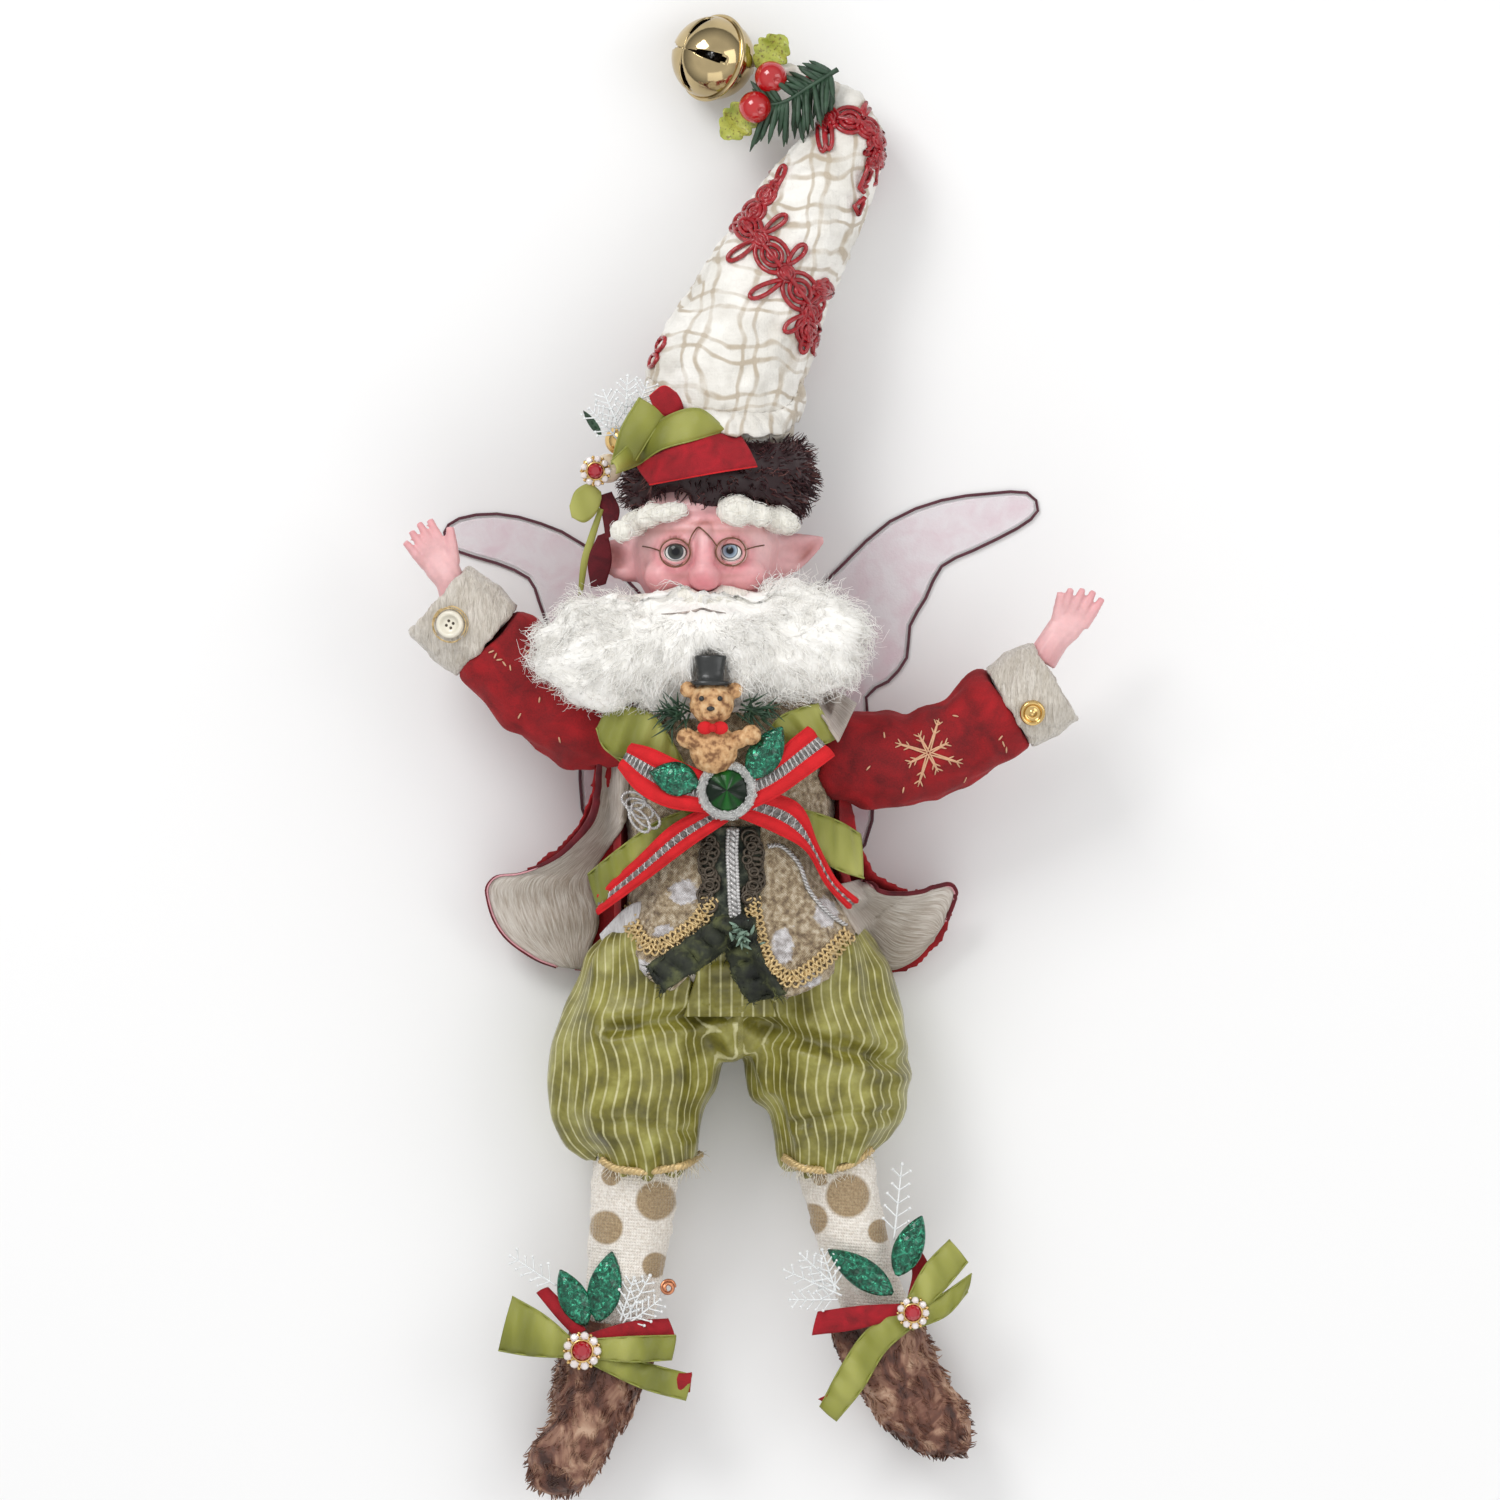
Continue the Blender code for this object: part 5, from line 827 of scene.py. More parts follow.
def fur_band():
    """Thick dark plush round the hat's foot."""
    rng = np.random.default_rng(4)
    core = shrunk("fur_core", "hat_fur_band", .0012, FINISH["fur"], (.93, .86, .93), .0009)
    painted(core, "tint", np.full(len(core.data.vertices), .2))
    count = 2700
    points, normals = rooted(core, count, rng)
    lean = unit(normals + rng.normal(size=normals.shape) * .28 + np.array((.05, -.30, 0)))
    paths = combed(points, lean, .0036 * (.7 + .5 * rng.random(count)), 4, rng, .12, None, .0005)
    paths = gathered(paths, 500, .5, rng)
    paths[..., 2] = np.maximum(paths[..., 2], .0003)
    radii = np.linspace(.00027, .00006, 4)[None, :] * (.8 + .4 * rng.random((count, 1)))
    strands("fur_pile", paths, radii, FINISH["fur"], "hat_fur_band", "burgundy_fur", rng.random(count))


# Head and hands

def gauss(points, x, y, wide, high, turn=0.0):
    """A soft mark on the surface round a pixel of the photograph, sizes in pixels."""
    c = spot(x, y)
    dx, dy = points[:, 0] - c[0], points[:, 1] - c[1]
    u = (dx * math.cos(turn) + dy * math.sin(turn)) / (wide * PIXEL)
    v = (-dx * math.sin(turn) + dy * math.cos(turn)) / (high * PIXEL)
    return np.exp(-.5 * (u ** 2 + v ** 2))


EYES = {"right": (676, 553), "left": (731, 553)}
GAZE = {"right": (676, 552.5), "left": (730, 551.5)}     # the middle of each iris


def head():
    """The cast head: lids, cheeks, brow, nose and cupped ears worked into the plain one."""
    thing = remeshed("head_skin", "head", .00078, FINISH["skin"], 3)

    def change(points, normals):
        front = np.clip(normals[:, 2], 0, 1)
        rise = np.zeros(len(points))
        for x, y in EYES.values():
            ring = np.hypot((points[:, 0] - spot(x, y)[0]) / (16.5 * PIXEL),
                            (points[:, 1] - spot(x, y)[1]) / (14.0 * PIXEL))
            rise += .0011 * np.exp(-.5 * ((ring - 1.0) / .17) ** 2)
            rise -= .0016 * np.exp(-.5 * (ring / .62) ** 4)
            rise += .0006 * gauss(points, x, y + 24, 16, 5)
            rise += .0010 * gauss(points, x, y - 26, 20, 6)
        rise += .0012 * gauss(points, 648, 582, 24, 18) + .0012 * gauss(points, 757, 582, 24, 18)
        rise += .0018 * gauss(points, 704, 560, 8, 20)
        for x, y, wide, high, turn, depth in ((704, 524, 12, 2.2, 0, .0007), (700, 511, 26, 2.4, 0, .0005),
                                               (697, 540, 2.4, 8, .2, .0006), (711, 540, 2.4, 8, -.2, .0006),
                                               (676, 577, 15, 1.8, -.2, .0005), (732, 577, 15, 1.8, .2, .0005)):
            rise -= depth * gauss(points, x, y, wide, high, turn)
        for x, y in ((690, 588), (714, 588)):
            rise += .0010 * gauss(points, x, y, 6, 6)
            rise -= .0014 * gauss(points, x + (1 if x > 700 else -1), y + 6, 3.4, 2.4)
        for x, y, wide, high, turn in ((614, 556, 13, 5.5, -.75), (806, 553, 13, 5.5, .75)):
            rise -= .0019 * gauss(points, x, y, wide, high, turn)
        return points + normals * (rise * front)[:, None]
    moved(thing, change)
    co = vertices_of(thing)
    rosy = (.75 * gauss(co, 645, 590, 26, 20) + .75 * gauss(co, 762, 590, 26, 20) + .85 * gauss(co, 702, 590, 20, 14)
            + .45 * gauss(co, 612, 548, 18, 14) + .45 * gauss(co, 810, 548, 18, 14)
            + .40 * gauss(co, 704, 520, 46, 9) + .25 * gauss(co, 704, 555, 10, 24))
    # painted shade in the creases and hollows: round the eyes, over and under the lids, along the nose bridge, in the
    # nostrils and in the ear cups
    crease_shade = np.zeros(len(co))
    for x, y in EYES.values():
        ring = np.hypot(*((co[:, k] - spot(x, y)[k]) / (r * PIXEL) for k, r in enumerate((15.0, 12.6))))
        crease_shade += .85 * np.exp(-.5 * ((ring - 1.0) / .10) ** 2)
        crease_shade += .50 * gauss(co, x, y - 21, 19, 2.4)
        crease_shade += .30 * gauss(co, x, y + 24, 16, 2.0)
        rosy += .5 * np.exp(-.5 * ((ring - 1.35) / .25) ** 2)
    crease_shade += (.6 * gauss(co, 704, 524, 12, 2.0) + .55 * gauss(co, 689, 594, 3.6, 2.4)
               + .55 * gauss(co, 715, 594, 3.6, 2.4))
    crease_shade += .5 * gauss(co, 614, 556, 10, 3.6, -.75) + .5 * gauss(co, 806, 553, 10, 3.6, .75)
    painted(thing, "rosy", np.clip(rosy, 0, 1))
    painted(thing, "crease_shade", np.clip(crease_shade, 0, 1))


def eyes():
    """Glass eyes with a painted iris, set in the lids."""
    for word, (x, y) in EYES.items():
        low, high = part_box("eye_" + word)
        middle = np.array((low + high) / 2)
        radius = (high.x - low.x) / 2
        verts, faces = ball(middle, radius, 40, 48)
        thing = made("glass_eye_" + word, verts, faces, FINISH["iris_" + word], "eye_" + word, "glass_eye")
        gaze = spot(*GAZE[word])
        painted(thing, "out", np.hypot(verts[:, 0] - gaze[0], verts[:, 1] - gaze[1]) / (16.5 * PIXEL)
                + (verts[:, 2] < middle[2]))
        tree = tree_of(thing)
        a = np.linspace(0, 2 * math.pi, 44, endpoint=False)
        ring = draped(tree, [(x + 12.8 * math.cos(t), y + .4 + 10.4 * math.sin(t)) for t in a], 0.0)
        lid = tube(ring, .00056 - .00016 * np.sin(a), 9, True)
        rim = tube(draped(tree, [(x + 10.7 * math.cos(t), y + .4 + 8.2 * math.sin(t)) for t in a], .00012),
                   .00013 - .00007 * np.sin(a), 6, True)
        skin_lid = made("lid_" + word, *lid, FINISH["skin"], None, "skin")
        painted(skin_lid, "rosy", np.full(len(skin_lid.data.vertices), .5))
        # painted shade on the lid, darker on its half towards the brow
        painted(skin_lid, "crease_shade", np.repeat(np.where(np.sin(a) < 0, .34, .08), 9))
        made("lash_line_" + word, *rim, FINISH["lash"], None, "skin")


def hands():
    """The cast hands, softened."""
    for word in ("right", "left"):
        thing = remeshed("hand_skin_" + word, "hand_" + word, .00045, FINISH["skin"], 2)
        co = vertices_of(thing)
        far = np.linalg.norm(co - co.mean(0), axis=1)
        painted(thing, "rosy", np.clip(.15 + .5 * (far / far.max()) ** 2, 0, 1))
        painted(thing, "crease_shade", np.zeros(len(co)))


# Hat

def hat():
    """The crumpled plaid cone."""
    thing = remeshed("hat_cloth", "hat_cone", .0011, FINISH["plaid"], 3)

    def change(points, normals):
        crumple = -np.abs(fractal(points * np.array((1.0, 1.5, 1.0)), 110, 2)) * .0015
        fine = -np.abs(fractal(points, 330, 2, (7, 1, 3))) * .0007
        return points + normals * (crumple + fine + .0008)[:, None]
    return moved(thing, change)


def hat_hem():
    """The cloth's scalloped foot, which hangs over the fur."""
    tree = tree_of("hat_fur_band")
    cone = tree_of(bpy.data.objects["hat_cloth"])
    foot = [(652, 402), (672, 420), (700, 432), (720, 436), (745, 437), (768, 437), (786, 432), (797, 420), (803, 404)]
    low, high = [], []
    path = smooth_path([spot(x, y) for x, y in foot], 60)
    for k, p in enumerate(path):
        wave = .0004 * math.sin(k * .78)
        out = np.array((p[0], p[1] + wave, 0.0))
        out[2] = max(top(tree, out[0], out[1], .02), top(cone, out[0], out[1], .02)) + .0010
        inner = p + np.array((-.08, .9, 0)) * .0065
        inner[2] = top(cone, inner[0], inner[1], out[2]) + .0004
        low.append(out)
        high.append(inner)
    made("hat_hem", *ruled(high, low, 80, 8, .0006, .0011, .0003, 1, .003), FINISH["plaid"], None, "plaid_cotton")


def bell():
    """A thin brass ball with a crossed slot, a rolled seam and a hanger."""
    low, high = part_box("jingle_bell")
    centre = spot(713, 55, (low.z + high.z) / 2)
    radius = .0105
    pole = unit((-.71, .21, .67))
    side = unit(np.cross(pole, UP))
    up = np.cross(side, pole)
    columns, rows = 96, 48
    quarter = columns // 4
    faces = []
    for i in range(rows):
        for j in range(columns):
            near = min(j % quarter, quarter - 1 - j % quarter)
            if near < (2 if 6 <= i < 16 else 1) and 1 <= i < 18:
                continue
            faces.append((i, j))
    verts, index = [], {}

    def vertex(i, j):
        j %= columns
        if (i, j) not in index:
            lean, turn = math.pi * i / rows, 2 * math.pi * j / columns
            open_slot = .030 * max(0, 1 - abs(i - 9) / 9)
            part = j % quarter - quarter / 2
            turn += -open_slot * (1 if part > 0 else -1) * (1 if abs(part) > quarter / 2 - 3 else 0)
            lean = max(lean, .02)
            out = (math.cos(lean) * pole + math.sin(lean) * (math.cos(turn) * side + math.sin(turn) * up))
            index[i, j] = len(verts)
            verts.append(centre + out * radius)
        return index[i, j]
    quads = [(vertex(i, j), vertex(i, j + 1), vertex(i + 1, j + 1), vertex(i + 1, j)) for i, j in faces]
    thing = made("bell_shell", verts, quads, FINISH["brass"], "jingle_bell", "bell_metal")
    wall = thing.modifiers.new("wall", "SOLIDIFY")
    wall.thickness = .0007
    wall.offset = -1
    wall.material_offset = 1
    # the inner wall takes the dark brown finish: painted shade inside the bell
    thing.data.materials.append(FINISH["bell_inside_shade"])
    apply_all(thing)
    angle = np.linspace(0, 2 * math.pi, 96, endpoint=False)[:, None]
    seam = centre + (radius * 1.02) * (np.cos(angle) * side + np.sin(angle) * up)
    ring = centre - pole * (radius + .0012) + .0019 * (np.cos(angle[::4]) * side + np.sin(angle[::4]) * pole)
    made("bell_seam", *joined([tube(seam, .0006, 8, True, 1.4), tube(ring, .0005, 8, True)]),
         FINISH["brass"], None, "bell_metal")
    made("pellet", *ball(np.array(sum(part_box("bell_pellet"), Vector()) / 2), .0022, 12, 16),
         FINISH["steel"], "bell_pellet", "steel")


def holly_leaf(tip, root, half, teeth, z, curl):
    """A holly leaf: a toothed outline over a folded middle rib."""
    t = np.linspace(0, 1, 41)
    line = spot(*root, z) * (1 - t)[:, None] + spot(*tip, z) * t[:, None]
    along = unit(line[-1] - line[0])
    side = np.cross(UP, along)
    width = half * PIXEL * np.sin(np.pi * np.clip(t, .02, .99)) ** .6
    teeth_wave = 1 + .28 * np.abs(np.sin(t * math.pi * teeth))
    s = np.linspace(-1, 1, 13)
    grid = (line[:, None, :] + side * (s[None, :] * (width * teeth_wave)[:, None])[..., None]
            + UP * (np.abs(s)[None, :] ** 1.3 * (width * curl)[:, None] + .0006 * np.sin(t * 9)[:, None])[..., None])
    above, below = grid + UP * .00025, grid - UP * .00025
    return skin_rings(np.concatenate([above, below[:, ::-1]], 1))


def berry(centre, radius):
    """A round berry with a puckered eye."""
    verts, faces = ball(centre, radius, 24, 32)
    pole = unit((.35, -.25, .9))
    near = np.arccos(np.clip(unit(verts - centre) @ pole, -1, 1))
    return verts - unit(verts - centre) * (.0007 * np.exp(-(near / .13) ** 2))[:, None], faces


def tip_trim():
    """Holly, berries and a pine sprig at the bell."""
    for word, tip, root, half in (("upper", (786, 34), (757, 66), 15), ("lower", (722, 136), (756, 100), 15)):
        node = "tip_holly_" + word
        shape = holly_leaf(tip, root, half, 4.5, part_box(node)[1].z - .0006, .35)
        made("holly_" + word, *shape, FINISH["holly"], node, "holly_green")
    for word in ("upper", "lower"):
        low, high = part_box("tip_berry_" + word)
        shape = berry(np.array((low + high) / 2), (high.x - low.x) / 2)
        made("berry_" + word, *shape, FINISH["berry"], "tip_berry_" + word, "berry_red")
    rng = np.random.default_rng(6)
    low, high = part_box("tip_pine_sprig")
    z = (low.z + high.z) / 2
    stem = smooth_path([spot(838, 68, z), spot(812, 84, z + .001), spot(785, 100, z), spot(762, 104, z - .001)], 40)
    parts = [tube(stem, np.linspace(.0007, .0004, 40), 7)]
    needles = []
    for k in range(58):
        i = int(rng.integers(2, 38))
        along = unit(stem[i + 1] - stem[i - 1])
        way = rng.choice((-1, 1), p=(.32, .68))
        side = np.cross(along, UP) * way
        out = unit(-side * 1.0 + along * (.35 + .5 * rng.random()) + UP * rng.normal() * .35)
        length = (.0075 if way < 0 else .0120) * (.7 + .4 * rng.random())
        s = np.linspace(0, 1, 6)[:, None]
        path = stem[i] + out * length * s + UP * (-.0012 * s ** 2)
        needles.append(tube(path, np.interp(s[:, 0], (0, .3, .8, 1), (.0004, .0008, .0006, .0001)), 6, False, .6))
    made("pine_sprig", *joined(parts + needles), FINISH["pine"], "tip_pine_sprig", "pine_green")


# Body

def breeches():
    """Gathered satin breeches with two deep creases and a frayed hem on each leg."""
    thing = remeshed("breeches_cloth", "breeches", .0013, FINISH["striped"], 4)
    hems = {"right": spot(648, 1165), "left": spot(830, 1162)}
    tops = {"right": spot(640, 1000), "left": spot(820, 1000)}
    middle = spot(742, 1000)[0]

    def frame_of(points):
        left = points[:, 0] > middle
        root = np.where(left[:, None], tops["left"], tops["right"])
        hem = np.where(left[:, None], hems["left"], hems["right"])
        down = unit(hem - root)
        run = ((points - root) * down).sum(1)
        length = np.linalg.norm(hem - root, axis=1)
        middle_z = .021 - .006 * np.clip(run / length, 0, 1)
        across = (points[:, 0] - (root + down * run[:, None])[:, 0])
        turn = np.arctan2(across, points[:, 2] - middle_z)
        return left, run, length, turn

    def change(points, normals):
        left, run, length, turn = frame_of(points)
        to_hem = np.clip(length - run, 0, None)
        rise = .0010 * np.exp(-to_hem / .011) * np.cos(11 * turn + 1.3 * np.sin(3 * turn))
        rise += .0007 * np.exp(-np.abs(run + .012) / .016) * np.cos(9 * turn + left)
        long_folds = fractal(points * np.array((1.0, .28, 1.0)), 95, 2, (3, 5, 7))
        rise += .0019 * long_folds
        for (ax, ay), (bx, by), wide, depth in (((612, 1028), (722, 1012), 5.0, .0030),
                                               ((752, 1024), (896, 1062), 6.0, .0032),
                                               ((800, 1120), (888, 1112), 4.0, .0013),
                                               ((600, 1122), (690, 1132), 4.0, .0009),
                                               ((720, 1000), (740, 1040), 4.0, .0016)):
            a, b = spot(ax, ay), spot(bx, by)
            d = b - a
            s = np.clip(((points - a)[:, :2] @ d[:2]) / (d[:2] @ d[:2]), 0, 1)
            nearest = a[:2] + s[:, None] * d[:2]
            off = (points[:, 1] - nearest[:, 1]) / (wide * PIXEL)
            far = np.hypot(*(points[:, :2] - nearest).T) / (wide * PIXEL)
            side = np.where(off < 0, 1.0, .6)
            rise += depth * (-np.exp(-.5 * far ** 2) + .55 * side * np.exp(-.5 * ((far - 2.6) / 1.1) ** 2)) \
                * np.clip(normals[:, 2] + .4, 0, 1)
        return points + normals * rise[:, None]
    moved(thing, change)
    left, run, length, turn = frame_of(vertices_of(thing))
    painted(thing, "round", turn * .0205 / .0027 + 40.0 + .35 * np.sin(run * 260 + 2.0 * left))
    frayed_hems(thing)


def frayed_hems(cloth):
    """Gold and white trim, frayed, under each hem of the breeches."""
    tree = tree_of(cloth, "leg_right", "leg_left")
    rng = np.random.default_rng(7)
    parts, threads = [], []
    for points in ([(601, 1160), (616, 1168), (640, 1171), (664, 1169), (684, 1165), (700, 1156)],
                   [(784, 1158), (800, 1167), (822, 1170), (846, 1166), (862, 1157), (872, 1149)]):
        path = smooth_path(laid(tree, points, .0004, .012), 60)
        parts.append(twisted(path, .0011, 3, .0035, 6))
        for k in range(90):
            i = int(rng.integers(1, 59))
            start = path[i]
            out = unit(np.array((rng.normal() * .5, -.8 + rng.normal() * .5, .2 + rng.normal() * .3)))
            s = np.linspace(0, 1, 5)[:, None]
            bend = unit(rng.normal(size=3)) * .4
            threads.append(start + (out * s + bend * s ** 2) * (.0025 + .0022 * rng.random()))
    made("hem_trim", *joined(parts), FINISH["gold_thread"], None, "silver_braid")
    threads = np.array(threads)
    radii = np.broadcast_to(np.linspace(.00013, .00006, 5), threads.shape[:2])
    strands("hem_fray", threads, radii, FINISH["pale_thread"], None, "silver_braid", rng.random(len(threads)))


DOTS = ((656, 1201, 20), (606, 1228, 17), (655, 1266, 13), (611, 1176, 10), (686, 1240, 12),
        (848, 1196, 22), (812, 1220, 16), (880, 1232, 12), (820, 1178, 8))


def stockings():
    """Knitted stockings with tan dots, wrinkled a little at the ankle."""
    for word in ("right", "left"):
        thing = remeshed("stocking_" + word, "leg_" + word, .0010, FINISH["knit"], 2)

        def change(points, normals):
            folds = fractal(points * np.array((1.0, 2.4, 1.0)), 150, 2, (2, 2, 2)) * .0005
            return points + normals * folds[:, None]
        moved(thing, change)
        co = vertices_of(thing)
        dot = np.zeros(len(co))
        for x, y, radius in DOTS:
            c = spot(x, y)
            far = np.hypot(co[:, 0] - c[0], co[:, 1] - c[1]) / (radius * PIXEL)
            dot = np.maximum(dot, np.clip(1.0 - .5 * far, 0, 1))
        painted(thing, "dot", dot)


def boots():
    """Plush boots: a lumpy core with short nap combed towards the toe."""
    rng = np.random.default_rng(8)
    toes = {"right": unit((-.45, -.9, 0)), "left": unit((.75, -.65, 0))}
    for word in ("right", "left"):
        node = "boot_" + word
        thing = remeshed("boot_core_" + word, node, .0010, FINISH["plush"], 4)

        def change(points, normals):
            lumps = fractal(points, 130, 3, (1, 4, 2)) * .0012
            return points + normals * (lumps - .0004)[:, None]
        moved(thing, change)
        count = 1500
        points, normals = rooted(thing, count, rng, lambda p, n: n[:, 2] > -.8)
        swirl = np.stack([fractal(points, 140, 1, (k * 9.0, 1, 2)) for k in range(3)], 1)
        lean = unit(toes[word] * .8 + normals * .35 + swirl * .9 + rng.normal(size=points.shape) * .12)
        paths = combed(points, lean, .0021 * (.7 + .6 * rng.random(count)), 4, rng, .08, None, .0004)
        paths = gathered(paths, 260, .6, rng)
        paths[..., 2] = np.maximum(paths[..., 2], .0002)
        radii = np.linspace(.00030, .00006, 4)[None, :] * (.8 + .4 * rng.random((count, 1)))
        strands("boot_nap_" + word, paths, radii, FINISH["plush"], node, "brown_plush", rng.random(count))


def folded(name, node, finish, voxel=.0007, deep=.0009, scale=90, stretch=(1, 1, 1), seed=0, relax=6):
    """A cloth node with soft folds worked into it."""
    thing = remeshed(name, node, voxel, finish, relax)

    def change(points, normals):
        folds = fractal(points * np.array(stretch), scale, 2, (seed, seed * 2, 1)) * deep
        return points + normals * folds[:, None]
    return moved(thing, change)


def arc(points, start, end, rise=0.0):
    """Pixels of the photograph as points that go from one height to another over a hump."""
    flat = np.array([spot(x, y) for x, y in points])
    run = np.r_[0, np.cumsum(np.linalg.norm(np.diff(flat, axis=0), axis=1))]
    s = run / run[-1]
    flat[:, 2] = start + (end - start) * s + rise * np.sin(s * math.pi)
    return flat


def between(a, b, low, high, count=40):
    """The part of a strip between two shares of its width, as two edges."""
    a, b = smooth_path(a, count), smooth_path(b, count)
    return a + (b - a) * low, a + (b - a) * high


def gem(centre, radius, normal=(0, 0, 1), sides=10, height=.55, table=.5):
    """A faceted stone: a flat table, a ring of kites and a girdle."""
    n = unit(normal)
    u = unit(np.cross(n, (.3, .9, .1)))
    v = np.cross(n, u)
    rings = []
    for share, lift, turn in ((table, height, .5), (.80, height * .66, 0.0), (1.0, 0.0, .5), (.8, -.35, .0)):
        a = (np.arange(sides) + turn) * 2 * math.pi / sides
        rings.append(centre + radius * (share * (np.cos(a)[:, None] * u + np.sin(a)[:, None] * v) + lift * n))
    verts = np.vstack(rings)
    faces = [tuple(range(sides))]
    for i in range(3):
        for j in range(sides):
            k = (j + 1) % sides
            a, b = i * sides, (i + 1) * sides
            if i % 2 == 0:
                faces += [(a + j, b + j, b + k), (a + j, b + k, a + k)]
            else:
                faces += [(a + j, b + j, a + k), (a + k, b + j, b + k)]
    faces.append(tuple(range(3 * sides, 4 * sides))[::-1])
    return verts, faces


def jewel(name, centre, radius, node, slot):
    """A red stone in a ring of small clear ones, with gold claws between them."""
    count = 9
    clear, metal = [], []
    for k in range(count):
        a = k * 2 * math.pi / count
        out = np.array((math.cos(a), math.sin(a), 0))
        clear.append(gem(centre + out * radius * .76 + UP * .0003, radius * .235, UP + out * .4, 6, .7))
        claw = centre + np.array((math.cos(a + .35), math.sin(a + .35), .0)) * radius * .90 + UP * .0004
        metal.append(ball(claw, radius * .085, 6, 8))
    turn = np.linspace(0, 2 * math.pi, 36, endpoint=False)
    ring = centre + np.array([(math.cos(a), math.sin(a), 0) for a in turn]) * radius * .53
    metal.append(tube(ring + UP * .0007, radius * .06, 6, True))
    base, base_faces = ball(centre - UP * .0006, radius * .92, 8, 24, (1, 1, .16))
    metal.append((base, base_faces))
    made(name + "_claws", *joined(metal), FINISH["gold"], node, slot)
    made(name + "_ring", *joined(clear), FINISH["clear_stone"], None, slot, False)
    made(name + "_stone", *gem(centre + UP * .0007, radius * .50, UP, 8, .7), FINISH["red_stone"], None, slot, False)


def leaf(base, tip, half, plump=.0016, veins=5):
    """A thick moulded leaf with a sunk middle rib and raised veins."""
    t = np.linspace(0, 1, 34)
    line = base * (1 - t)[:, None] + tip * t[:, None]
    along = unit(tip - base)
    side = unit(np.cross(UP, along))
    up = np.cross(along, side)
    width = half * np.sin(np.pi * np.clip(t, .012, .992) ** .85) ** .75
    s = np.linspace(-1, 1, 17)
    crown = plump * (1 - s[None, :] ** 2) * np.sin(np.pi * t)[:, None] ** .5
    ribs = .00022 * np.cos((t[:, None] * veins + np.abs(s)[None, :] * .9) * 2 * math.pi) * (1 - np.abs(s)[None, :])
    rib = -.0005 * np.exp(-(s[None, :] / .10) ** 2) * np.sin(np.pi * t)[:, None]
    grid = line[:, None, :] + side * (s[None, :] * width[:, None])[..., None]
    above = grid + up * (crown + ribs + rib)[..., None]
    below = grid - up * (crown * .5 + .0001)[..., None]
    return skin_rings(np.concatenate([above, below[:, ::-1]], 1))


def sprig(root, tip, twigs, rng, thick=.00035, length=.0040):
    """A frosted twig: a stem with forked side twigs that end in small buds."""
    stem = smooth_path([root, (root + tip) / 2 + UP * .0012, tip], 24)
    parts = [tube(stem, np.linspace(thick, thick * .6, 24), 6)]
    for k in range(twigs):
        i = int(3 + k * 20 / twigs)
        along = unit(stem[min(i + 1, 23)] - stem[i - 1])
        for way in (1, -1):
            out = unit(along * .8 + np.cross(along, UP) * way + UP * rng.normal() * .3)
            end = stem[i] + out * length * (1.1 - .5 * k / twigs) * (.8 + .4 * rng.random())
            twig = np.linspace(stem[i], end, 5)
            parts.append(tube(twig, thick * .75, 5))
            parts.append(ball(end, thick * 1.5, 5, 7))
    parts.append(ball(tip, thick * 1.7, 6, 8))
    return joined(parts)


def ribbon(name, strips, finish, node=None, slot=None, thick=.00035, wire=None, crown=.0003, ripple=0.0):
    """A made-up ribbon of one or more strips; wire adds a cord along each edge."""
    parts, wires = [], []
    for k, (a, b) in enumerate(strips):
        parts.append(ruled(a, b, 46, 9, thick, crown, ripple, k, .0055))
        for edge in (a, b):
            wires.append(tube(smooth_path(edge, 60), .00024, 6))
    verts, faces = joined(parts)
    thing = made(name, verts, faces, finish, node, slot)
    if wire:
        made(name + "_edge", *joined(wires), wire, None, slot)
    return thing


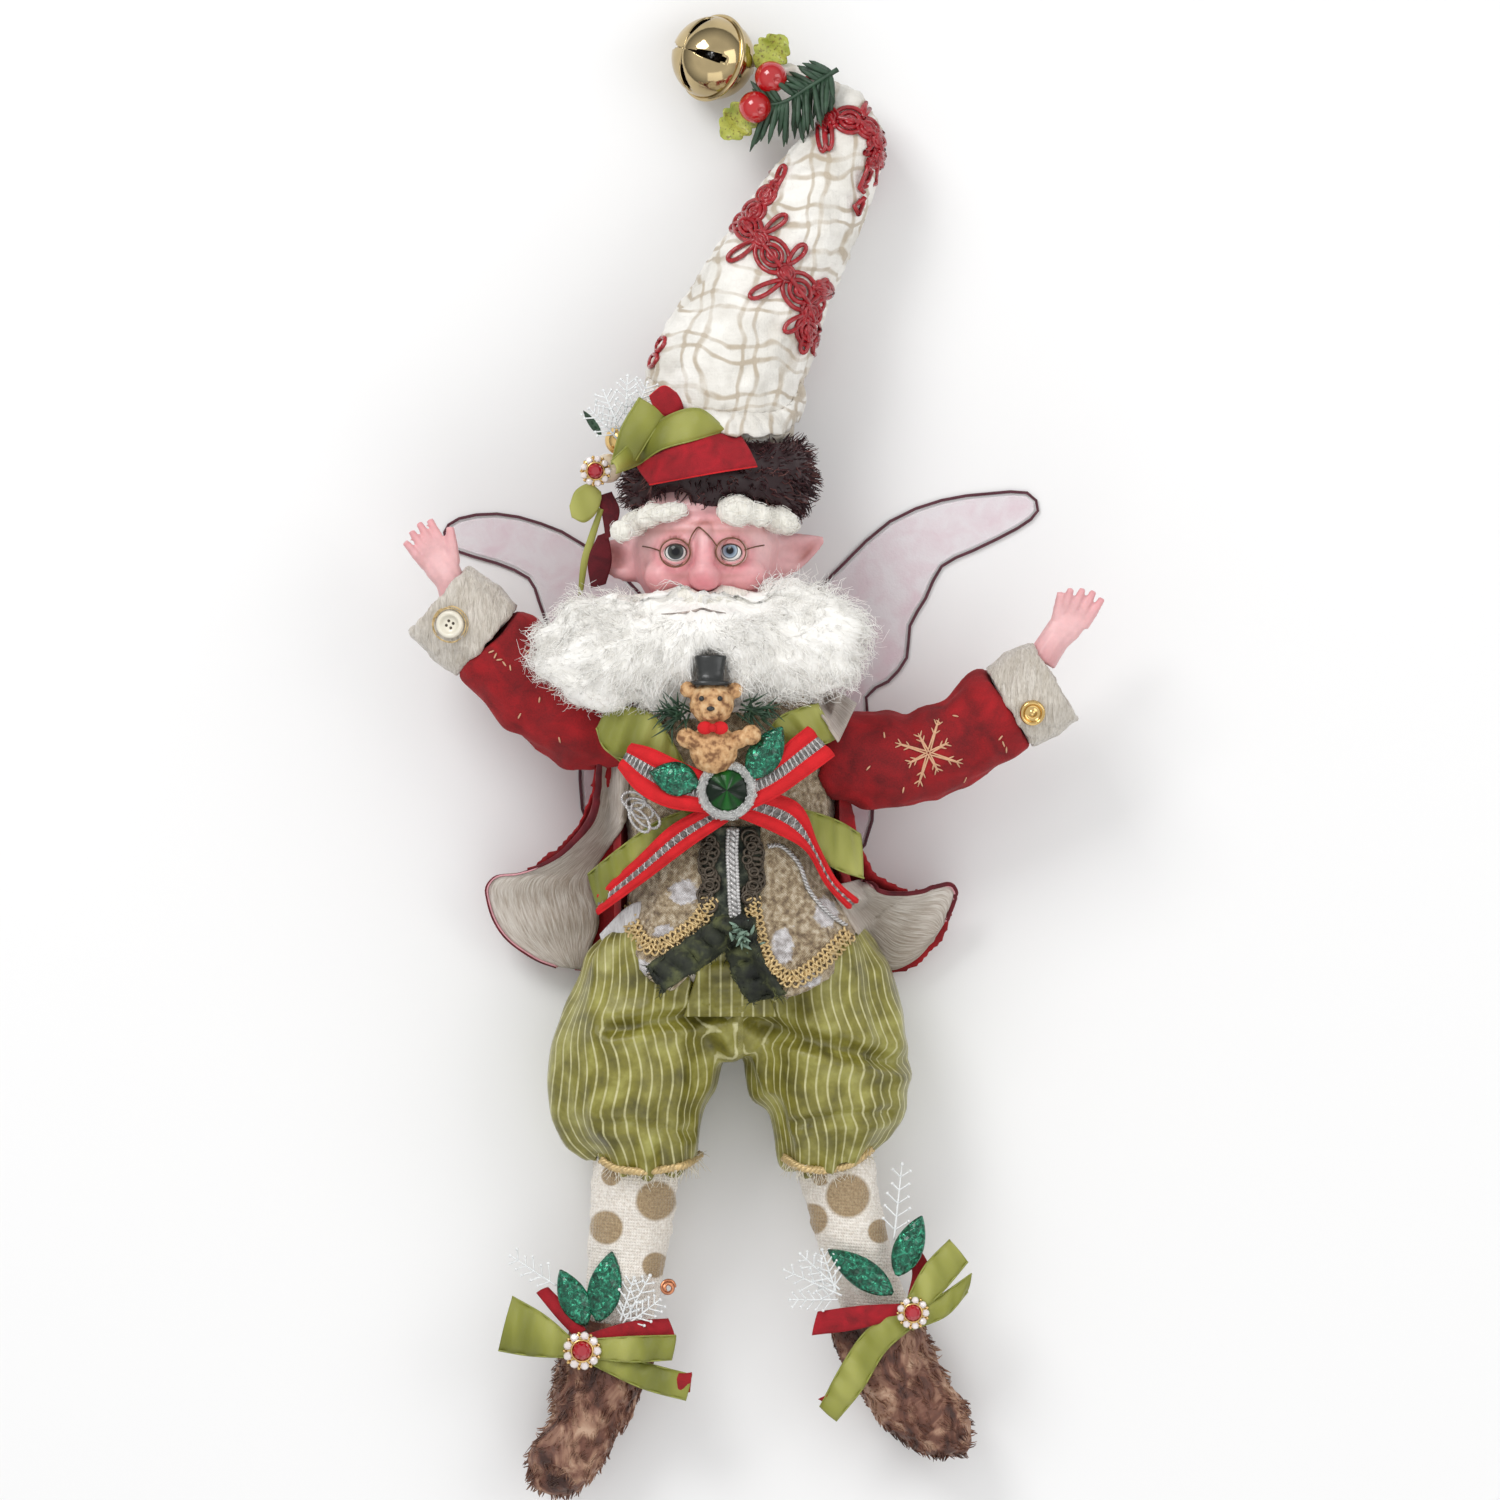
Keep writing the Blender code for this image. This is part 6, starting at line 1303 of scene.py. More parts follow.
def chest_bows():
    """Olive satin under a wide ribbon of red velvet and silver mesh, with silver cord loops."""
    under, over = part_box("chest_bow_olive")[1].z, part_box("chest_bow_red")[1].z - .0006
    vest_top = tree_of("vest", "coat_lining_right", "coat_lining_left", "sleeve_left", "beard")

    def end(x, y, lift):
        p = spot(x, y)
        return max(top(vest_top, p[0], p[1], .03) + lift, under - .014)
    olive = [
        (arc([(690, 775), (676, 748), (655, 717), (632, 708), (608, 708)], under, under - .002, .002),
         arc([(700, 790), (655, 768), (625, 760), (605, 748), (597, 728)], under, under - .002, .0005)),
        (arc([(598, 731), (606, 748), (622, 762)], under - .003, under - .003),
         arc([(612, 710), (640, 738), (668, 764)], under - .003, under - .002)),
        (arc([(757, 760), (775, 722), (798, 709), (818, 704)], under, under - .002, .002),
         arc([(775, 772), (800, 742), (822, 744), (836, 738)], under, under - .003, .0005)),
        (arc([(700, 806), (660, 820), (620, 848), (588, 874)], under, end(588, 874, .001), .001),
         arc([(712, 822), (680, 850), (640, 880), (597, 908)], under, end(597, 908, .001), .0005)),
        (arc([(760, 800), (809, 811), (838, 821), (860, 834)], under, end(858, 834, .001), .001),
         arc([(750, 815), (800, 845), (835, 868), (864, 878)], under, end(862, 876, .001), .0005)),
    ]
    ribbon("bow_olive", olive, FINISH["olive_satin"], "chest_bow_olive", "olive_satin", .0003,
           FINISH["olive_edge"], .0004, .0004)
    bands = (
        (arc([(716, 778), (680, 762), (652, 749), (632, 744)], over, over - .0035, .0022),
         arc([(709, 812), (668, 806), (638, 790), (619, 767)], over, over - .0035, .0015)),
        (arc([(738, 776), (771, 757), (794, 738), (808, 727)], over, over - .0035, .0022),
         arc([(742, 812), (776, 796), (808, 774), (834, 755)], over, over - .0035, .0015)),
        (arc([(712, 804), (672, 826), (638, 858), (600, 892)], over - .001, end(600, 892, .0025), .001),
         arc([(728, 820), (690, 846), (645, 880), (598, 914)], over - .001, end(598, 914, .0025), .001)),
        (arc([(750, 788), (798, 804), (818, 846), (836, 880), (858, 900)], over - .001, end(856, 902, .0025), .001),
         arc([(736, 815), (776, 832), (806, 850), (826, 884), (848, 908)], over - .001, end(850, 904, .0025), .001)),
    )
    red, mesh, cords = [], [], []
    for a, b in bands:
        red.append(between(a, b, 0.0, .33))
        red.append(between(a, b, .67, 1.0))
        mesh.append(between(a, b, .30, .70))
        for share in (.0, .33, .67, 1.0):
            edge = between(a, b, share, share)[0]
            cords.append(tube(edge + UP * .0002, .00030, 6))
    ribbon("bow_red", red, FINISH["bright_velvet"], "chest_bow_red", "red_velvet", .0006, None, .0007)
    made("bow_red_edge", *joined(cords), FINISH["bright_velvet"], None, "red_velvet")
    ribbon("bow_mesh", mesh, FINISH["net"], None, "silver_foil", .0002, None, .0003)
    threads = []
    for a, b in mesh:
        for k in range(1, 39):
            way = 1 if k % 2 else -1
            i, j = k, min(39, max(0, k + way))
            line = np.linspace(a[i], b[j], 7) + UP * (.0006 * np.sin(np.linspace(0, math.pi, 7)))[:, None]
            threads.append(tube(line, .00016, 5))
    made("bow_threads", *joined(threads), FINISH["silver_thread"], None, "silver_foil")
    loops = []
    for x, y, wide, tall, turn in ((640, 808, 15, 8, .5), (646, 815, 17, 9, .7),
                                   (634, 800, 12, 8, .3), (640, 820, 14, 7, .9)):
        a = np.linspace(0, 2 * math.pi, 40, endpoint=False)
        c = spot(x, y, under - .0015)
        u = np.array((math.cos(turn), -math.sin(turn), 0))
        v = np.array((math.sin(turn), math.cos(turn), 0))
        path = c + (np.cos(a)[:, None] * u * wide + np.sin(a)[:, None] * v * tall) * PIXEL
        loops.append(twisted(path + UP * (.0008 * np.sin(a * 2))[:, None], .00045, 2, .0016, 6, True))
    made("bow_cord", *joined(loops), FINISH["silver_thread"], None, "silver_foil")


def chest_stone():
    """A dark green stone in a glittering silver ring, with two foil leaves."""
    centre = spot(727, 790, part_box("chest_setting")[0].z + .0012)
    angle = np.linspace(0, 2 * math.pi, 72, endpoint=False)
    ring = centre + np.stack([np.cos(angle), np.sin(angle), 0 * angle], 1) * 25 * PIXEL
    parts = [tube(ring, .0012, 14, True, 1.05)]
    rng = np.random.default_rng(9)
    for k in range(170):
        a, lean = rng.random() * 6.283, rng.random() * 3.0 + .07
        out = np.array((math.cos(a), math.sin(a), 0))
        spotted = centre + out * 25 * PIXEL + (out * math.cos(lean) + UP * math.sin(lean)) * .0012
        parts.append(gem(spotted, .00026 + .00014 * rng.random(), out * math.cos(lean) + UP * math.sin(lean), 5, .8))
    base, base_faces = ball(centre - UP * .0004, 26 * PIXEL, 8, 32, (1, 1, .12))
    parts.append((base, base_faces))
    made("setting", *joined(parts), FINISH["glitter"], "chest_setting", "silver_foil", False)
    sides, stone_z = 64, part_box("chest_stone")[0].z
    turn = np.arange(sides) * 2 * math.pi / sides
    ridge = np.abs(np.cos(4 * turn))
    rings = []
    for share, lift in ((.01, .0021), (.25, .0018), (.50, .0014), (.75, .0010), (.92, .0006), (1.0, .0001), (.9, 0)):
        high = stone_z + lift + .00022 * ridge * 4 * share * (1 - share)
        rings.append(np.stack([centre[0] + np.cos(turn) * share * 20.5 * PIXEL,
                               centre[1] + np.sin(turn) * share * 20.5 * PIXEL, high], 1))
    verts, faces = skin_rings(np.array(rings))
    thing = made("stone", verts, faces, FINISH["green_stone"], "chest_stone", "green_crystal", False)
    # painted reflection: a bright band across the stone and eight lighter facets
    facet_glint = .42 - .40 * np.cos(2 * turn) + .22 * np.cos(8 * turn)
    painted(thing, "facet_glint", np.tile(np.clip(facet_glint, 0, 1), len(rings)))
    for word, base, tip, half in (("right", (699, 784), (650, 772), 17), ("left", (750, 778), (782, 727), 17)):
        node = "chest_leaf_" + word
        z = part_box(node)[0].z + .0008
        made("foil_" + node, *leaf(spot(*base, z + .0006), spot(*tip, z), half * PIXEL),
             FINISH["foil"], node, "foil_leaf")


def bear():
    """A little cast bear in a top hat and a red bow tie, with pine bits behind it."""
    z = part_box("teddy_bear")[0].z + .0042
    limbs = [ball(spot(714, 749, z), .0062, 14, 18, (.98, 1.02, .72)),
             ball(spot(712, 704, z + .0012), .0056, 14, 18, (1.0, .96, .85)),
             ball(spot(711, 713, z + .0048), .0023, 10, 12, (1.1, .9, .8))]
    for x, y in ((688, 690), (735, 691)):
        limbs.append(ball(spot(x, y, z + .0005), .0021, 10, 12, (1, 1, .6)))
    for x, y, wide in ((687, 738, .0026), (695, 741, .0024), (751, 735, .0026), (740, 739, .0024)):
        limbs.append(ball(spot(x, y, z + .0018), wide, 10, 12))
    thing = remeshed("bear_body", "teddy_bear", .00045, FINISH["bear"], 2, limbs)

    def change(points, normals):
        return points + normals * (fractal(points * np.array((1.6, .7, 1.0)), 800, 2) * .00022)[:, None]
    moved(thing, change)
    hat_z = z + .0024
    stations = ((686, 18, 0.0), (682, 20, 0.0), (681, 13, 0.0), (671, 13.5, 0.0), (658, 16, 0.0), (656, 15, 0.0))
    path = np.array([spot(711, y, hat_z) for y, _, _ in stations])
    made("bear_hat", *tube(path, [r * PIXEL for _, r, _ in stations], 28, False, .62),
         FINISH["black_felt"], None, "bear_resin")
    small = [ball(spot(702, 699, z + .0053), .0007, 8, 10), ball(spot(720, 699, z + .0053), .0007, 8, 10),
             ball(spot(711, 709, z + .0067), .0008, 8, 10, (1.3, .8, .8))]
    made("bear_eyes", *joined(small), FINISH["black_felt"], None, "bear_resin")
    knot = [ball(spot(713, 728, z + .0052), .0011, 8, 10)]
    for way in (-1, 1):
        knot.append(ball(spot(713 + way * 7.5, 728, z + .0046), .0020, 8, 12, (1.0, .85, .5)))
    made("bear_bow", *joined(knot), FINISH["bright_velvet"], None, "bear_resin")
    rng = np.random.default_rng(10)
    needles = []
    for x, y, count in ((680, 716, 46), (752, 712, 46)):
        for k in range(count):
            root = spot(x + rng.normal() * 7, y + rng.normal() * 5, z - .0008)
            out = unit(np.array(((x - 714) * .02 + rng.normal() * .6, rng.normal() * .9, .3 + .3 * rng.random())))
            path = root + out * np.linspace(0, .0042 + .002 * rng.random(), 4)[:, None]
            needles.append(tube(path, (.00028, .00032, .0002, .00006), 5))
    made("bear_pine", *joined(needles), FINISH["pine"], None, "pine_green")


def hat_side():
    """Ribbons, baubles, a jewel and frosted twigs at the hat's side."""
    band = tree_of("hat_fur_band", "hat_ribbon_red", "hat_ribbon_olive", "hat_cone")
    red_z, olive_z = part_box("hat_ribbon_red")[1].z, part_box("hat_ribbon_olive")[1].z

    def lie(points, lift):
        return laid(band, points, lift, red_z - .004)
    ribbon("side_red", [(lie([(637, 466), (668, 449), (700, 437), (738, 434)], .0022),
                         lie([(650, 486), (690, 479), (725, 473), (757, 468)], .0022)),
                        (arc([(650, 398), (664, 388), (677, 395)], olive_z - .001, olive_z - .001, .001),
                         arc([(657, 413), (672, 418), (684, 410)], olive_z - .001, olive_z - .001, .001))],
           FINISH["ribbon_velvet"], "hat_ribbon_red", "red_velvet", .0006, FINISH["bright_velvet"], .0006)
    ribbon("side_olive", [(lie([(724, 429), (700, 411), (672, 416), (640, 437), (612, 463)], .0034),
                           lie([(723, 433), (694, 442), (662, 451), (640, 465), (617, 475)], .0034)),
                          (arc([(612, 466), (622, 430), (640, 399)], olive_z, olive_z - .001, .0012),
                           arc([(636, 462), (655, 432), (668, 418)], olive_z, olive_z - .001, .0012))],
           FINISH["olive_satin"], "hat_ribbon_olive", "olive_satin", .0003, FINISH["olive_edge"], .0008)
    for word, finish in (("upper", "gold"), ("lower", "pearl")):
        node = "hat_bauble_" + word
        low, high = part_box(node)
        centre = np.array((low + high) / 2)
        radius = (high.y - low.y) / 2
        verts, faces = joined([ball(centre, radius, 24, 32),
                               tube(np.array([centre + np.array((.6, .3, .2)) * radius * s for s in (1.15, 1.45)]),
                                    radius * .32, 10)])
        made("bauble_" + word, verts, faces, FINISH[finish], node, "gold_bauble")
    low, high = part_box("hat_jewel")
    jewel("side_jewel", spot(596, 472, high.z - .0012), 16 * PIXEL, "hat_jewel", "red_crystal")
    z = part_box("hat_streamer")[1].z
    ribbon("side_tails", [(arc([(596, 497), (602, 515), (606, 540)], z, z - .001),
                           arc([(612, 492), (620, 512), (612, 536)], z, z - .001)),
                          (arc([(598, 536), (588, 560), (591, 588)], z - .001, z - .004),
                           arc([(608, 532), (612, 560), (606, 584)], z - .001, z - .004))],
           FINISH["wine_velvet"], "hat_streamer", "red_velvet", .0005)
    ribbon("side_green", [(arc([(570, 506), (576, 491), (590, 484), (601, 492)], z + .001, z + .001, .001),
                           arc([(572, 518), (585, 523), (597, 513), (602, 499)], z + .001, z + .001, .0)),
                          (arc([(599, 508), (589, 535), (581, 562), (578, 596)], z, z - .004),
                           arc([(604, 510), (596, 537), (588, 564), (583, 594)], z, z - .004))],
           FINISH["olive_satin"], None, "olive_satin", .0003)
    rng = np.random.default_rng(11)
    parts = []
    for root, tip in (((622, 436), (604, 392)), ((626, 430), (628, 377)),
                      ((634, 420), (648, 384)), ((618, 440), (590, 410))):
        parts.append(sprig(spot(*root, olive_z - .003), spot(*tip, olive_z - .003), 6, rng, .00028, .0042))
    made("side_frost", *joined(parts), FINISH["frost"], None, "silver_foil")
    made("side_leaf", *leaf(spot(602, 437, olive_z - .002), spot(584, 412, olive_z - .002), 4 * PIXEL, .0006),
         FINISH["pine"], None, "pine_green")


def boot_trims():
    """A ribbon bow, a jewel, foil leaves and frosted twigs on each boot."""
    rng = np.random.default_rng(12)
    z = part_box("boot_bow_right")[1].z
    olive = [(arc([(575, 1342), (545, 1316), (512, 1297)], z, z - .0015, .0018),
              arc([(570, 1358), (530, 1356), (498, 1351)], z, z - .0015, .001)),
             (arc([(588, 1340), (630, 1337), (676, 1336)], z, z - .001, .0018),
              arc([(588, 1358), (630, 1362), (672, 1360)], z, z - .001, .001)),
             (arc([(590, 1346), (640, 1362), (692, 1376)], z - .001, z - .003),
              arc([(586, 1362), (640, 1388), (686, 1401)], z - .001, z - .003))]
    red = [(arc([(585, 1335), (630, 1322), (668, 1319)], z - .0015, z - .003, .0012),
            arc([(590, 1346), (640, 1344), (676, 1341)], z - .0015, z - .003, .0012)),
           (arc([(575, 1338), (556, 1318), (536, 1294)], z - .0015, z - .004, .0012),
            arc([(586, 1330), (570, 1310), (548, 1288)], z - .0015, z - .004, .0012)),
           (arc([(676, 1374), (684, 1374), (692, 1373)], z - .0028, z - .0028),
            arc([(678, 1392), (684, 1394), (690, 1393)], z - .0028, z - .0028))]
    ribbon("boot_olive_right", olive, FINISH["olive_satin"], "boot_bow_right", "olive_satin", .0003,
           FINISH["olive_edge"], .0008, .0003)
    ribbon("boot_red_right", red, FINISH["ribbon_velvet"], None, "red_velvet", .0006, None, .0006)
    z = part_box("boot_bow_left")[1].z
    olive = [(arc([(905, 1304), (925, 1266), (950, 1240)], z, z - .0015, .0018),
              arc([(915, 1318), (944, 1290), (968, 1262)], z, z - .0015, .001)),
             (arc([(908, 1312), (940, 1296), (972, 1274)], z - .001, z - .002, .001),
              arc([(912, 1330), (946, 1316), (968, 1292)], z - .001, z - .002, .001)),
             (arc([(905, 1308), (868, 1330), (842, 1366), (820, 1408)], z - .001, z - .004, .001),
              arc([(914, 1326), (885, 1352), (862, 1390), (836, 1422)], z - .001, z - .004, .001))]
    red = [(arc([(900, 1304), (860, 1306), (818, 1312)], z - .0015, z - .003, .0012),
            arc([(900, 1318), (856, 1330), (812, 1336)], z - .0015, z - .003, .0012)),
           (arc([(898, 1316), (870, 1340), (850, 1368)], z - .0022, z - .004),
            arc([(906, 1328), (885, 1350), (866, 1374)], z - .0022, z - .004)),
           (arc([(818, 1400), (824, 1404), (832, 1416)], z - .0042, z - .0042),
            arc([(834, 1392), (842, 1398), (848, 1408)], z - .0042, z - .0042)),
           (arc([(908, 1296), (912, 1270), (900, 1240)], z - .003, z - .004),
            arc([(918, 1296), (930, 1270), (914, 1240)], z - .003, z - .004))]
    ribbon("boot_olive_left", olive, FINISH["olive_satin"], "boot_bow_left", "olive_satin", .0003,
           FINISH["olive_edge"], .0008, .0003)
    ribbon("boot_red_left", red, FINISH["ribbon_velvet"], None, "red_velvet", .0006, None, .0006)
    for word, x, y, radius in (("right", 582, 1351, 20), ("left", 913, 1313, 17)):
        node = "boot_jewel_" + word
        jewel(node + "_set", spot(x, y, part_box(node)[1].z - .0012), radius * PIXEL, node, "red_crystal")
        leaves = {"right": (((586, 1326), (560, 1270), 15), ((598, 1322), (612, 1252), 17)),
                  "left": (((893, 1294), (828, 1250), 15), ((897, 1276), (922, 1216), 15))}[word]
        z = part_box("boot_leaves_" + word)[1].z
        parts = [leaf(spot(*a, z - .0016), spot(*b, z - .0020), w * PIXEL) for a, b, w in leaves]
        made("boot_foil_" + word, *joined(parts), FINISH["foil"], "boot_leaves_" + word, "foil_leaf")
        twigs = {"right": (((556, 1286), (510, 1256)), ((620, 1322), (634, 1278)),
                           ((626, 1326), (660, 1300)), ((622, 1326), (650, 1276))),
                 "left": (((894, 1240), (902, 1164)), ((842, 1296), (784, 1270)), ((838, 1300), (790, 1300)),
                          ((840, 1290), (800, 1254)), ((836, 1292), (822, 1250)))}[word]
        parts = [sprig(spot(*a, z - .0030), spot(*b, z - .0030), 5, rng, .00030, .0036) for a, b in twigs]
        made("boot_frost_" + word, *joined(parts), FINISH["frost"], None, "silver_foil")


def buttons():
    """An ivory button with four holes and gold thread, and a gold one."""
    for word, radius, finish in (("right", 14, "ivory"), ("left", 13, "gold")):
        node = "cuff_button_" + word
        co = vertices_of(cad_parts[node])
        plane = np.linalg.svd(co - co.mean(0), full_matrices=False)[2][2]
        normal = plane * np.sign(plane[2])
        centre = co.mean(0)
        u = unit(np.cross(normal, (.2, .9, .1)))
        v = np.cross(normal, u)
        r = radius * PIXEL
        rows = {"ivory": ((0.0, .10), (.30, .10), (.60, .12), (.66, .34), (.80, .42), (.94, .34), (1.0, .12),
                          (.97, -.2), (.6, -.28), (0.0, -.28)),
                "gold": ((0.0, .30), (.22, .26), (.36, .04), (.62, .06), (.70, .30), (.84, .40), (.96, .28),
                         (1.0, .06), (.9, -.2), (0.0, -.28))}[finish]
        a = np.linspace(0, 2 * math.pi, 40, endpoint=False)
        disc = np.cos(a)[:, None] * u + np.sin(a)[:, None] * v
        rings = np.array([centre + r * (max(share, .001) * disc + lift * normal) for share, lift in rows])
        made("button_" + word, *skin_rings(rings), FINISH[finish], node,
             "ivory_button" if finish == "ivory" else "gold_bauble")
        holes, thread = [], []
        if finish == "ivory":
            # painted shade: a dark disc sits in each of the four holes
            for k in range(4):
                t = k * math.pi / 2 + .5
                hole = centre + r * (.26 * (math.cos(t) * u + math.sin(t) * v) + .11 * normal)
                holes.append(ball(hole, r * .11, 8, 12, (1, 1, .35)))
            made("button_holes", *joined(holes), FINISH["dark_thread_and_hole_shade"], None, "ivory_button")
        rng = np.random.default_rng(13)
        for k in range(26):
            t = rng.random() * 6.283
            span = .5 + rng.random()
            b = np.linspace(t, t + span, 12)[:, None]
            loop = centre + r * (1.10 + .22 * rng.random()) * (np.cos(b) * u + np.sin(b) * v)
            thread.append(tube(loop + normal * r * (-.05 + .12 * np.sin((b - t) / span * math.pi)), .00012, 5))
        if finish == "ivory":
            made("button_thread", *joined(thread), FINISH["gold_thread"], None, "ivory_button")


def embroidery():
    """A gold starburst, flecks and a row of stitches on the sleeves."""
    tree = tree_of(bpy.data.objects["sleeve_velvet_left"], bpy.data.objects["sleeve_velvet_right"])
    rng = np.random.default_rng(14)
    parts = []

    def stitch(a, b, radius=.00022):
        line = laid(tree, [(a[0] + (b[0] - a[0]) * s, a[1] + (b[1] - a[1]) * s) for s in np.linspace(0, 1, 7)], .0002)
        parts.append(tube(line, np.array((.5, 1, 1.2, 1.2, 1.2, 1, .5)) * radius, 5))
    middle = (928, 753)
    for k in range(8):
        angle = k * math.pi / 4 + .3
        reach = (34, 22)[k % 2] * (.9 + .2 * rng.random())
        tip = (middle[0] + math.cos(angle) * reach, middle[1] + math.sin(angle) * reach)
        for off in (-1.3, 1.3):
            stitch((middle[0] + math.sin(angle) * off, middle[1] - math.cos(angle) * off), tip)
        for share in (.55, .8):
            root = (middle[0] + math.cos(angle) * reach * share, middle[1] + math.sin(angle) * reach * share)
            for way in (-.7, .7):
                stitch(root, (root[0] + math.cos(angle + way) * 7, root[1] + math.sin(angle + way) * 7), .00017)
    for x, y in ((884, 735), (903, 790), (868, 768), (955, 716), (965, 780), (1000, 738), (1003, 744),
                 (1006, 750), (938, 722), (496, 656), (500, 660), (505, 664), (511, 668), (492, 652),
                 (540, 700), (560, 740), (520, 716), (552, 690), (528, 652)):
        angle = rng.random() * 3.1
        dx, dy = math.cos(angle) * 3, math.sin(angle) * 3
        stitch((x - dx, y - dy), (x + dx, y + dy), .00020)
    made("sleeve_stitches", *joined(parts), FINISH["star_thread"], None, "silver_braid")


# Cloth that lies on what is below it

def settled_heights(flat, tree, lift, passes=8):
    """Heights of cloth that spans the hollows of what it lies on; flat is (along, across, 2)."""
    z = np.array([[top(tree, x, y, np.nan) for x, y in row] for row in flat])
    for _ in range(80):
        holes = np.isnan(z)
        if not holes.any():
            break
        pad = np.pad(z, 1, constant_values=np.nan)
        near = np.stack([pad[:-2, 1:-1], pad[2:, 1:-1], pad[1:-1, :-2], pad[1:-1, 2:]])
        known = ~np.isnan(near)
        mean = np.where(known, near, 0).sum(0) / np.maximum(known.sum(0), 1)
        z = np.where(holes & known.any(0), mean, z)
    floor_z = z
    for _ in range(passes):
        pad = np.pad(z, 1, mode="edge")
        z = np.maximum(floor_z, (pad[:-2, 1:-1] + pad[2:, 1:-1] + pad[1:-1, :-2] + pad[1:-1, 2:]) / 4)
    return z + lift


def laid_sheet(name, edge_a, edge_b, tree, lift, finish, node=None, slot=None, along=60, across=14,
               thick=.0005, ripple=0.0, pitch=.006, held=None):
    """A sheet between two lines of pixels that lies on what is below it."""
    a = smooth_path([spot(x, y)[:2] for x, y in edge_a], along)
    b = smooth_path([spot(x, y)[:2] for x, y in edge_b], along)
    s = np.linspace(0, 1, across)
    flat = a[:, None] * (1 - s[None, :, None]) + b[:, None] * s[None, :, None]
    grid = np.dstack([flat, settled_heights(flat, tree, lift)])
    run = np.r_[0, np.cumsum(np.linalg.norm(np.diff(grid, axis=0), axis=-1).mean(1))]
    if ripple:
        wave = np.sin(run[:, None] / pitch * 2 * math.pi + 2.0 * s[None, :])
        grid[..., 2] += ripple * (1 + wave) * (4 * s * (1 - s))[None, :]
    steps, cross = np.diff(grid, axis=0), np.diff(grid, axis=1)
    n = unit(np.cross(np.gradient(grid, axis=0), np.gradient(grid, axis=1)))
    n = np.where(n[..., 2:3] < 0, -n, n)
    above, below = grid + n * thick / 2, grid - n * thick / 2
    thing = made(name, *skin_rings(np.concatenate([above, below[:, ::-1]], 1)), finish, node, slot)
    wide = np.linalg.norm(cross, axis=-1).sum(1)
    share = np.r_[s, s[::-1]]
    painted(thing, "share", np.tile(share, along))
    painted(thing, "across", (share[None, :] * wide.mean() + 0 * run[:, None]).ravel())
    painted(thing, "along", np.repeat(run, 2 * across))
    if held:
        area = float(np.linalg.norm(np.cross(steps[:, :-1], cross[:-1]), axis=-1).sum())
        length = float(np.linalg.norm(steps, axis=-1).sum(0).max())
    return thing


def draped(tree, points, lift, below=False):
    """Pixels laid on a surface from above or from below; those beside it go to its nearest point."""
    out = []
    for x, y in points:
        p = spot(x, y)
        start, way = (-.1, 1) if below else (.3, -1)
        hit = tree.ray_cast(Vector((p[0], p[1], start)), Vector((0, 0, way)))[0]
        if hit is None:
            near, normal = tree.find_nearest(Vector((p[0], p[1], .028)))[:2]
            out.append(np.array(near + normal * lift))
        else:
            out.append(np.array(hit) - way * lift * UP)
    return np.array(out)


def lace(tree, points, width, pitch, radius=.00026, lift=.0005, threads=3):
    """Gimp: threads that weave from side to side along a line of pixels."""
    rough = smooth_path(points, 60)
    length = np.linalg.norm(np.diff(rough, axis=0), axis=1).sum()
    line = smooth_path(points, int(length / pitch * 11))
    run = np.linspace(0, length, len(line))
    t = tangents(line)
    side = np.stack([-t[:, 1], t[:, 0]], 1)
    parts = []
    for k in range(threads):
        phase = run / pitch * 2 * math.pi + k * 2 * math.pi / threads
        wave = line + side * (np.sin(phase) * width / 2)[:, None]
        path = draped(tree, wave, lift)
        path[:, 2] += radius * (1 + np.cos(phase * 1.5))
        parts.append(tube(path, radius, 6))
    return parts


def ringlets(tree, points, radius, every, cord, lift):
    """Overlapping rings of cord along a line of pixels."""
    line = smooth_path(points, 200)
    length = np.linalg.norm(np.diff(line, axis=0), axis=1).sum()
    a = np.linspace(0, 2 * math.pi, 18, endpoint=False)
    parts = []
    for k in range(int(length / every) + 1):
        x, y = line[min(199, int(k * every / length * 199))]
        ring = [(x + radius * math.cos(t), y + radius * .9 * math.sin(t)) for t in a]
        parts.append(tube(draped(tree, ring, lift + cord * (1 + k % 2)), cord, 6, True))
    return parts


# Fleece that is held close to the surface under it

def held_in(paths, tree, reach):
    """Draws hairs that stray further than reach from a surface back towards it."""
    flat = paths.reshape(-1, 3).copy()
    limits = np.broadcast_to(reach, paths.shape[:2]).ravel()
    for i, p in enumerate(flat):
        near, normal, _, far = tree.find_nearest(Vector(p))
        if far > limits[i] and (Vector(p) - near).dot(normal) > 0:
            flat[i] = np.array(near) + (p - np.array(near)) * (limits[i] / far)
    return flat.reshape(paths.shape)


# The bear's outline in front of the beard: rings of pixels (x, y, radius)
BEAR_ROOM = ((711, 667, 12), (711, 677, 15), (712, 700, 22), (714, 745, 36), (687, 739, 12), (751, 737, 12))


def below_bear(points, under=0.0, slope=6.0):
    """Keeps the beard behind the bear and behind the bows, by a little more where under is set."""
    room = np.full(points.shape[:-1], 1.0)
    for x, y, radius in BEAR_ROOM:
        c = spot(x, y)
        far = np.hypot(points[..., 0] - c[0], points[..., 1] - c[1]) - radius * PIXEL
        room = np.minimum(room, far)
    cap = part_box("teddy_bear")[0].z - .0004 - under + np.maximum(room, 0) * slope
    low = spot(0, 702)[1] - points[..., 1]
    cap = np.minimum(cap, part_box("chest_bow_olive")[1].z + .010 - 3.0 * low)
    points[..., 2] = np.minimum(points[..., 2], np.maximum(cap, .030))
    return points


BEARD_FOOT = ((515, 560, 600, 650, 690, 740, 800, 840, 885), (668, 698, 716, 716, 706, 704, 712, 704, 688))


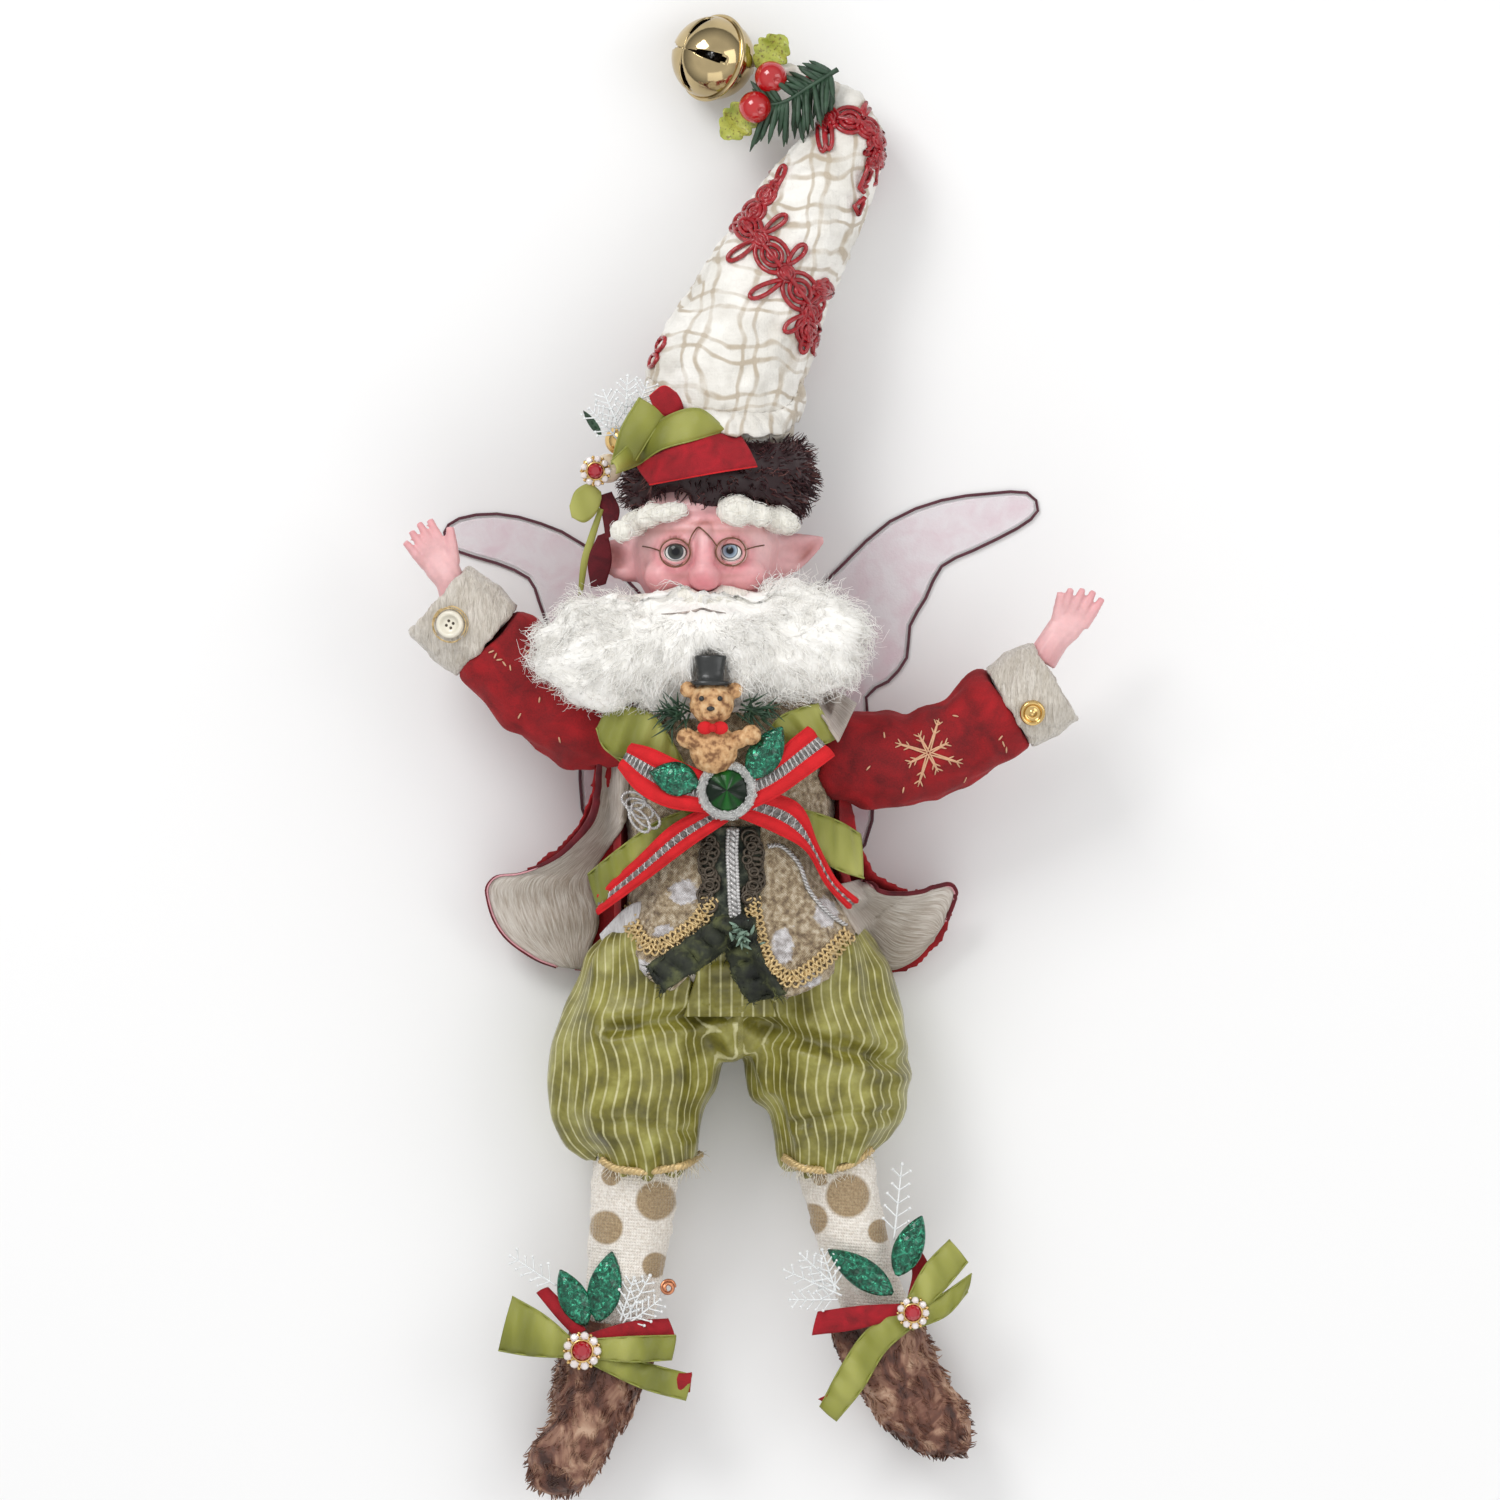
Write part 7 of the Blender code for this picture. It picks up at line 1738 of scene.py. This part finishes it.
def beard_cloud():
    """A wide cloud of combed fleece that parts under the mouth and sweeps out to both sides."""
    rng = np.random.default_rng(1)
    core = shrunk("beard_core", "beard", .0012, FINISH["fleece_core"], (.965, .92, .955), .0006)
    mouth = spot(703, 590, .040)

    def comb(points):
        far = (points - mouth) * np.array((.62, 1.0, .6))
        return np.arctan2(far[:, 0], -far[:, 1]), np.linalg.norm(far, axis=1)

    def change(points, normals):
        angle, far = comb(points)
        field = np.stack([angle * .030, far * .35, points[:, 2] * .35], 1)
        tufts = fractal(field, 300, 3) * .0012 + fractal(points, 110, 3, (4, 4, 1)) * .0020
        points = points + normals * tufts[:, None]
        upper = points[:, 2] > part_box("teddy_bear")[0].z
        points[:, 2] -= .0050 * upper * gauss(points, 712, 672, 46, 42)
        points[:, 2] -= .0038 * upper * gauss(points, 703, 599, 52, 15)
        return below_bear(points, .0008, 5.0)
    moved(core, change)
    # painted shadow: a grey-brown line laid in the crease under the moustache
    mouth_shade_path = smooth_path(draped(tree_of(core, bpy.data.objects["moustache_core"]),
                              [(662, 615), (680, 614), (694, 612), (703, 610), (712, 612), (726, 614)], .0002), 40)
    made("mouth_shade_line", *tube(mouth_shade_path, np.interp(np.linspace(0, 1, 40), (0, .6, 1), (.00010, .00038, .00010)), 8),
         FINISH["mouth_shade"], None, "white_fleece")
    angle, far = comb(vertices_of(core))
    painted(core, "across", angle * .030)
    painted(core, "along", far)
    painted(core, "share", np.zeros(len(far)))
    tree = tree_of(core)
    steps = 5
    for layer, count, longest, lift, reach in (("beard_under", 1800, .0085, .12, .0014),
                                               ("beard_over", 2000, .0085, .30, .0028),
                                               ("beard_haze", 1500, .0075, .70, .0046)):
        points, normals = rooted(core, count, rng, lambda p, n: (n[:, 2] > -.75) & (gauss(p, 703, 604, 52, 14) < .45))
        out = unit((points - mouth) * np.array((.62, 1.0, .25)))
        out = unit(out - normals * (out * normals).sum(1)[:, None] + 1e-6)
        swirl = np.stack([fractal(points, 85, 2, (k * 7.0, 3, 1)) for k in range(3)], 1)
        lean = unit(out * .8 + swirl * 1.3 + normals * lift + rng.normal(size=out.shape) * .35)
        length = longest * (.55 + .6 * rng.random(count))
        hang = np.array((0, -.06, -.10)) + rng.normal(size=out.shape) * .22
        paths = combed(points, lean, length, steps, rng, .16, hang, .0006)
        x_px = paths[:, -1, 0] / PIXEL + PHOTO_CENTRE[0]
        foot = np.interp(x_px, *BEARD_FOOT) + 5 * rng.normal(size=count)
        limit = (PHOTO_CENTRE[1] - foot) * PIXEL
        root, tip = paths[:, 0, 1], paths[:, -1, 1]
        share = np.where(tip < limit, np.clip((root - limit) / np.maximum(root - tip, 1e-6), .15, 1), 1.0)
        paths = paths[:, :1] + (paths - paths[:, :1]) * share[:, None, None]
        paths = held_in(paths, tree, reach * (.35 + .65 * np.linspace(0, 1, steps))[None, :]
                        * (.5 + .8 * rng.random((count, 1))))
        paths = below_bear(paths)
        paths[..., 2] = np.maximum(paths[..., 2], .0006)
        radii = np.linspace(.00011, .00004, steps)[None, :] * (.7 + .6 * rng.random((count, 1)))
        strands(layer, paths, radii, FINISH["fleece"], "beard", "white_fleece", rng.random(count))


# Rolls over the temples: pixel, half width and half height, and how far they lean
ROLLS = {"right": ((670, 513, 19, 10, .2), (650, 517, 17, 11, .5), (634, 525, 17, 13, .5), (622, 532, 12, 11, .9)),
         "left": ((736, 512, 20, 16, 0.0), (758, 516, 14, 12, -.3), (778, 521, 22, 14, -.35))}


def hair_rolls():
    """Smooth rolls of cream roving over each temple, with a little loose fibre."""
    rng = np.random.default_rng(3)
    for word, rolls in ROLLS.items():
        node = "hair_" + word
        under = tree_of(node, "head")
        parts = []
        for x, y, wide, high, turn in rolls:
            p = spot(x, y)
            p[2] = top(under, p[0], p[1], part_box(node)[1].z) - high * PIXEL * .55
            verts, faces = ball((0, 0, 0), 1.0, 14, 20, (wide * PIXEL, high * PIXEL, high * PIXEL))
            c, s = math.cos(turn), math.sin(turn)
            parts.append((verts @ np.array(((c, s, 0), (-s, c, 0), (0, 0, 1))) + p, faces))
        core = remeshed(node + "_rolls", node, .0007, FINISH["roving"], 7, parts)

        def change(points, normals):
            lines = fractal(points * np.array((.35, 1.7, 1.7)), 620, 3, (5, 1, 2))
            return points + normals * (lines * .00045)[:, None]
        moved(core, change)
        count = 200
        points, normals = rooted(core, count, rng, lambda p, n: n[:, 2] > -.4)
        out = np.stack([np.ones(count), .35 * rng.normal(size=count), np.zeros(count)], 1)
        out = unit(out - normals * (out * normals).sum(1)[:, None])
        paths = combed(points, out + normals * .12, .0034 * (.5 + .7 * rng.random(count)), 5, rng, .12, None, .0003)
        paths = held_in(paths, tree_of(core), .0005)
        radii = np.linspace(.00011, .00004, 5)[None, :] * (.7 + .6 * rng.random((count, 1)))
        strands(node + "_wisps", paths, radii, FINISH["cream_fleece"], node, "white_fleece", rng.random(count))


def spectacles():
    """Thin brown-gold wire: a rim round each eye, a peaked bridge and an arm to each ear."""
    tree = tree_of(bpy.data.objects["head_skin"], bpy.data.objects["glass_eye_right"],
                   bpy.data.objects["glass_eye_left"])
    a = np.linspace(0, 2 * math.pi, 48, endpoint=False)
    parts = []
    for x, y, wide, high in ((675.5, 554, 15, 14), (731, 553, 15, 14)):
        ring = draped(tree, [(x + wide * math.cos(t), y + high * math.sin(t)) for t in a], .0007)
        level = ring[:, 2].max()
        ring[:, 2] = np.maximum(ring[:, 2], level - .0012)
        parts.append(tube(ring, .00019, 7, True))
    for line, lift in (([(689, 547), (691, 539), (695, 532), (699, 528.5), (705, 533), (711, 539), (717, 547)], .0008),
                       ([(661, 552), (652, 549), (643, 547)], .0013), ([(745, 551), (754, 548), (764, 546)], .0013)):
        path = smooth_path(draped(tree, line, lift), 30)
        parts.append(tube(path, .00019, 7))
    made("spectacle_wire", *joined(parts), FINISH["spectacle"], "spectacles", "gold_wire")


# Hat braid: rosettes (x, y, radius, turn) and side loops (foot, tip, width), in pixels
ROSETTES = ((850, 119, 14, .2), (829, 116, 10, .9), (868, 127, 10, .7), (748, 227, 14, .9), (760, 240, 8, .9),
            (772, 256, 17, .9), (786, 274, 8, .9), (800, 292, 18, .95), (811, 313, 10, 1.2), (808, 331, 13, 1.5),
            (823, 290, 9, .2), (766, 195, 9, -.9), (754, 211, 11, -.9), (879, 140, 10, 1.2), (881, 157, 9, 1.4))
SIDE_LOOPS = (((862, 112), (873, 98), 9), ((827, 110), (829, 149), 10), ((819, 106), (823, 151), 10),
              ((876, 128), (885, 152), 9), ((881, 152), (878, 190), 7), ((776, 186), (784, 165), 8),
              ((765, 202), (776, 183), 9), ((744, 222), (731, 229), 8), ((764, 233), (786, 216), 11),
              ((757, 241), (728, 260), 12), ((788, 265), (805, 246), 12), ((781, 282), (750, 298), 13),
              ((806, 305), (827, 280), 10), ((806, 316), (785, 332), 12), ((812, 320), (823, 300), 9),
              ((806, 334), (803, 353), 9), ((812, 330), (815, 346), 8), ((657, 352), (664, 338), 8),
              ((650, 367), (656, 355), 8), ((873, 205), (873, 215), 6), ((796, 62), (804, 56), 7))
BACK_RUNS = (((873, 150), (858, 172), (826, 184), (790, 190), (766, 202)),
             ((806, 344), (780, 352), (740, 356), (700, 358), (668, 362)))


def hat_cord():
    """Glossy red satin cord wound in rosettes and loops up the hat."""
    tree = tree_of(bpy.data.objects["hat_cloth"])
    cord = .00062
    a = np.linspace(0, 2 * math.pi, 20, endpoint=False)
    parts = []

    def rosette(x, y, radius, turn, below=False):
        c, s = math.cos(turn), math.sin(turn)
        for size, lift in ((1.0, .9), (.60, 1.7), (.24, 2.3)):
            ring = []
            for t in a:
                u, v = 1.12 * math.cos(t) * radius * size, .92 * math.sin(t) * radius * size
                ring.append((x + c * u - s * v, y + s * u + c * v))
            parts.append(tube(draped(tree, ring, cord * lift, below), cord, 7, True))
        bar = [(x + c * radius * k, y + s * radius * k) for k in (-.9, -.4, 0, .4, .9)]
        parts.append(tube(smooth_path(draped(tree, bar, cord * 2.6, below), 14), cord, 7))

    def loop(foot, tip, width, below=False):
        f, t = np.array(foot, float), np.array(tip, float)
        along = (t - f) / np.linalg.norm(t - f)
        side = np.array((-along[1], along[0]))
        b = (1 - np.cos(a)) / 2
        ring = f + (t - f) * b[:, None] + side * (width / 2 * np.sin(a) * (.5 + .5 * b))[:, None]
        parts.append(tube(draped(tree, ring, cord * 1.3, below), cord, 7, True))
    for x, y, radius, turn in ROSETTES:
        rosette(x, y, radius, turn)
    for foot, tip, width in SIDE_LOOPS:
        loop(foot, tip, width)
    for run in BACK_RUNS:
        line = smooth_path(np.array(run, float), 9)
        way = tangents(line)
        for (x, y), (dx, dy) in zip(line[::2], way[::2]):
            rosette(x, y, 14, math.atan2(dy, dx), True)
        for (x, y), (dx, dy) in zip(line[1::2], way[1::2]):
            rosette(x, y, 6, math.atan2(dy, dx), True)
            for hand in (1, -1):
                loop((x, y), (x - dy * 26 * hand, y + dx * 26 * hand), 12, True)
    made("hat_gimp", *joined(parts), FINISH["gimp"], "hat_braid", "red_braid")


# Coat, vest and their trims

LINING_EDGES = {
    "right": ([(598, 731), (600, 745), (600, 761), (599, 778), (599, 792), (592, 820), (568, 848), (542, 865),
               (520, 873), (498, 876), (488, 885), (487, 896), (494, 920), (509, 941), (535, 959), (557, 967)],
              [(629, 748), (629, 762), (629, 778), (628, 800), (625, 822), (614, 840), (604, 854), (595, 868),
               (590, 882), (594, 898), (598, 915), (597, 930), (592, 943), (588, 955), (584, 965), (581, 971)]),
    "left": ([(862, 880), (882, 892), (900, 894), (918, 893), (946, 886), (955, 893), (952, 907), (946, 922)],
             [(828, 886), (842, 908), (856, 932), (868, 950), (880, 966), (895, 971), (916, 961), (934, 942)]),
}


def coat_cloth():
    """The velvet coat with its silky lining folded open, dark piping, sleeves and turned cuffs."""
    coat = folded("coat_velvet", "coat", FINISH["red_velvet"], .0013, .0004, 80, seed=1, relax=2)
    under = tree_of("coat", "coat_lining_right", "coat_lining_left", "vest", "torso")
    piping, line = [], []
    for word, (outer, inner) in LINING_EDGES.items():
        sheet = laid_sheet("lining_" + word, outer, inner, under, .0005, FINISH["silk_lining"],
                           "coat_lining_" + word, "coat_lining", 90, 18, .0005, .0003, .012, "folded")
        grid = vertices_of(sheet).reshape(90, 36, 3)
        edge = grid[:, 0]
        shift = unit(grid[:, 0] - grid[:, 2])
        thick = np.interp(np.linspace(0, 1, 90), (0, .12, .30, .42, .55, 1),
                          (.0004, .0008, .0011, .0007, .0003, .0005) if word == "right" else (.0006,) * 6)
        piping.append(tube(smooth_path(edge + shift * thick[:, None] * .8, 90), thick, 8))
        line.append(tube(smooth_path(edge + UP * .0002, 90), .00025, 6))
    made("coat_piping", *joined(piping), FINISH["wine_velvet"], None, "red_velvet")
    made("lining_seam", *joined(line), FINISH["pink_thread"], None, "coat_lining")
    laid_sheet("coat_collar", [(812, 696), (822, 690), (838, 692), (857, 704)],
               [(814, 708), (822, 718), (830, 730), (838, 742)],
               tree_of("coat", "sleeve_left", "vest", "chest_bow_olive"), .0009, FINISH["silk_lining"], None,
               "coat_lining", 24, 12, .0005, .0004)
    for word in ("right", "left"):
        sleeve = folded("sleeve_velvet_" + word, "sleeve_" + word, FINISH["red_velvet"], .0011, .0018,
                        75, (1.3, .8, 1.0), 3, 4)
        folded("cuff_cloth_" + word, "cuff_" + word, FINISH["cuff_cloth"], .0008, .0006, 260,
               (1, 1, 1), 4, 2)


# Silvery patches on the vest: pixel, half width and half height
PATCHES = ((684, 893, 11, 9), (612, 931, 14, 8), (783, 945, 8, 14), (826, 913, 9, 11), (808, 978, 9, 6),
           (640, 968, 9, 7), (663, 930, 7, 5))


def vest_panels():
    """The brocade vest with its gimp, twisted cord and a silver bead cord down the front."""
    thing = folded("vest_cloth", "vest", FINISH["brocade"], .0013, .0006, 140, seed=5, relax=2)
    co = vertices_of(thing)
    patch = sum(gauss(co, *row) for row in PATCHES) * (co[:, 2] > .02)
    painted(thing, "patch", np.clip(patch, 0, 1))
    base = tree_of(thing, "breeches", "torso")
    ground = laid_sheet("braid_ground", [(704, 826), (703, 860), (703, 895), (708, 925)],
                        [(760, 826), (761, 860), (760, 895), (757, 925)], base, .0006, FINISH["dark_green"],
                        "front_braid", "silver_braid", 40, 20, .0007, .0002)
    tree = tree_of(thing, "breeches", "torso", ground)
    gold = []
    for line in ([(622, 906), (632, 925), (643, 942), (660, 946), (686, 931), (702, 916), (711, 896)],
                 [(752, 897), (757, 930), (768, 962), (792, 978), (822, 960), (850, 932)]):
        gold += lace(tree, line, 17, 19, .00034, .0005, 3)
        gold += lace(tree, line, 6, 9, .00030, .0011, 2)
    made("vest_gimp", *joined(gold), FINISH["gold_thread"], None, "silver_braid")
    cord = smooth_path(draped(tree, [(768, 846), (779, 845), (790, 853), (800, 866), (808, 888), (820, 904),
                                     (834, 917), (846, 925)], .0007), 200)
    made("vest_cord", *twisted(cord, .00062, 2, .0021, 6), FINISH["silver_thread"], None, "silver_braid")
    under = tree_of(thing, "breeches", "coat", "coat_lining_right")
    near = top(under, *spot(638, 910)[:2], .03) + .0008
    far = top(under, *spot(606, 938)[:2], .03) + .0016
    ribbon("vest_corner", [(arc([(648, 899), (627, 907), (600, 934)], near, far, .0012),
                            arc([(644, 919), (630, 931), (606, 947)], near, far, .0012))],
           FINISH["silver_cloth"], None, "vest_brocade", .0005)
    dark = []
    for x, lean in ((708, -2), (752, 3)):
        dark += ringlets(tree, [(x - 3, 836), (x + 4, 850), (x + lean, 866), (x + 5, 882), (x - 3, 893), (x + 2, 906)],
                         7.4, 6.0, .00042, .0004)
        dark += ringlets(tree, [(x + 3, 840), (x - 5, 858), (x + 3, 876), (x - 4, 898)], 4.6, 7.0, .00034, .0010)
    made("braid_rings", *joined(dark), FINISH["dark_thread_and_hole_shade"], None, "silver_braid")
    spine = smooth_path(draped(tree, [(733, 828), (732, 850), (733, 875), (734, 900), (736, 922)], .0015), 170)
    bead = [twisted(spine, .0010, 2, .0030, 6)]
    for k in range(3, 168, 6):
        for way in (-1, 1):
            bead.append(ball(spine[k] + np.array((way * .0011, 0, .0002)), .00058, 6, 8))
    bead.append(ball(spine[-1] + UP * .0002, .0015, 12, 16))
    made("bead_cord", *joined(bead), FINISH["silver_thread"], None, "silver_braid")
    return tree


def flaps(tree):
    """Dark green plush flaps that part below the braid, over a little of the gathered satin."""
    cover = laid_sheet("waist_satin", [(712, 922), (704, 950), (695, 978), (684, 1016)],
                       [(757, 922), (760, 950), (766, 978), (776, 1016)], tree, .0005, FINISH["striped"], None,
                       "olive_satin", 30, 40, .0005, .0005, .0045)
    painted(cover, "round", vertices_of(cover)[:, 0] / .0027 + 40.3)
    under = tree_of(cover, bpy.data.objects["vest_cloth"], "breeches")
    pieces = [
        laid_sheet("flap_right", [(740, 912), (716, 920), (692, 936), (668, 953), (647, 966)],
                   [(756, 928), (740, 937), (720, 951), (696, 968), (664, 990)], under, .0014,
                   FINISH["flap_plush"], None, "silver_braid", 44, 14, .0018, .0009, .005),
        laid_sheet("flap_left", [(724, 920), (726, 944), (733, 974), (750, 1001)],
                   [(754, 918), (757, 942), (768, 966), (785, 992)], under, .0012,
                   FINISH["flap_plush"], None, "silver_braid", 40, 14, .0016, .0009, .005),
    ]
    rng = np.random.default_rng(15)
    for piece, way in zip(pieces, ((-.8, -.55, 0), (.35, -.9, 0))):
        count = 520
        points, normals = rooted(piece, count, rng, lambda p, n: n[:, 2] > -.2)
        lean = unit(normals * .9 + np.array(way) * .6 + rng.normal(size=points.shape) * .4)
        paths = combed(points, lean, .0030 * (.5 + .7 * rng.random(count)), 4, rng, .14, -normals * .2, .0003)
        radii = np.linspace(.00022, .00006, 4)[None, :] * (.8 + .4 * rng.random((count, 1)))
        strands(piece.name + "_pile", paths, radii, FINISH["green_pile"], None, "silver_braid", rng.random(count))
    tuft = smooth_path(draped(tree_of(*pieces), [(738, 926), (742, 934), (745, 944)], .0006), 20)
    leafage = []
    for k in range(26):
        root = tuft[int(rng.integers(0, 20))] + rng.normal(size=3) * np.array((.0012, .0012, .0002))
        out = unit(rng.normal(size=3) * np.array((1, 1, .3)) + UP * .5)
        leafage.append(tube(root + out * np.linspace(0, .0028, 4)[:, None], (.0003, .0005, .0004, .0001), 5))
    made("waist_tuft", *joined(leafage), FINISH["mint"], None, "silver_braid")


def wing_cloth():
    """Film stretched in thin dark wire."""
    for word in ("right", "left"):
        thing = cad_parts["wing_film_" + word]
        thing.data.materials.clear()
        thing.data.materials.append(FINISH["film"])
        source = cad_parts["wing_wire_" + word]
        verts = vertices_of(source) - normals_of(source) * .00026
        made("wing_edge_" + word, verts, [tuple(f.vertices) for f in source.data.polygons], FINISH["wire"],
             "wing_wire_" + word, "wing_wire")


def curl():
    """A copper curl beside the right boot's bow."""
    t = np.linspace(0, 1, 60)
    turn = t * 3.4 * math.pi
    radius = (7.5 - 4.5 * t) * PIXEL
    centre = spot(668, 1288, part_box("boot_bow_right")[0].z + .002)
    path = centre + np.stack([radius * np.cos(turn), radius * np.sin(turn), .0035 * t], 1)
    made("copper_curl", *tube(path, np.interp(t, (0, .1, .9, 1), (.0002, .0005, .0005, .0002)), 7),
         FINISH["copper"], None, "gold_bauble")


# Assembly

head()
eyes()
spectacles()
hands()
hat()
hat_cord()
hat_hem()
fur_band()
hair_rolls()
moustache()
beard_cloud()
bell()
tip_trim()
breeches()
stockings()
boots()
coat_cloth()
embroidery()
buttons()
flaps(vest_panels())
chest_bows()
chest_stone()
bear()
hat_side()
boot_trims()
curl()
wing_cloth()


# Floor, light and camera

CAMERA_HEIGHT = 4.0
FOCUS_HEIGHT = .028                # the height that is seen at its photographed size


def studio():
    """A plain pale floor, soft light from all round and a camera straight above."""
    scene = bpy.context.scene
    bpy.ops.mesh.primitive_plane_add(size=4, location=(0, 0, 0))
    floor = bpy.context.object
    floor.name = "floor"
    paper = Shade("floor_paper", (.86, .86, .86), .9)
    floor.data.materials.append(paper.material)
    world = bpy.data.worlds.new("studio")
    world.use_nodes = True
    nodes, links = world.node_tree.nodes, world.node_tree.links
    place = nodes.new("ShaderNodeTexCoord").outputs["Generated"]
    height = nodes.new("ShaderNodeSeparateXYZ")
    links.new(place, height.inputs[0])
    sky = nodes.new("ShaderNodeValToRGB")
    for element, (position, grey) in zip(sky.color_ramp.elements, ((.05, .30), (.60, 1.0))):
        element.position = position
        element.color = (grey, grey, grey, 1)
    links.new(height.outputs["Z"], sky.inputs["Fac"])
    links.new(sky.outputs["Color"], nodes["Background"].inputs["Color"])
    nodes["Background"].inputs["Strength"].default_value = .84
    scene.world = world
    scene.view_settings.view_transform = "Standard"
    for name, place, size, power in (("key", (-.55, .75, .85), .5, 6), ("fill", (.9, .2, .8), .7, 2.5),
                                     ("low", (.1, -.9, .6), .8, 1.5)):
        light = bpy.data.lights.new(name, "AREA")
        light.size = size
        light.energy = power
        lamp = bpy.data.objects.new(name, light)
        lamp.location = place
        lamp.rotation_euler = (-Vector(place)).to_track_quat("-Z", "Y").to_euler()
        scene.collection.objects.link(lamp)
    camera = bpy.data.cameras.new("camera")
    camera.sensor_width = 36
    camera.lens = 18 * (CAMERA_HEIGHT - FOCUS_HEIGHT) / (750 * PIXEL)
    camera.clip_start, camera.clip_end = .1, 20
    eye = bpy.data.objects.new("camera", camera)
    eye.location = (*spot(750, 750)[:2], CAMERA_HEIGHT)
    scene.collection.objects.link(eye)
    scene.camera = eye


studio()
